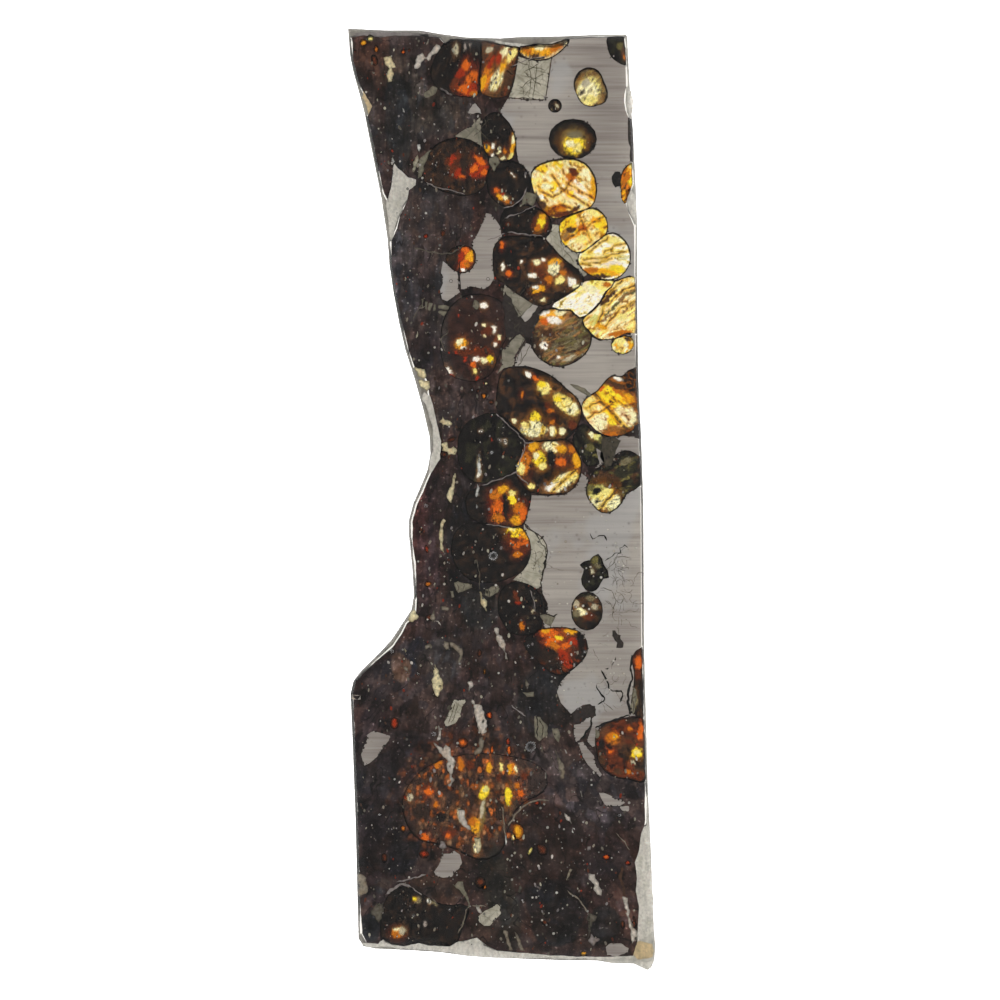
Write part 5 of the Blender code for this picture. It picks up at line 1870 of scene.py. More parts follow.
            (509, 751, 2, 5, 0, T.ORANGE), (510, 770, 2, 5, -8, T.GOLD), (501, 767, 2.2, 4, 0, T.STRAW),
            (516, 770, 1.8, 4, 10, T.CREAM), (524, 777, 4, 5, 0, T.RUST), (470, 766, 4, 5, 0, T.RUST),
            (437, 762, 4.6, 6.4, 0, T.AMBER), (517, 786, 2.4, 3, 0, T.AMBER),
        ),
        shard=0.42, fringe=0.2, vein=T.UMBER, rocky=True, stretch=1.6, rim=0.0, rim_tint=T.UMBER,
        crack=0.5, fan=True,
    ),
)


# What lies between the crystals


@dataclass(frozen=True)
class Zone(Glow):
    """A patch of colour in the weathered rock, as an ellipse on the sheet."""

    tint: Colour


def zones(*rows: tuple[float, float, float, float, float, tuple[int, int, int]]) -> list[Zone]:
    """Makes zones from rows of x, y, half width, half height, turn and display colour."""
    return [Zone(*row[:5], linear(*row[5])) for row in rows]


def outlines(*rows: tuple[Tint, tuple[float, ...]]) -> list[tuple[Tint, Loop]]:
    """Makes outlines in plan.

    Args:
        rows: A tint and the places on the sheet, x and y in turn, for each outline.

    Returns:
        The tint and the outline of each.
    """
    made = []
    for tint, flat in rows:
        made.append((tint, anticlockwise([on_sheet(*pair) for pair in zip(flat[::2], flat[1::2])])))
    return made


@dataclass
class OlivineField:
    """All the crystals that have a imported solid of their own."""

    shelf: FinishShelf
    ground: Paint
    overlap: float = 0.08
    roughness: float = 0.05
    step: float = 0.1
    holes: list[Loop] = field(default_factory=list)
    bright: list[Loop] = field(default_factory=list)

    def build(self) -> None:
        """Builds every crystal and keeps its outline for the rock around it."""
        for number, crystal in enumerate(CRYSTALS):
            outline = ragged(loops_of(crystal.node, ROCK_HIGH)[0], self.roughness, 0.2, number)
            self.holes.append(outline)
            if crystal.slot in (Slot.YELLOW, Slot.PALE):
                self.bright.append(outline)
            crystal.build(grown(outline, self.overlap), self.shelf, self.step, self.ground)


@dataclass(frozen=True)
class Spark:
    """A small grain of olivine in the rock that passes light."""

    x: float
    y: float
    half_width: float
    half_height: float
    turn: float
    middle: Tint
    edge: Tint

    def outline(self) -> Loop:
        """Draws its uneven edge in plan."""
        half = (self.half_width / SHEET_UNITS_PER_MM, self.half_height / SHEET_UNITS_PER_MM)
        return ragged(ellipse(on_sheet(self.x, self.y), half, self.turn), 0.12, 0.12, self.x)

    def painter(self, outline: Loop) -> Paint:
        """Makes its paint: bright in the middle, darker towards its edge.

        Args:
            outline: Its outline in plan.

        Returns:
            The paint.
        """
        border = Border([outline])
        depth = min(self.half_width, self.half_height) / SHEET_UNITS_PER_MM

        def paint(spot: Point) -> tuple[Colour, float]:
            """Gives the colour and the share of cracks at a place.

            Args:
                spot: The place in plan.

            Returns:
                The colour and the share.
            """
            ripple = noise.noise(Vector((spot[0] * 4.0, spot[1] * 4.0, self.x)))
            deep = border.gap(spot) if inside(spot, outline) else 0.0
            share = ease(0.1 * depth, 0.8 * depth, deep * (1.0 + 0.5 * ripple))
            colour = mixed(self.edge.value, self.middle.value, share)
            return scaled(colour, 0.4 + 0.6 * share, 0.4 + 0.6 * share, 0.4 + 0.6 * share), 0.3

        return paint


SPARKS = tuple(
    Spark(*row)
    for row in (
        (363, 42, 2.6, 3.2, 60, T.GOLD, T.AMBER), (370, 38, 3, 3, 40, T.STRAW, T.OLIVE),
        (376, 48, 1.8, 2.8, 0, T.AMBER, T.RUST), (403, 51, 1.7, 1.7, 0, T.ORANGE, T.RED),
        (355, 51, 1.2, 1.2, 0, T.RED, T.RUST), (374, 60, 3, 5, 10, T.RUST, T.UMBER),
        (409, 50, 1.2, 1.4, 0, T.RED, T.RUST), (458.5, 315.5, 1.9, 2, 0, T.ORANGE, T.RED),
        (491.8, 439.4, 1.6, 1.6, 0, T.ORANGE, T.RUST), (461.7, 465, 1.8, 2.2, 0, T.ORANGE, T.RED),
        (451.5, 439.4, 4, 2, 20, T.RUST, T.UMBER), (443.6, 454.2, 3, 2.6, 0, T.RUST, T.UMBER),
        (508.7, 577.3, 4.2, 4, 0, T.ORANGE, T.AMBER), (426.6, 549, 1.8, 4, 10, T.RED, T.RUST),
        (421, 530, 1.6, 3, 0, T.RUST, T.UMBER), (428, 584, 3, 2.4, 0, T.AMBER, T.RUST),
        (430, 618, 4, 3, 0, T.RUST, T.UMBER), (394, 723, 3.4, 5.4, 0, T.RED, T.RUST),
        (463, 743, 5.4, 5, 0, T.ORANGE, T.RUST), (489.3, 716, 2.4, 3, 0, T.ORANGE, T.RED),
        (479.4, 653.5, 2.4, 4, 0, T.RUST, T.UMBER), (484.5, 671.6, 1.6, 2.8, 0, T.GOLD, T.RUST),
        (517.6, 832, 5, 8, 14, T.GOLD, T.AMBER), (513.6, 838, 2, 3, 0, T.CREAM, T.GOLD),
        (530.4, 852, 2.6, 5, -30, T.STRAW, T.OLIVE), (542, 850, 4, 6, 30, T.RUST, T.UMBER),
        (606, 857.4, 3.4, 2.6, 0, T.ORANGE, T.RED), (545, 923, 3.4, 2, -35, T.RUST, T.UMBER),
        (424, 855, 5, 4, 0, T.RED, T.RUST), (480, 883, 5, 6, 30, T.RUST, T.UMBER),
        (484, 888, 2.4, 2, 0, T.AMBER, T.RUST), (583.5, 954, 2.6, 1.6, 0, T.GOLD, T.RUST),
        (536.3, 803.5, 2.4, 1.8, 0, T.RED, T.RUST), (509.3, 751, 1.8, 4.4, 0, T.ORANGE, T.RUST),
        (492, 750, 1.4, 3.6, 0, T.ORANGE, T.RUST), (510, 770, 2, 5, -8, T.GOLD, T.AMBER),
        (501, 767, 2.2, 4, 0, T.STRAW, T.AMBER), (516.5, 770.5, 1.6, 3.6, 10, T.CREAM, T.AMBER),
        (524, 777, 4, 5, 0, T.RUST, T.BROWN), (470, 766, 4, 5, 0, T.RUST, T.UMBER),
        (461, 766, 1.8, 3.6, 0, T.AMBER, T.RUST), (437, 762, 4.6, 6.4, 0, T.AMBER, T.BROWN),
        (409.5, 799, 1.8, 2, 0, T.HAZE, T.SMOKE), (403, 829, 2.4, 3, 0, T.AMBER, T.RUST),
        (425, 838, 2, 3.4, 0, T.ORANGE, T.RUST), (517, 786, 2.4, 3, 0, T.AMBER, T.RUST),
        (508, 742, 1.6, 3, 0, T.RED, T.RUST), (384, 858, 2.6, 4, 0, T.RUST, T.UMBER),
        (412, 806, 3, 4, 0, T.RUST, T.UMBER), (623, 925, 2, 4, 0, T.RUST, T.UMBER),
        (634, 922, 1.8, 6, 0, T.RUST, T.UMBER), (628, 863, 2.4, 2, 0, T.RED, T.RUST),
        (425.8, 236, 1.6, 1.4, 0, T.RED, T.RUST), (443, 233, 1.2, 2.4, 0, T.RUST, T.UMBER),
        (431, 148.6, 1.2, 1, 0, T.RUST, T.UMBER), (478, 391, 2.2, 2, 0, T.RUST, T.UMBER),
        (484, 396, 2, 2.6, 0, T.AMBER, T.UMBER), (491, 402, 2.4, 2.4, 0, T.RUST, T.UMBER),
        (522, 394, 2.2, 3, 0, T.GOLD, T.RUST), (486, 383, 1.2, 1.2, 0, T.CREAM, T.RUST),
    )
)

SLIVERS = outlines(
    (T.IVORY, (384.5, 58, 390, 56.5, 394, 63.5, 395, 66.5, 392, 68, 393, 73, 391, 80.5,
               388, 81.5, 387.5, 75, 388.5, 68.5, 385.5, 64.5)),
    (T.PEARL, (436.5, 42.5, 440, 44, 441, 48, 435.5, 53.5, 430.5, 60, 427, 62.5, 426, 60,
               422, 62, 419.5, 66.5, 415, 68, 415.5, 60, 417.5, 56, 422, 52.5,
               426, 56, 430.5, 51.5, 434.5, 46.5)),
    (T.PEARL, (427.5, 38, 429.5, 39, 427, 45, 424, 49.5, 422.5, 51, 422, 50, 425, 45)),
    (T.LILAC, (440, 88, 445.5, 89, 451.5, 94.5, 447.5, 94)),
    (T.WHITE, (417, 144, 420.5, 143.5, 421.5, 148, 419.5, 152.5, 416.5, 149)),
    (T.HAZE, (417.5, 154, 418.5, 159, 415.5, 166, 414, 172, 412, 171, 414, 162)),
    (T.WHITE, (402, 107.5, 404, 108.5, 404.5, 112, 403, 111.5)),
    (T.PEARL, (398.5, 124.5, 401, 127, 401.5, 130, 399, 128.5)),
    (T.WHITE, (392.5, 157, 394.5, 161, 393.5, 163, 391.5, 160)),
    (T.IVORY, (414, 366.5, 425, 368.5, 428.5, 377, 421.5, 379, 418, 374.5)),
    (T.IVORY, (419, 380, 428.5, 381.5, 430, 386.5, 427.5, 392.5, 424, 387.5)),
    (T.IVORY, (442.5, 413.5, 445, 419.5, 449.5, 421, 452, 424, 449.5, 427, 444, 426,
               442, 432, 442, 425.5, 438.5, 422.5, 441, 419)),
    (T.IVORY, (441, 444, 446.5, 443, 448.5, 447.5, 453.5, 446.5, 456.5, 450.5, 455, 454,
               450.5, 455, 449.5, 459, 447, 452, 442, 450.5)),
    (T.IVORY, (454.5, 469.5, 456.5, 474, 455, 482.5, 453.5, 490, 452, 503, 449.5, 504.5,
               447, 497.5, 448.5, 488.5, 451.5, 482.5, 450.5, 477, 453, 474)),
    (T.IVORY, (443.5, 519.5, 445.5, 521, 443.5, 526.5, 442.5, 538.5, 444, 553, 441, 550,
               439, 535.5, 440.5, 525)),
    (T.WHITE, (479, 457.5, 480.5, 466, 481.5, 472.5, 479.5, 475.5, 477.5, 471, 478, 464)),
    (T.WHITE, (477.5, 484, 479.5, 488, 478.5, 494, 476, 497.5, 475, 491)),
    (T.WHITE, (476.5, 504, 478, 507, 476.5, 510, 475.5, 507)),
    (T.IVORY, (414, 609, 416, 614, 419, 617, 417, 621, 412, 622.5, 408.5, 620, 411, 616.5)),
    (T.STONE, (403, 664.5, 408.5, 668, 410.5, 673, 408.5, 676, 407, 671.5, 404, 668)),
    (T.IVORY, (404, 648, 407, 651, 405, 653.5)),
    (T.STONE, (425, 646, 430.5, 644.5, 431, 646.5, 426, 649)),
    (T.IVORY, (435, 665, 438, 671.5, 441, 680, 441, 688.5, 437.5, 695.5, 434.5, 691, 432.5, 682.5,
               434, 674)),
    (T.STONE, (444.5, 641.5, 448, 643, 449, 649, 446, 649.5, 444, 646)),
    (T.STONE, (448, 639, 453, 643, 462.5, 647.5, 463, 655, 461.5, 662, 465, 670.5,
               461.5, 669, 458.5, 662, 459.5, 656, 455.5, 651, 451, 647.5)),
    (T.PEARL, (467.5, 682, 472, 680.5, 474.5, 686, 471, 689.5, 469, 691.5, 468.5, 685)),
    (T.PEARL, (471.5, 698, 475, 704, 480.5, 706.5, 484, 715, 486.5, 721, 486, 731.5,
               482, 736.5, 479.5, 729, 478, 722, 474.5, 715, 473, 706.5)),
    (T.STONE, (480, 738, 485, 741, 484, 748.5, 481, 752, 475.5, 755.5, 473.5, 752.5, 479, 747)),
    (T.IVORY, (477, 590, 482, 591, 483, 597, 486.5, 602, 485.5, 608, 489, 613, 493, 615,
               495, 621, 494, 627, 491, 629.5, 486.5, 626, 485.5, 619, 488, 615,
               483, 608, 480.5, 601, 478, 595)),
    (T.PEARL, (494.5, 628.5, 498, 629.5, 500, 635.5, 503.5, 640.5, 504.5, 647.5, 508, 653.5,
               507.5, 659.5, 505, 659.5, 503.5, 652.5, 499, 645, 497.5, 635.5)),
    (T.STONE, (440, 604.5, 449.5, 608, 448, 610.5, 442, 610)),
    (T.STONE, (434, 608, 435, 619, 432.5, 622.5, 430.5, 618)),
    (T.PEARL, (352, 694.5, 360.5, 695.5, 357, 700, 353, 697)),
    (T.PEARL, (438.5, 725.5, 441, 731.5, 440.5, 739, 437, 740.5, 438.5, 734)),
    (T.PEARL, (432, 741, 438, 745.5, 443, 750.5, 446, 745.5, 450, 748, 451, 754, 456, 761,
               455.5, 768.5, 452.5, 774.5, 453.5, 780.5, 451, 789, 447.5, 785, 450, 781.5,
               450, 774.5, 447.5, 768.5, 446.5, 760, 441.5, 755, 437, 748)),
    (T.PEARL, (458.5, 810.5, 463, 811.5, 465.5, 821, 470, 829.5, 467, 829.5, 462, 825,
               459, 817.5)),
    (T.IVORY, (474, 838.5, 480.5, 838, 480.5, 849, 478, 853.5, 475, 846.5)),
    (T.LILAC, (441, 841.5, 445.5, 842, 446.5, 847.5, 443, 849, 440, 847)),
    (T.STONE, (525.5, 679, 529, 684, 527.5, 690, 525, 686)),
    (T.STONE, (555.5, 750.5, 559, 757, 562, 765, 564.5, 767.5, 563.5, 778.5, 562, 778.5,
               559, 766, 556.5, 758)),
    (T.WHITE, (564.5, 749.5, 566, 750, 567.5, 753.5, 566, 754)),
    (T.STONE, (541, 745, 543, 747, 543, 752.5, 541, 752)),
    (T.PEARL, (545, 772.5, 546.5, 773, 546.5, 778.5, 545, 779)),
    (T.PEARL, (565.5, 815, 570.5, 820.5, 576, 830.5, 574, 834, 570.5, 825)),
    (T.WHITE, (572.5, 827, 575.5, 830.5, 574, 833.5, 571.5, 829)),
    (T.PEARL, (580, 791, 581.5, 791.5, 583, 797.5, 581.5, 797)),
    (T.STONE, (358.5, 872, 362, 876.5, 366.5, 878.5, 367.5, 885, 365.5, 894.5, 359, 895.5)),
    (T.ASH, (370.5, 910.5, 377, 905, 383, 904, 382.5, 914.5, 379, 925.5, 375, 919)),
    (T.HAZE, (428, 898, 429.5, 898.5, 430, 903.5, 428.5, 904.5)),
    (T.STONE, (432.5, 899.5, 435, 901, 439, 906, 436.5, 905.5)),
    (T.PEARL, (623.5, 898, 627, 899, 629, 908, 631.5, 919, 634.5, 930, 636.5, 936.5,
               632.5, 943, 631.5, 934.5, 628, 924.5, 626, 913.5)),
    (T.PEARL, (589, 874.5, 594.5, 875, 598.5, 881.5, 601, 895, 597.5, 893, 594, 885, 590, 879)),
    (T.LILAC, (587.5, 847, 590.5, 846.5, 590.5, 850, 588, 850.5)),
    (T.HAZE, (566, 880.5, 568, 881, 572, 870, 570, 869)),
    (T.LILAC, (534.5, 885, 542.5, 888, 540, 893)),
    (T.ASH, (520, 884, 523, 888, 520.5, 894, 517.5, 892)),
    (T.LILAC, (590.5, 933.5, 600.5, 940, 595, 947.5, 593, 946.5, 589.5, 941)),
    (T.ASH, (588.5, 913.5, 596, 917, 592, 925.5, 590.5, 935.5, 587.5, 939, 588.5, 925.5)),
    (T.STONE, (504, 931, 507, 933, 512.5, 951, 509.5, 950.5)),
    (T.STONE, (514.5, 932, 519, 936, 524.5, 951, 520, 950.5)),
    (T.PEARL, (476, 905, 479.5, 908, 482.5, 913, 480.5, 914, 477, 909)),
)

FLAKES = {
    Slot.METAL: outlines(
        (T.PEARL, (467, 112.5, 472, 104, 475, 103.5, 480.5, 109.5, 481.5, 113.5,
                   476, 112, 473, 113.5, 468.5, 114.5)),
        (T.PEARL, (521, 317, 525, 321.5, 530, 318, 534, 312, 537, 306.5, 533, 305.5, 528, 309, 523, 313.5)),
        (T.PEARL, (606, 947.5, 611.5, 943, 620.5, 944, 629, 948.5, 629, 953,
                   616, 956.5, 607, 955.5)),
        (T.PEARL, (620, 807, 629, 806, 628, 811.5, 622.5, 810.5)),
        (T.PEARL, (596, 448, 603, 452, 605, 462, 600, 465, 598, 456)),
    ),
    Slot.TROILITE: outlines(
        (T.FLINT, (520, 207, 526, 190, 537, 196, 533, 206, 527, 203)),
        (T.FLINT, (570, 384, 578, 386, 586, 389, 591, 396, 581, 393)),
        (T.SCORE, (603, 438, 612, 436, 622, 440, 616, 452, 612, 466, 606, 468, 600, 456)),
        (T.FLINT, (418, 178, 420, 160, 427, 151, 431, 150, 426, 160, 421, 176)),
        (T.FLINT, (424.5, 93.5, 432.5, 86, 436.5, 88, 435.5, 93.5, 430.5, 95, 426, 96.5)),
        (T.FLINT, (489, 158, 496, 156, 500, 162, 494, 170, 490, 164)),
        (T.FLINT, (453.5, 582.5, 458, 581, 472.5, 584, 473.5, 588.5, 464, 591,
                 458, 594, 455, 589.5)),
        (T.FLINT, (450, 591, 453.5, 590.5, 454.5, 597, 451.5, 597.5)),
        (T.FLINT, (484.5, 589.5, 497.5, 585.5, 500.5, 588.5, 496, 592.5, 489, 598.5,
                 484.5, 595.5)),
        (T.FLINT, (541, 616, 549, 614, 556, 617, 551, 627, 545, 624)),
        (T.FLINT, (522.5, 692.5, 534, 692, 534, 696.5, 527, 697)),
        (T.FLINT, (533, 714, 541, 717.5, 547.5, 727.5, 546.5, 735.5, 539.5, 741,
                 535, 736.5, 534, 727.5)),
        (T.FLINT, (552, 728.5, 558, 728.5, 561, 736.5, 559, 743.5, 554.5, 739)),
        (T.FLINT, (633, 687, 637, 690, 636.5, 702, 634, 714, 630.5, 713, 631.5, 700)),
        (T.FLINT, (595.5, 729, 599.5, 731, 599, 739, 595.5, 741, 594.5, 735)),
        (T.FLINT, (452.5, 886, 458, 882, 462.5, 882.5, 463.5, 887, 467.5, 895.5,
                 472, 905, 470, 908.5, 466.5, 909.5, 467.5, 904, 463.5, 895.5,
                 460, 890, 456, 889)),
        (T.FLINT, (421.5, 298.5, 423.5, 299, 423.5, 308, 421.5, 307.5)),
        (T.FLINT, (425, 301, 427.5, 301.5, 427, 309.5, 425, 309)),
        (T.FLINT, (429, 303, 432.5, 303.5, 430, 310.5, 427.5, 310)),
        (T.FLINT, (433.5, 303.5, 436.5, 304, 435.5, 311, 433, 311)),
        (T.FLINT, (438, 304, 449.5, 306, 448.5, 309.5, 437.5, 308)),
        (T.FLINT, (438, 310.5, 446, 312, 443.5, 315.5, 437.5, 312.5)),
        (T.FLINT, (474.5, 300, 479, 303, 477, 309, 473.5, 306)),
    ),
}

FISSURES = (
    (T.LILAC, 1.0, (426, 182, 440, 188, 452, 191, 465, 194)),
    (T.LILAC, 1.1, (503, 208, 512, 206, 520, 201, 524, 194, 527, 187)),
    (T.LILAC, 1.0, (505, 218, 520, 213, 536, 205)),
    (T.LILAC, 1.2, (507, 232, 524, 234, 543, 236)),
    (T.ASH, 1.3, (414, 247, 428.5, 251.5, 443.5, 254, 453, 252.5, 465, 244.5)),
    (T.LILAC, 1.0, (496, 413.5, 511, 427, 525.5, 442.5, 535, 441.5)),
    (T.LILAC, 1.0, (525.5, 442.5, 521, 458, 516, 473, 500, 479, 481.5, 485.5)),
    (T.LILAC, 1.0, (516, 473, 530, 485.5)),
    (T.LILAC, 1.0, (486, 524.5, 498, 526, 510, 527)),
    (T.STONE, 1.4, (508, 826, 517, 813, 528, 803, 539, 800, 549.5, 801)),
    (T.LILAC, 3.2, (386.5, 894.5, 392, 889, 400.5, 885, 409, 886, 411.5, 887.5)),
    (T.LILAC, 1.1, (411.5, 887.5, 422, 895.5)),
    (T.LILAC, 1.4, (396, 882.5, 411, 879.5, 426, 875)),
    (T.STONE, 1.1, (467.5, 908.5, 464, 920, 458, 934)),
    (T.STONE, 1.2, (472, 906, 486, 907)),
    (T.STONE, 1.3, (567.5, 890.5, 578.5, 899, 589.5, 914.5)),
    (T.STONE, 1.2, (589.5, 914.5, 590, 930)),
    (T.STONE, 1.1, (501.5, 807, 504, 824, 506, 841.5)),
    (T.WHITE, 1.6, (505, 836, 506, 845)),
    (T.LILAC, 1.3, (511.5, 705, 518, 711, 526, 716.5)),
    (T.PEARL, 1.3, (435.5, 621, 441, 625.5)),
    (T.HAZE, 1.5, (417.5, 331, 416, 338)),
    (T.STONE, 0.9, (414, 315, 419, 309, 425, 306)),
    (T.ASH, 1.2, (413, 320, 416, 311, 422, 304)),
    (T.ASH, 0.9, (448, 330, 440, 340, 446, 352)),
    (T.BROWN, 3.0, (622.5, 866, 621, 878, 625, 897)),
    (T.STONE, 0.9, (616, 833, 624, 842, 630, 850)),
    (T.LILAC, 1.0, (530, 590, 534, 600, 535, 612)),
    (T.ASH, 0.9, (477, 560, 479, 572, 480, 590)),
    (T.LILAC, 0.9, (487, 240, 505, 233)),
    (T.LILAC, 0.8, (512, 66, 524, 60, 545, 56)),
)

CRACKS = (
    (1.6, (601, 670, 607, 680, 609, 688, 613.5, 691.5, 621.5, 691.5, 622.5, 696, 620, 702.5)),
    (1.9, (596.5, 684.5, 601, 692.5, 604.5, 698, 603, 701.5, 597.5, 705)),
    (0.6, (603, 701.5, 608, 706, 613.5, 710.5)), (1.1, (605, 669, 609, 668)),
    (1.1, (612, 666, 616, 657)), (1.4, (590, 533, 591, 537, 593, 540)),
    (1.4, (597, 537, 605, 535, 607, 541)), (0.8, (592, 539, 597, 537)),
    (0.9, (605, 561, 615, 554, 621, 553, 620, 548, 625, 545, 628, 548)),
    (0.7, (603, 572, 612, 566, 617, 558, 622, 556, 630, 557)),
    (0.6, (600, 588, 612, 590, 616, 600, 612, 616)), (0.6, (616, 600, 622, 604, 624, 598)),
    (2.2, (632.5, 655, 630.5, 668, 633, 680, 629, 690, 628, 702.5, 630.5, 715)),
    (2.0, (630.5, 715, 618, 719.5, 602, 724, 595, 728.5)),
    (1.8, (592, 716.5, 592, 723, 585, 735.5, 579.5, 740)),
    (1.2, (545, 614, 553, 617, 558, 614)), (0.9, (524, 524, 534, 532, 547, 550, 541, 585)),
    (0.9, (460, 260, 458.5, 274, 461, 290)), (1.0, (541, 585, 542, 600, 545, 614)),
    (0.8, (537, 64, 536, 80, 533, 97)), (0.7, (518, 98, 534, 98)),
    (0.8, (524, 72, 532, 78, 541, 86)), (0.8, (524, 72, 532, 68, 540, 62)),
    (0.7, (516, 60, 530, 66, 545, 70)), (0.7, (519, 88, 530, 80, 544, 74)),
    (0.6, (528, 58, 531, 76, 529, 95)), (0.7, (476, 128, 482, 133, 488, 139)),
    (0.6, (474, 136, 480, 131, 486, 122)), (0.6, (505, 300, 514, 306, 522, 316)),
    (0.6, (560, 240, 566, 252, 574, 262)), (0.7, (526, 340, 520, 352, 516, 362)),
    (0.6, (524, 338, 521, 350, 521, 364)), (0.7, (530, 344, 526, 354, 518, 366)),
    (0.6, (534, 550, 536, 560, 533, 572)), (0.7, (451, 706, 447, 718, 444, 724)),
    (0.7, (455, 703, 452, 714, 448, 724)), (0.6, (459, 702, 456, 712, 451, 724)),
    (1.0, (536, 716, 538, 727, 537, 738)), (0.9, (540, 719, 543, 728, 542, 738)),
    (0.8, (456, 583, 458, 588, 457, 592)), (0.8, (463, 583, 464, 587, 463, 590)),
    (0.9, (488, 588, 490, 593, 489, 598)), (0.8, (495, 586, 496, 590, 494, 593)),
    (0.8, (634, 690, 632.5, 700, 633.5, 712)), (0.7, (630.5, 700, 636.5, 696)),
)

WEDGES = outlines(
    (T.SAND, (363.5, 91, 370.5, 94.5, 372, 99.5, 373, 106, 370, 111.5, 368.5, 113.5,
               366.5, 104, 363, 97)),
    (T.FROST, (389, 155, 394, 162, 400, 166, 406, 173, 411, 177, 418, 180, 411.5, 192.5,
               403, 205.5, 398, 219, 393, 235.5, 391, 240, 389, 232.5, 388, 218, 386, 205,
               388, 190, 392, 182, 393, 172, 391, 164)),
    (T.FROST, (424, 392, 434, 398, 440, 420, 444, 440, 443, 456, 437, 470, 428, 474, 433, 450,
               433, 430, 428, 410, 422, 398)),
    (T.FROST, (495, 40, 510, 42, 530, 44, 552, 42, 568, 39, 566, 43, 552, 46, 534, 46, 520, 49,
               508, 45, 496, 43)),
    (T.FROST, (626, 86, 631, 90, 633, 100, 632, 112, 629.5, 117, 628, 104)),
    (T.FROST, (626, 190, 630, 187, 635.5, 196, 636.5, 210, 634, 221, 629, 212)),
    (T.FROST, (645.5, 826.5, 649, 842, 651, 864, 653.5, 897, 653.5, 930, 649, 936, 637, 943,
              637, 930, 638.5, 913.5, 635, 897, 635, 875, 635, 860.5, 639.5, 842, 642, 829)),
    (T.FROST, (381.5, 939, 385.5, 942.5, 392, 945, 400.5, 944.5, 413.5, 941.5, 424, 943,
               430.5, 944.5, 439, 942.5, 450.5, 945, 456, 941.5, 463.5, 942.5, 467.5, 939.5,
               476, 935.5, 481.5, 940.5, 483.5, 946, 494.5, 950, 520, 952, 560, 953.5, 600, 955.5,
               634, 956, 634, 959, 600, 959.5, 560, 958.5, 520, 958, 483.5, 957.5, 462.5, 955, 446.5,
               952, 430.5, 950, 409, 949, 387.5, 947.5,
               366.5, 947, 362, 943.5, 372, 942)),
    (T.SAND, (633.5, 943.5, 640, 941.5, 652.5, 944.5, 654, 952, 652.5, 958.5, 638, 959.5,
               633.5, 955.5)),
    (T.FROST, (640, 962, 652.5, 962, 651, 968.5, 647, 970, 641.5, 967.5)),
    (T.LILAC, (419, 34.5, 424.5, 30.5, 428, 32.5, 428.5, 36.5, 422, 36.5)),
    (T.LILAC, (352, 33, 380, 31.5, 410, 32, 436, 34.5, 438, 37.5, 410, 36.5, 380, 36, 356, 37)),
)

WORN = (
    (620, 588, 17, 34, 46), (528, 80, 14, 20, 12), (519, 310, 9, 28, 10), (486, 130, 9, 9, 6),
    (541, 560, 7, 34, 12), (566, 252, 12, 14, 6), (616, 690, 22, 22, 14), (592, 640, 26, 12, 10),
)

SCRAPS = outlines(
    (T.CINDER, (572.5, 714, 578, 708.5, 587.5, 704.5, 595, 707, 595.5, 716, 590.5, 716.5,
                584, 719.5, 579.5, 723.5, 573.5, 723)),
    (T.CINDER, (628, 117, 631, 119, 632, 130, 633, 145, 632, 160, 629.5, 162, 630, 148, 628, 134)),
    (T.BLACK, (612, 176, 615, 171, 620, 172, 621.5, 178, 620, 186, 615.5, 187.5, 612.5, 183)),
    (T.CINDER, (612.5, 630.5, 615.5, 630, 618, 634, 621.5, 635, 621.5, 639, 624, 643, 622.5, 647.5,
                616.5, 648, 617.5, 643, 615, 639.5, 612.5, 636)),
    (T.CINDER, (505, 291, 511, 299, 515, 308, 518, 317, 522, 315, 528, 308, 534, 303, 541, 307,
                538, 320, 534, 330, 532, 337, 526, 338.5, 520, 333, 512, 338, 506, 337, 505, 325,
                504, 312, 503, 300)),
    (T.CINDER, (634, 426, 637, 424, 640.3, 424, 640.5, 438, 634.5, 438)),
)

RINGS = (
    (426, 505.7, 2.7), (493.3, 556, 5.2), (491.8, 452.6, 2.4), (472, 390.3, 2.2), (392.2, 651.4, 2.6),
    (418, 673.6, 2.2), (433.8, 734, 3), (489.6, 633.4, 2), (530.6, 746.9, 6), (528, 646, 2),
    (532, 658, 2.2), (562, 662, 2), (619.6, 815.4, 2.4), (522, 900.3, 2.2), (380, 815, 2.2),
    (481.5, 431.6, 1.9), (503.5, 427.7, 1.5), (499.6, 440.1, 1.5), (505, 441.6, 1.8),
    (451, 281, 1.8), (488, 279, 1.8), (434, 668, 1.6), (568, 634, 1.8), (585, 652, 1.8),
    (576, 607, 1.6), (530, 708, 2), (517.6, 745, 2), (449.5, 909.9, 1.6), (413.3, 915.7, 1.6),
)


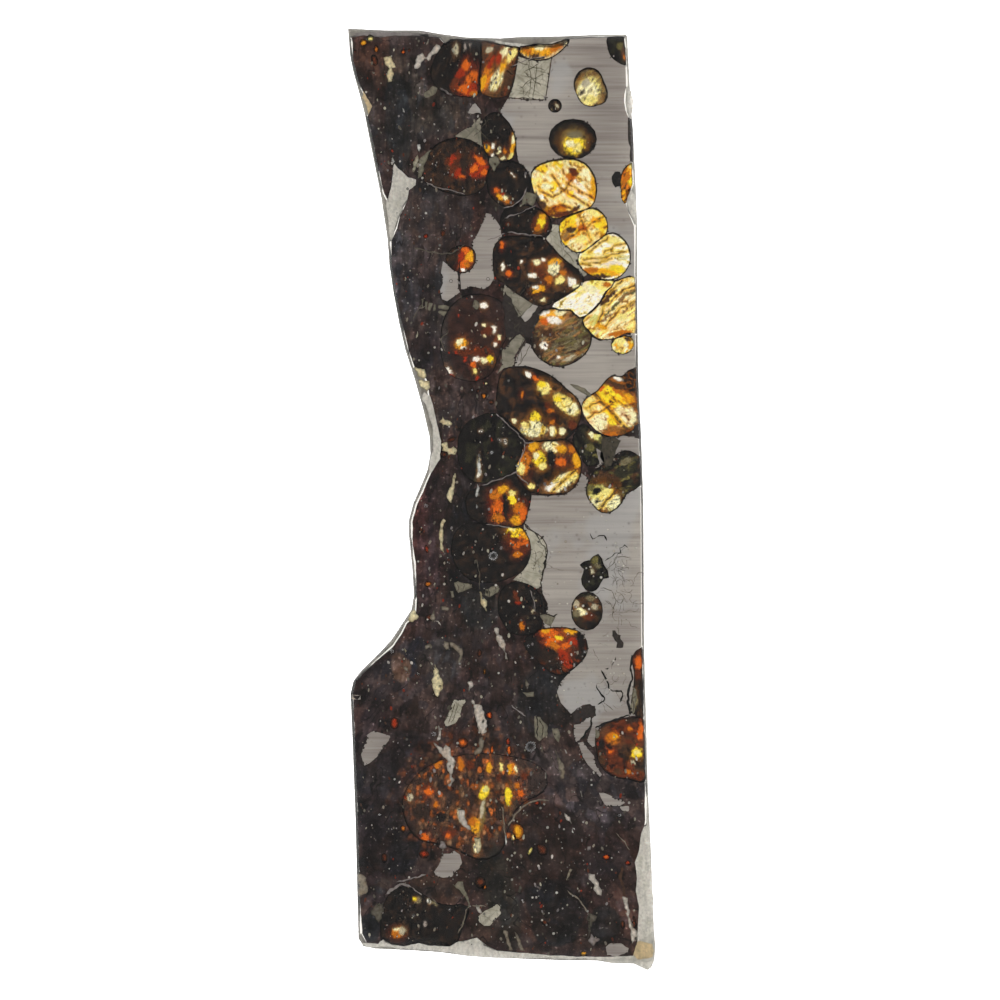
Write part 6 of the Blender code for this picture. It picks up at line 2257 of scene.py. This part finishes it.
@dataclass
class SmallGrains:
    """The grains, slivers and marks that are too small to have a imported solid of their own."""

    shelf: FinishShelf
    proud: float = 0.003
    step: float = 0.15
    fleck_count: int = 1500
    open_width: float = 0.85
    crack_rise: float = 2.0
    scrap_rise: float = 0.6
    scratch_rise: float = 1.3
    bite_rise: float = 1.7
    fleck_gap: float = 0.15
    fleck_tints: tuple[Tint, ...] = (T.PEARL, T.HAZE, T.LILAC, T.STONE, T.STONE, T.ASH, T.ASH,
                                     T.RUST, T.BROWN, T.RED)
    stride: float = 0.22
    whole_edge: float = 0.5
    rim_gap: float = 0.5
    skin: float = 0.05
    frost_inset: float = 0.03
    wedge_inset: float = 0.02
    frost_left: Colour = linear(158, 152, 141)
    frost_right: Colour = linear(226, 223, 212)

    def build_sparks(self, shut: Sequence[Loop]) -> list[Loop]:
        """Builds the small see-through grains.

        Args:
            shut: The outlines of the crystals, which stay clear of them.

        Returns:
            Their outlines, for the holes in the rock.
        """
        prisms = Prisms()
        holes = []
        for spark in SPARKS:
            outline = spark.outline()
            if any(inside(spot, loop) for loop in shut for spot in outline[::3]):
                continue
            holes.append(outline)
            prisms.add(grown(outline, 0.05), spark.painter(outline), 0.09)
        piece = prisms.stand("small_olivine_grains", ROCK_LOW + GRAIN_STEP, ROCK_HIGH - GRAIN_STEP)
        self.shelf.dress(piece, self.shelf.glass[Slot.AMBER], Slot.AMBER)
        return holes

    def stand(self, name: str, rows: Sequence[tuple[Loop, Colour]], slot: Slot, finish: Finish,
              edge: float = 0.55, rise: float = 1.0) -> bpy.types.Object:
        """Stands up a set of small painted outlines as one piece.

        Args:
            name: The piece's name.
            rows: Each outline and its colour.
            slot: The record's slot.
            finish: The finish.
            edge: The share of its colour that each keeps at its edge, where painted shade darkens it.
            rise: How many times the least height each stands proud.

        Returns:
            The piece.
        """
        prisms = Prisms()
        for loop, tint in rows:
            prisms.add(loop, mineral(loop, tint, edge, loop[0][0]), self.step)
        low, high = ROCK_LOW - self.proud * rise, ROCK_HIGH + self.proud * rise
        piece = prisms.stand(name, low, high)
        return self.shelf.dress(piece, finish, slot)

    def build_slivers(self) -> None:
        """Builds the pale slivers and the loose flakes of metal and troilite."""
        rows = []
        for tint, loop in SLIVERS:
            box = box_of(loop)
            narrow = min(box[2] - box[0], box[3] - box[1])
            rows.append((ragged(loop, min(0.26, 0.3 * narrow), 0.13, loop[0][0]), tint.value))
        self.stand("pale_slivers", rows, Slot.PALE, self.shelf.marks, 0.4)
        for slot, found in FLAKES.items():
            rows = [(ragged(loop, 0.16, 0.16, loop[0][0]), tint.value) for tint, loop in found]
            finish = self.shelf.metal if slot is Slot.METAL else self.shelf.marks
            self.stand(f"small_{slot.value}_grains", rows, slot, finish, 0.7)

    def build_lines(self) -> None:
        """Builds the pale healed fissures in the rock and the open cracks in the metal."""
        chance = random.Random(5)
        rows = [(self.line(width, flat, chance), tint.value) for tint, width, flat in FISSURES]
        self.stand("healed_fissures", rows, Slot.PALE, self.shelf.marks, 0.8)
        rows = []
        for width, flat in CRACKS:
            tint = Tint.SOOT if width >= self.open_width else Tint.SCORE
            rows.append((self.line(width, flat, chance), tint.value))
        self.stand("open_cracks", rows, Slot.ROCK, self.shelf.marks, 1.0, self.crack_rise)

    def line(self, width: float, flat: tuple[float, ...], chance: random.Random) -> Loop:
        """Outlines a wandering line of uneven width.

        Args:
            width: Its mean width on the sheet.
            flat: Its places on the sheet, x and y in turn.
            chance: The source of random numbers.

        Returns:
            Its outline in plan.
        """
        spots = [on_sheet(*pair) for pair in zip(flat[::2], flat[1::2])]
        spots = meander(spots, 0.22, 0.16, flat[0])
        wide = [width / SHEET_UNITS_PER_MM * chance.uniform(0.55, 1.35) for _ in spots]
        wide[0] = wide[-1] = 0.02
        return ribbon(spots, wide)

    def build_flecks(self, edge: Loop, shut: Sequence[Loop]) -> None:
        """Strews tiny pale and rusty flecks over the rock.

        Args:
            edge: The outline of the cut.
            shut: Outlines that stay clear of them.
        """
        chance = random.Random(23)
        left, low, right, high = box_of(edge)
        border = Border([edge])
        boxes = [box_of(loop) for loop in shut]
        prisms = Prisms()
        made = 0
        while made < self.fleck_count:
            spot = (chance.uniform(left, right), chance.uniform(low, high))
            closed = any(
                box[0] < spot[0] < box[2] and box[1] < spot[1] < box[3] and inside(spot, loop)
                for box, loop in zip(boxes, shut)
            )
            if closed or border.gap(spot) < self.fleck_gap or not inside(spot, edge):
                continue
            made += 1
            size = 0.035 + 0.1 * chance.random() ** 3
            long_way = size * chance.uniform(1.0, 2.2)
            loop = ragged(ellipse(spot, (long_way, size), chance.uniform(60, 120), 6), 0.04, 0.1, spot[0])
            tint = chance.choice(self.fleck_tints).value
            light = chance.uniform(0.5, 1.1)
            tint = scaled(tint, light, light, light)
            prisms.add(loop, lambda _, tint=tint: (tint, 0.0), 1.0)
        piece = prisms.stand("rock_flecks", ROCK_LOW - self.proud, ROCK_HIGH + self.proud)
        self.shelf.dress(piece, self.shelf.marks, Slot.ROCK)

    def build_scraps(self) -> None:
        """Builds the dark scraps of rock that stick in the metal."""
        rows = [(ragged(loop, 0.14, 0.13, loop[0][0]), tint.value) for tint, loop in SCRAPS]
        self.stand("dark_scraps", rows, Slot.ROCK, self.shelf.marks, 0.7, self.scrap_rise)

    def build_scratches(self) -> None:
        """Strews fine curling scratches over the worn parts of the metal and the troilite."""
        chance = random.Random(47)
        rows = []
        for x, y, half_width, half_height, count in WORN:
            for _ in range(count):
                spot = strewn_spot(x, y, half_width, half_height, chance)
                way = chance.uniform(0, 2 * math.pi)
                line = [spot]
                for _ in range(chance.randint(3, 8)):
                    way += chance.uniform(-0.8, 0.8)
                    spot = (spot[0] + self.stride * math.cos(way), spot[1] + self.stride * math.sin(way))
                    line.append(spot)
                loop = ribbon(line, [chance.uniform(0.012, 0.045) for _ in line])
                rows.append((loop, Tint.SCORE.value))
        self.stand("fine_scratches", rows, Slot.ROCK, self.shelf.marks, 1.0, self.scratch_rise)

    def build_bites(self, loops: Sequence[Loop]) -> None:
        """Eats small dark bites into the edges of the metal and the troilite.

        Args:
            loops: Their outlines in plan.
        """
        chance = random.Random(61)
        prisms = Prisms()
        rim = Border([coat_loops()[1]])
        for loop in loops:
            for x, y in resampled(loop, 0.3):
                if chance.random() < self.whole_edge or rim.gap((x, y)) < self.rim_gap:
                    continue
                spot = (x + chance.uniform(-0.06, 0.06), y + chance.uniform(-0.06, 0.06))
                half = (chance.uniform(0.05, 0.17), chance.uniform(0.03, 0.08))
                bite = ragged(ellipse(spot, half, chance.uniform(0, 180), 8), 0.08, 0.08, x)
                light = chance.uniform(0.4, 1.2)
                tint = scaled(Tint.CINDER.value, light, light, light)
                prisms.add(bite, lambda _, tint=tint: (tint, 0.0), 1.0)
        rise = self.proud * self.bite_rise
        piece = prisms.stand("corroded_bites", ROCK_LOW - rise, ROCK_HIGH + rise)
        self.shelf.dress(piece, self.shelf.marks, Slot.ROCK)

    def build_frost(self) -> None:
        """Builds the sanded band of the coat between the pocket and the clear outer skin."""
        coat = coat_loops()
        outer = grown(resampled(coat[0], 0.4), -self.skin)
        pocket = grown(resampled(coat[1], 0.4), self.skin)
        border = Border([outer])

        def paint(spot: Point) -> tuple[Colour, float]:
            """Gives the colour and the share of cracks at a place.

            Args:
                spot: The place in plan.

            Returns:
                The colour and the share.
            """
            cloud = noise.noise(Vector((spot[0] * 0.7, spot[1] * 0.7, 3.0)))
            fine = noise.noise(Vector((spot[0] * 4.0, spot[1] * 2.0, 6.0)))
            light = 0.85 + 0.35 * cloud + 0.25 * fine
            light += (1.1 - light) * ease(0.16, 0.0, border.gap(spot))
            colour = mixed(self.frost_left, self.frost_right, ease(7.0, 12.0, spot[0]))
            return scaled(colour, light, light, light), 0.0

        prisms = Prisms()
        prisms.add(outer, paint, self.step, [pocket])
        piece = prisms.stand("frosted_edge", ROCK_LOW + self.frost_inset, ROCK_HIGH - self.frost_inset)
        self.shelf.dress(piece, self.shelf.cloudy, Slot.RESIN)

    def build_wedges(self) -> None:
        """Builds the cloudy wedges in the rim of the coat."""
        prisms = Prisms()
        for tint, loop in WEDGES:
            rough = ragged(loop, 0.09, 0.15, loop[0][0])
            prisms.add(rough, mineral(rough, tint.value, 0.8, loop[0][0]), self.step)
        piece = prisms.stand("cloudy_wedges", ROCK_LOW + self.wedge_inset, ROCK_HIGH - self.wedge_inset)
        self.shelf.dress(piece, self.shelf.cloudy, Slot.RESIN)


@dataclass
class RockBody:
    """The weathered rock between the grains, with its zones of colour and its dark grains."""

    shelf: FinishShelf
    flow: Flow = Flow(stretch=2.4, fan=True)
    shard: float = 0.8
    rust_shard: float = 0.34
    step: float = 0.19
    reach: float = 0.05
    ground: Colour = linear(66, 52, 50)
    soft: list[Zone] = field(default_factory=lambda: zones(
        (372, 60, 14, 22, 10, (96, 66, 54)), (392, 70, 14, 20, 0, (74, 64, 58)),
        (432, 110, 30, 22, 0, (80, 74, 70)), (372, 120, 10, 40, 5, (68, 62, 62)),
        (415, 100, 12, 30, 0, (80, 77, 76)), (430, 210, 30, 26, 0, (76, 69, 68)),
        (405, 270, 22, 60, 0, (80, 75, 78)), (425, 345, 24, 34, 0, (76, 70, 70)),
        (400, 250, 10, 40, 0, (78, 75, 77)), (440, 270, 12, 30, 0, (62, 60, 60)),
        (455, 400, 34, 22, 0, (88, 78, 76)), (495, 385, 14, 18, 0, (92, 66, 58)),
        (425, 545, 14, 70, 0, (74, 58, 60)), (420, 530, 8, 40, 0, (92, 52, 48)),
        (465, 545, 22, 60, 0, (48, 44, 44)), (455, 620, 30, 25, 0, (72, 60, 58)),
        (400, 665, 24, 20, 30, (60, 56, 58)), (375, 700, 20, 40, 0, (58, 50, 52)),
        (420, 700, 34, 36, 0, (80, 66, 64)), (485, 690, 40, 70, -10, (64, 54, 53)),
        (370, 800, 18, 60, 0, (50, 46, 50)), (385, 850, 22, 40, 0, (52, 44, 44)),
        (560, 770, 42, 40, -30, (84, 74, 74)), (600, 800, 44, 32, 0, (84, 74, 75)),
        (590, 860, 40, 40, 0, (70, 56, 54)), (540, 880, 44, 30, 0, (54, 46, 45)),
        (500, 930, 44, 20, 20, (66, 54, 51)), (545, 720, 24, 50, 20, (60, 56, 54)),
        (625, 900, 14, 60, 0, (88, 64, 58)), (445, 880, 30, 25, 0, (70, 56, 52)),
        (620, 780, 30, 20, 0, (62, 56, 58)), (560, 940, 50, 12, 0, (70, 56, 52)),
    ))
    grains: list[Zone] = field(default_factory=lambda: zones(
        (398, 122, 13, 50, 4, (58, 57, 58)), (438, 214, 34, 34, 0, (68, 62, 62)),
        (470, 560, 24, 62, 4, (40, 37, 38)), (417, 657, 12, 20, -10, (52, 51, 58)),
        (400, 668, 10, 15, 10, (108, 86, 74)), (440, 662, 22, 26, -40, (66, 60, 60)),
        (480, 610, 20, 20, 0, (54, 52, 52)), (545, 700, 26, 34, -20, (54, 52, 50)),
        (555, 690, 30, 50, -32, (46, 44, 45)), (545, 845, 44, 42, 0, (58, 46, 43)),
        (605, 858, 26, 20, 0, (54, 44, 44)), (556, 905, 32, 24, -20, (42, 40, 42)),
        (555, 925, 24, 22, 0, (46, 44, 44)), (605, 925, 16, 20, 0, (48, 45, 45)),
        (392, 838, 26, 38, 20, (44, 40, 42)), (370, 928, 10.5, 15, 0, (40, 40, 42)),
        (382, 886, 9, 8, 0, (62, 58, 58)), (500, 895, 16, 60, 14, (54, 50, 46)),
        (485, 930, 14, 20, -30, (66, 54, 49)), (432, 895, 26, 20, 0, (72, 58, 52)),
        (585, 714, 12, 9, 40, (74, 66, 62)), (600, 727, 22, 7, 20, (78, 70, 70)),
        (458, 350, 8, 10, 0, (76, 58, 52)), (437, 330, 14, 12, 0, (72, 64, 62)),
        (425, 352, 16, 22, 0, (56, 50, 52)), (500, 190, 12, 20, 0, (62, 54, 48)),
        (530, 186, 14, 12, 0, (52, 48, 44)), (612, 640, 5, 6, 0, (92, 80, 76)),
        (392, 760, 40, 26, 30, (52, 47, 49)), (560, 700, 20, 30, 0, (46, 43, 43)),
        (477, 338, 30, 44, 0, (66, 46, 42)),
    ))
    metal_corner: Point = (11.5, -23.0)
    # Draw above which a rusty grain is painted much brighter, as a painted glint.
    glint: float = 0.9
    rusty: Zone = Zone(466, 796, 70, 64, 0, linear(110, 76, 58))
    rust_tints: tuple[Colour, ...] = (
        linear(122, 88, 66), linear(96, 68, 54), linear(150, 84, 46), linear(84, 62, 52),
        linear(130, 102, 80), linear(74, 54, 48), linear(176, 100, 48), linear(64, 50, 46),
    )

    def rust(self, spot: Point, u: float, v: float) -> Colour:
        """Picks the colour of a small grain in the rusty part, with a few grains brightened as painted
        glints.

        Args:
            spot: The place in plan.
            u: The place along the streaks.
            v: The place across them.

        Returns:
            The colour.
        """
        near, draw, _ = shard_at(u / self.rust_shard, v / self.rust_shard)
        tint = self.rust_tints[int(abs(draw.x) * 97) % len(self.rust_tints)]
        light = (0.45 + 0.7 * abs(draw.y)) * (0.4 + 0.75 * ease(0.0, 0.35, near))
        # Painted glint: a few random grains are painted much brighter.
        if abs(draw.z) > self.glint:
            light *= 1.9
        return scaled(tint, light, light, light)

    def paint(self, spot: Point) -> tuple[Colour, float]:
        """Gives the rock's colour at a place.

        Args:
            spot: The place in plan.

        Returns:
            The colour, and 0 for its cracks.
        """
        u, v = self.flow.at(spot)
        bend = noise.noise(Vector((u * 0.9, v * 0.9, 2.0)))
        swing = noise.noise(Vector((u * 0.9, v * 0.9, 8.0)))
        moved = (spot[0] + 0.22 * bend, spot[1] + 0.22 * swing)
        total, weight = [value * 0.15 for value in self.ground], 0.15
        for zone in self.soft:
            reach = zone.reach(moved)
            if reach < 2.2:
                share = math.exp(-1.6 * reach * reach)
                weight += share
                for index in range(3):
                    total[index] += zone.tint[index] * share
        colour = (total[0] / weight, total[1] / weight, total[2] / weight)
        near, draw, _ = shard_at(u / self.shard + bend * 0.6, v / self.shard + swing * 0.6)
        light = (0.5 + 0.7 * abs(draw.y)) * (0.55 if abs(draw.x) > 0.75 else 1.0)
        warm = 0.9 + 0.24 * abs(draw.z)
        for grain in self.grains:
            reach = grain.reach(moved)
            if reach < 1.1:
                share = ease(1.05, 0.95, reach)
                colour = mixed(colour, grain.tint, share)
                light += (0.85 - light) * 0.6 * share
        light *= 0.72 + 0.28 * ease(0.0, 0.14, near)
        colour = scaled(colour, light * warm, light, light / warm)
        share = ease(1.15, 0.55, self.rusty.reach(moved) + 0.35 * bend)
        if share > 0.0:
            colour = mixed(colour, self.rust(spot, u, v), share)
        return colour, 0.0

    def edge(self) -> Loop:
        """Gives the outline of the whole cut: the side of the pocket in the coat.

        Returns:
            The outline in plan.
        """
        pocket = resampled(coat_loops()[1], 0.4)
        left, low = self.metal_corner
        near, far = grown(pocket, -0.1), grown(pocket, -0.45)
        shared = [b if a[0] > left and a[1] > low else a for a, b in zip(near, far)]
        return ragged(shared, self.reach, 0.25, 7.0)

    def build(self, edge: Loop, holes: Sequence[Loop]) -> bpy.types.Object:
        """Builds and dresses the rock.

        Args:
            edge: The outline of the cut.
            holes: The outlines of the grains that pass light.

        Returns:
            The rock's object.
        """
        prisms = Prisms(self.flow)
        prisms.add(edge, self.paint, self.step, holes)
        rock = prisms.stand("rock_matrix", ROCK_LOW + SKIN_STEP, ROCK_HIGH - SKIN_STEP)
        return self.shelf.dress(rock, self.shelf.rock, Slot.ROCK, "weathered_rock")


# The coat, the fields of metal and the stage


@dataclass
class ResinCoat:
    """The clear coat around everything, with a soft edge, a wavy face and gas bubbles."""

    shelf: FinishShelf
    spacing: float = 1.1
    wave: float = 0.012
    profile: tuple[tuple[float, float], ...] = (
        (0.0, 0.3), (0.03, 0.16), (0.12, 0.06), (0.3, 0.01), (0.6, 0.0), (1.3, 0.0),
        (2.0, 0.0), (2.3, 0.01), (2.48, 0.07), (2.57, 0.17), (2.6, 0.32),
    )
    bubble_level: float = 2.44
    bubble_height: float = 0.12
    speck_low: float = 2.36
    speck_high: float = 2.4
    speck_gap: float = 0.05
    speck_inset: float = 0.6
    crystal_light: float = 0.35
    strewn: tuple[tuple[float, float, float, float, int], ...] = (
        (500, 500, 145, 460, 190), (588, 560, 52, 58, 100), (588, 670, 38, 40, 90),
        (430, 215, 34, 40, 24), (555, 320, 50, 20, 10), (470, 560, 30, 60, 20),
        (530, 870, 100, 70, 60),
    )
    points: list[tuple[float, float, float]] = field(default_factory=list)
    faces: list[tuple[int, ...]] = field(default_factory=list)

    def build(self) -> bpy.types.Object:
        """Builds and dresses the coat.

        Returns:
            The coat's object.
        """
        edge = resampled(coat_loops()[0], 0.5)
        count = len(edge)
        rings = [(height, grown(edge, -pull)) for height, pull in self.profile]
        self.points = [(x, y, height) for height, ring in rings for x, y in ring]
        for level in range(len(rings) - 1):
            base = level * count
            for index in range(count):
                after = (index + 1) % count
                self.faces.append(
                    (base + index, base + after, base + count + after, base + count + index)
                )
        self.cap(rings[0][1], 0, False)
        self.cap(rings[-1][1], (len(rings) - 1) * count, True)
        self.add_bubbles(edge)
        mesh = bpy.data.meshes.new("resin_coat")
        mesh.from_pydata([(x * MM, y * MM, z * MM) for x, y, z in self.points], [], self.faces)
        mesh.polygons.foreach_set("use_smooth", [True] * len(mesh.polygons))
        mesh.update()
        coat = bpy.data.objects.new("resin_coat", mesh)
        bpy.context.scene.collection.objects.link(coat)
        return self.shelf.dress(coat, self.shelf.resin, Slot.RESIN, COAT_SOLID, "resin_coat_upper")

    def cap(self, ring: Loop, first: int, upward: bool) -> None:
        """Closes one end of the coat.

        Args:
            ring: The end ring in plan.
            first: The number of the ring's first point.
            upward: Whether this is the upper end, which is wavy.
        """
        xs, ys = [p[0] for p in ring], [p[1] for p in ring]
        spots = []
        y = min(ys)
        while y < max(ys):
            x = min(xs)
            while x < max(xs):
                if inside((x, y), ring) and distance_to((x, y), ring) > self.spacing * 0.4:
                    spots.append((x, y))
                x += self.spacing
            y += self.spacing
        given = [Vector(point) for point in [*ring, *spots]]
        solved = delaunay_2d_cdt(given, [], [list(range(len(ring)))], 1, 1e-6)
        height = self.points[first][2]
        numbers = []
        for spot, origins in zip(solved[0], solved[3]):
            if origins and origins[0] < len(ring):
                numbers.append(first + origins[0])
                continue
            wave = noise.noise(Vector((spot.x * 0.22, spot.y * 0.22, 5.0))) if upward else 0.0
            numbers.append(len(self.points))
            self.points.append((spot.x, spot.y, height + (wave - 0.6) * self.wave * upward))
        for face in solved[2]:
            corners = [numbers[index] for index in face]
            self.faces.append(tuple(corners if upward else corners[::-1]))

    def add_bubbles(self, edge: Loop) -> None:
        """Leaves the larger gas bubbles open inside the coat, above the cut face, and paints the smallest
        as pale dots of painted highlight.

        Args:
            edge: The coat's outline in plan.
        """
        for x, y, radius in RINGS:
            self.bubble(on_sheet(x, y), radius / SHEET_UNITS_PER_MM, 18, 9)
        chance = random.Random(31)
        taken = [(*on_sheet(x, y), radius / SHEET_UNITS_PER_MM) for x, y, radius in RINGS]
        for cx, cy, half_width, half_height, count in self.strewn:
            for _ in range(count):
                spot = strewn_spot(cx, cy, half_width, half_height, chance)
                radius = 0.05 + 0.1 * chance.random() ** 2
                free = all(math.hypot(spot[0] - x, spot[1] - y) > r + radius + self.speck_gap
                           for x, y, r in taken)
                if free and inside(spot, edge) and distance_to(spot, edge) > self.speck_inset:
                    taken.append((*spot, radius))
        self.build_specks(taken[len(RINGS):])

    def build_specks(self, rows: Sequence[tuple[float, float, float]]) -> None:
        """Builds the smallest bubbles as opaque pale dots: a painted highlight, with painted shade at the
        edge.

        Args:
            rows: The middle and radius of each, in millimetres.
        """
        prisms = Prisms()
        chance = random.Random(37)
        crystals = [loops_of(crystal.node, ROCK_HIGH)[0] for crystal in CRYSTALS]
        metals = [loops_of(name, ROCK_HIGH)[0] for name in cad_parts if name.startswith("metal_")]
        for x, y, radius in rows:
            # Painted highlight brightness: brighter over the metal; over the crystals only the dim dots are
            # kept.
            light = chance.uniform(0.3, 1.0) ** 1.5
            if any(inside((x, y), loop) for loop in metals):
                light = 0.8 + 0.2 * light
            elif any(inside((x, y), loop) for loop in crystals) and light > self.crystal_light:
                continue
            loop = ellipse((x, y), (radius, radius), 0.0, 9)
            tint = scaled(Tint.FROST.value, light, light, light)
            prisms.add(loop, mineral(loop, tint, 0.4, x), radius * 0.7)
        piece = prisms.stand("resin_specks", self.speck_low, self.speck_high)
        self.shelf.dress(piece, self.shelf.marks, Slot.RESIN)

    def bubble(self, spot: Point, radius: float, around: int, levels: int) -> None:
        """Adds one bubble, as a hollow whose faces look inwards.

        Args:
            spot: Its middle in plan.
            radius: Its radius in plan.
            around: The number of its sides.
            levels: The number of its bands from pole to pole.
        """
        tall = min(radius, self.bubble_height)
        first = len(self.points)
        for level in range(1, levels):
            angle = math.pi * level / levels
            for side in range(around):
                turn = 2 * math.pi * side / around
                self.points.append((
                    spot[0] + radius * math.sin(angle) * math.cos(turn),
                    spot[1] + radius * math.sin(angle) * math.sin(turn),
                    self.bubble_level + tall * math.cos(angle),
                ))
        top, bottom = len(self.points), len(self.points) + 1
        self.points.append((*spot, self.bubble_level + tall))
        self.points.append((*spot, self.bubble_level - tall))
        for level in range(levels - 2):
            base = first + level * around
            for side in range(around):
                after = (side + 1) % around
                self.faces.append((base + side, base + after, base + around + after,
                                   base + around + side))
        last = first + (levels - 2) * around
        for side in range(around):
            after = (side + 1) % around
            self.faces.append((first + after, first + side, top))
            self.faces.append((last + side, last + after, bottom))


@dataclass
class SlabMetals:
    """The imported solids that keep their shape: the metal and troilite fields."""

    shelf: FinishShelf
    worn_nodes: tuple[str, ...] = ("troilite_triangle", "troilite_fang", "troilite_middle")

    def outlines(self) -> list[Loop]:
        """Gives their outlines in plan."""
        names = [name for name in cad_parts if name.startswith(("metal_", "troilite_"))]
        return [loop for name in names for loop in loops_of(name, ROCK_HIGH)[:1]]

    def build(self) -> None:
        """Dresses each of them."""
        for name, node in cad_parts.items():
            finish = None
            if name.startswith("metal_"):
                finish = self.shelf.metal
            elif name in self.worn_nodes:
                finish = self.shelf.worn
            elif name.startswith("troilite_"):
                finish = self.shelf.troilite
            if finish is None:
                continue
            for index in range(len(node.material_slots)):
                node.material_slots[index].material = self.shelf.take(finish)
            log.info("%s: kept, dressed as %s", name, finish.name)


@dataclass
class Stage:
    """The pale floor, the soft light and the camera."""

    floor_half: float = 1.5
    floor_grey: float = 0.25
    floor_drop: float = 0.00004
    glow: float = 1.95
    zenith: float = 0.12
    side_sky: float = 2.2
    low_sky: float = 1.2
    lens: float = 100.0
    sensor: float = 36.0
    view_width: float = 0.1

    def build(self) -> None:
        """Builds the floor, lights and camera."""
        self.build_floor()
        self.build_sky()
        self.build_camera()

    def build_floor(self) -> None:
        """Lays a pale floor that glows softly, as a light table does."""
        half = self.floor_half
        mesh = bpy.data.meshes.new("floor")
        corners = [(-half, -half, 0.0), (half, -half, 0.0), (half, half, 0.0), (-half, half, 0.0)]
        mesh.from_pydata(corners, [], [(0, 1, 2, 3)])
        floor = bpy.data.objects.new("floor", mesh)
        floor.location.z = -self.floor_drop
        bpy.context.scene.collection.objects.link(floor)
        material = bpy.data.materials.new("pale_floor")
        material.use_nodes = True
        shader = material.node_tree.nodes["Principled BSDF"]
        shader.inputs["Base Color"].default_value = (*[self.floor_grey] * 3, 1.0)
        shader.inputs["Roughness"].default_value = 0.8
        shader.inputs["Emission Color"].default_value = (1.0, 1.0, 0.99, 1.0)
        shader.inputs["Emission Strength"].default_value = self.glow
        mesh.materials.append(material)

    def build_sky(self) -> None:
        """Sets a soft ring of light around the slab, dark straight above it."""
        world = bpy.data.worlds.new("studio")
        world.use_nodes = True
        sheet = NodeSheet(world.node_tree)
        parts = sheet.node("ShaderNodeSeparateXYZ")
        sheet.feed(parts, 0, sheet.node("ShaderNodeTexCoord").outputs["Generated"])
        stops = ((0.0, self.low_sky), (0.4, self.side_sky), (0.84, self.side_sky),
                 (0.955, self.zenith * 4), (0.985, self.zenith))
        sky = sheet.ramp(parts.outputs["Z"], stops)
        sheet.feed(world.node_tree.nodes["Background"], "Color", sky)
        bpy.context.scene.world = world

    def build_camera(self) -> None:
        """Hangs the camera straight above the slab, with +Y up in the picture."""
        data = bpy.data.cameras.new("camera")
        data.lens = self.lens
        data.sensor_width = self.sensor
        camera = bpy.data.objects.new("camera", data)
        middle = on_sheet(500.0, 500.0)
        away = self.view_width * self.lens / self.sensor
        camera.location = (middle[0] * MM, middle[1] * MM, away + SLAB_HIGH * MM)
        data.clip_start, data.clip_end = 0.01, 10.0
        bpy.context.scene.collection.objects.link(camera)
        bpy.context.scene.camera = camera


def main() -> None:
    """Builds the sub-assemblies in order."""
    bpy.context.scene.view_settings.view_transform = "Standard"
    shelf = FinishShelf()
    Stage().build()
    rock = RockBody(shelf)
    edge = rock.edge()
    olivine = OlivineField(shelf, rock.paint)
    olivine.build()
    grains = SmallGrains(shelf)
    sparks = grains.build_sparks(olivine.holes)
    rock.build(edge, olivine.holes + sparks)
    metals = SlabMetals(shelf)
    metals.build()
    grains.build_slivers()
    grains.build_lines()
    grains.build_flecks(edge, metals.outlines() + sparks + olivine.bright)
    grains.build_scraps()
    grains.build_scratches()
    grains.build_bites(metals.outlines())
    grains.build_wedges()
    grains.build_frost()
    ResinCoat(shelf).build()


if __name__ == "__main__":
    main()
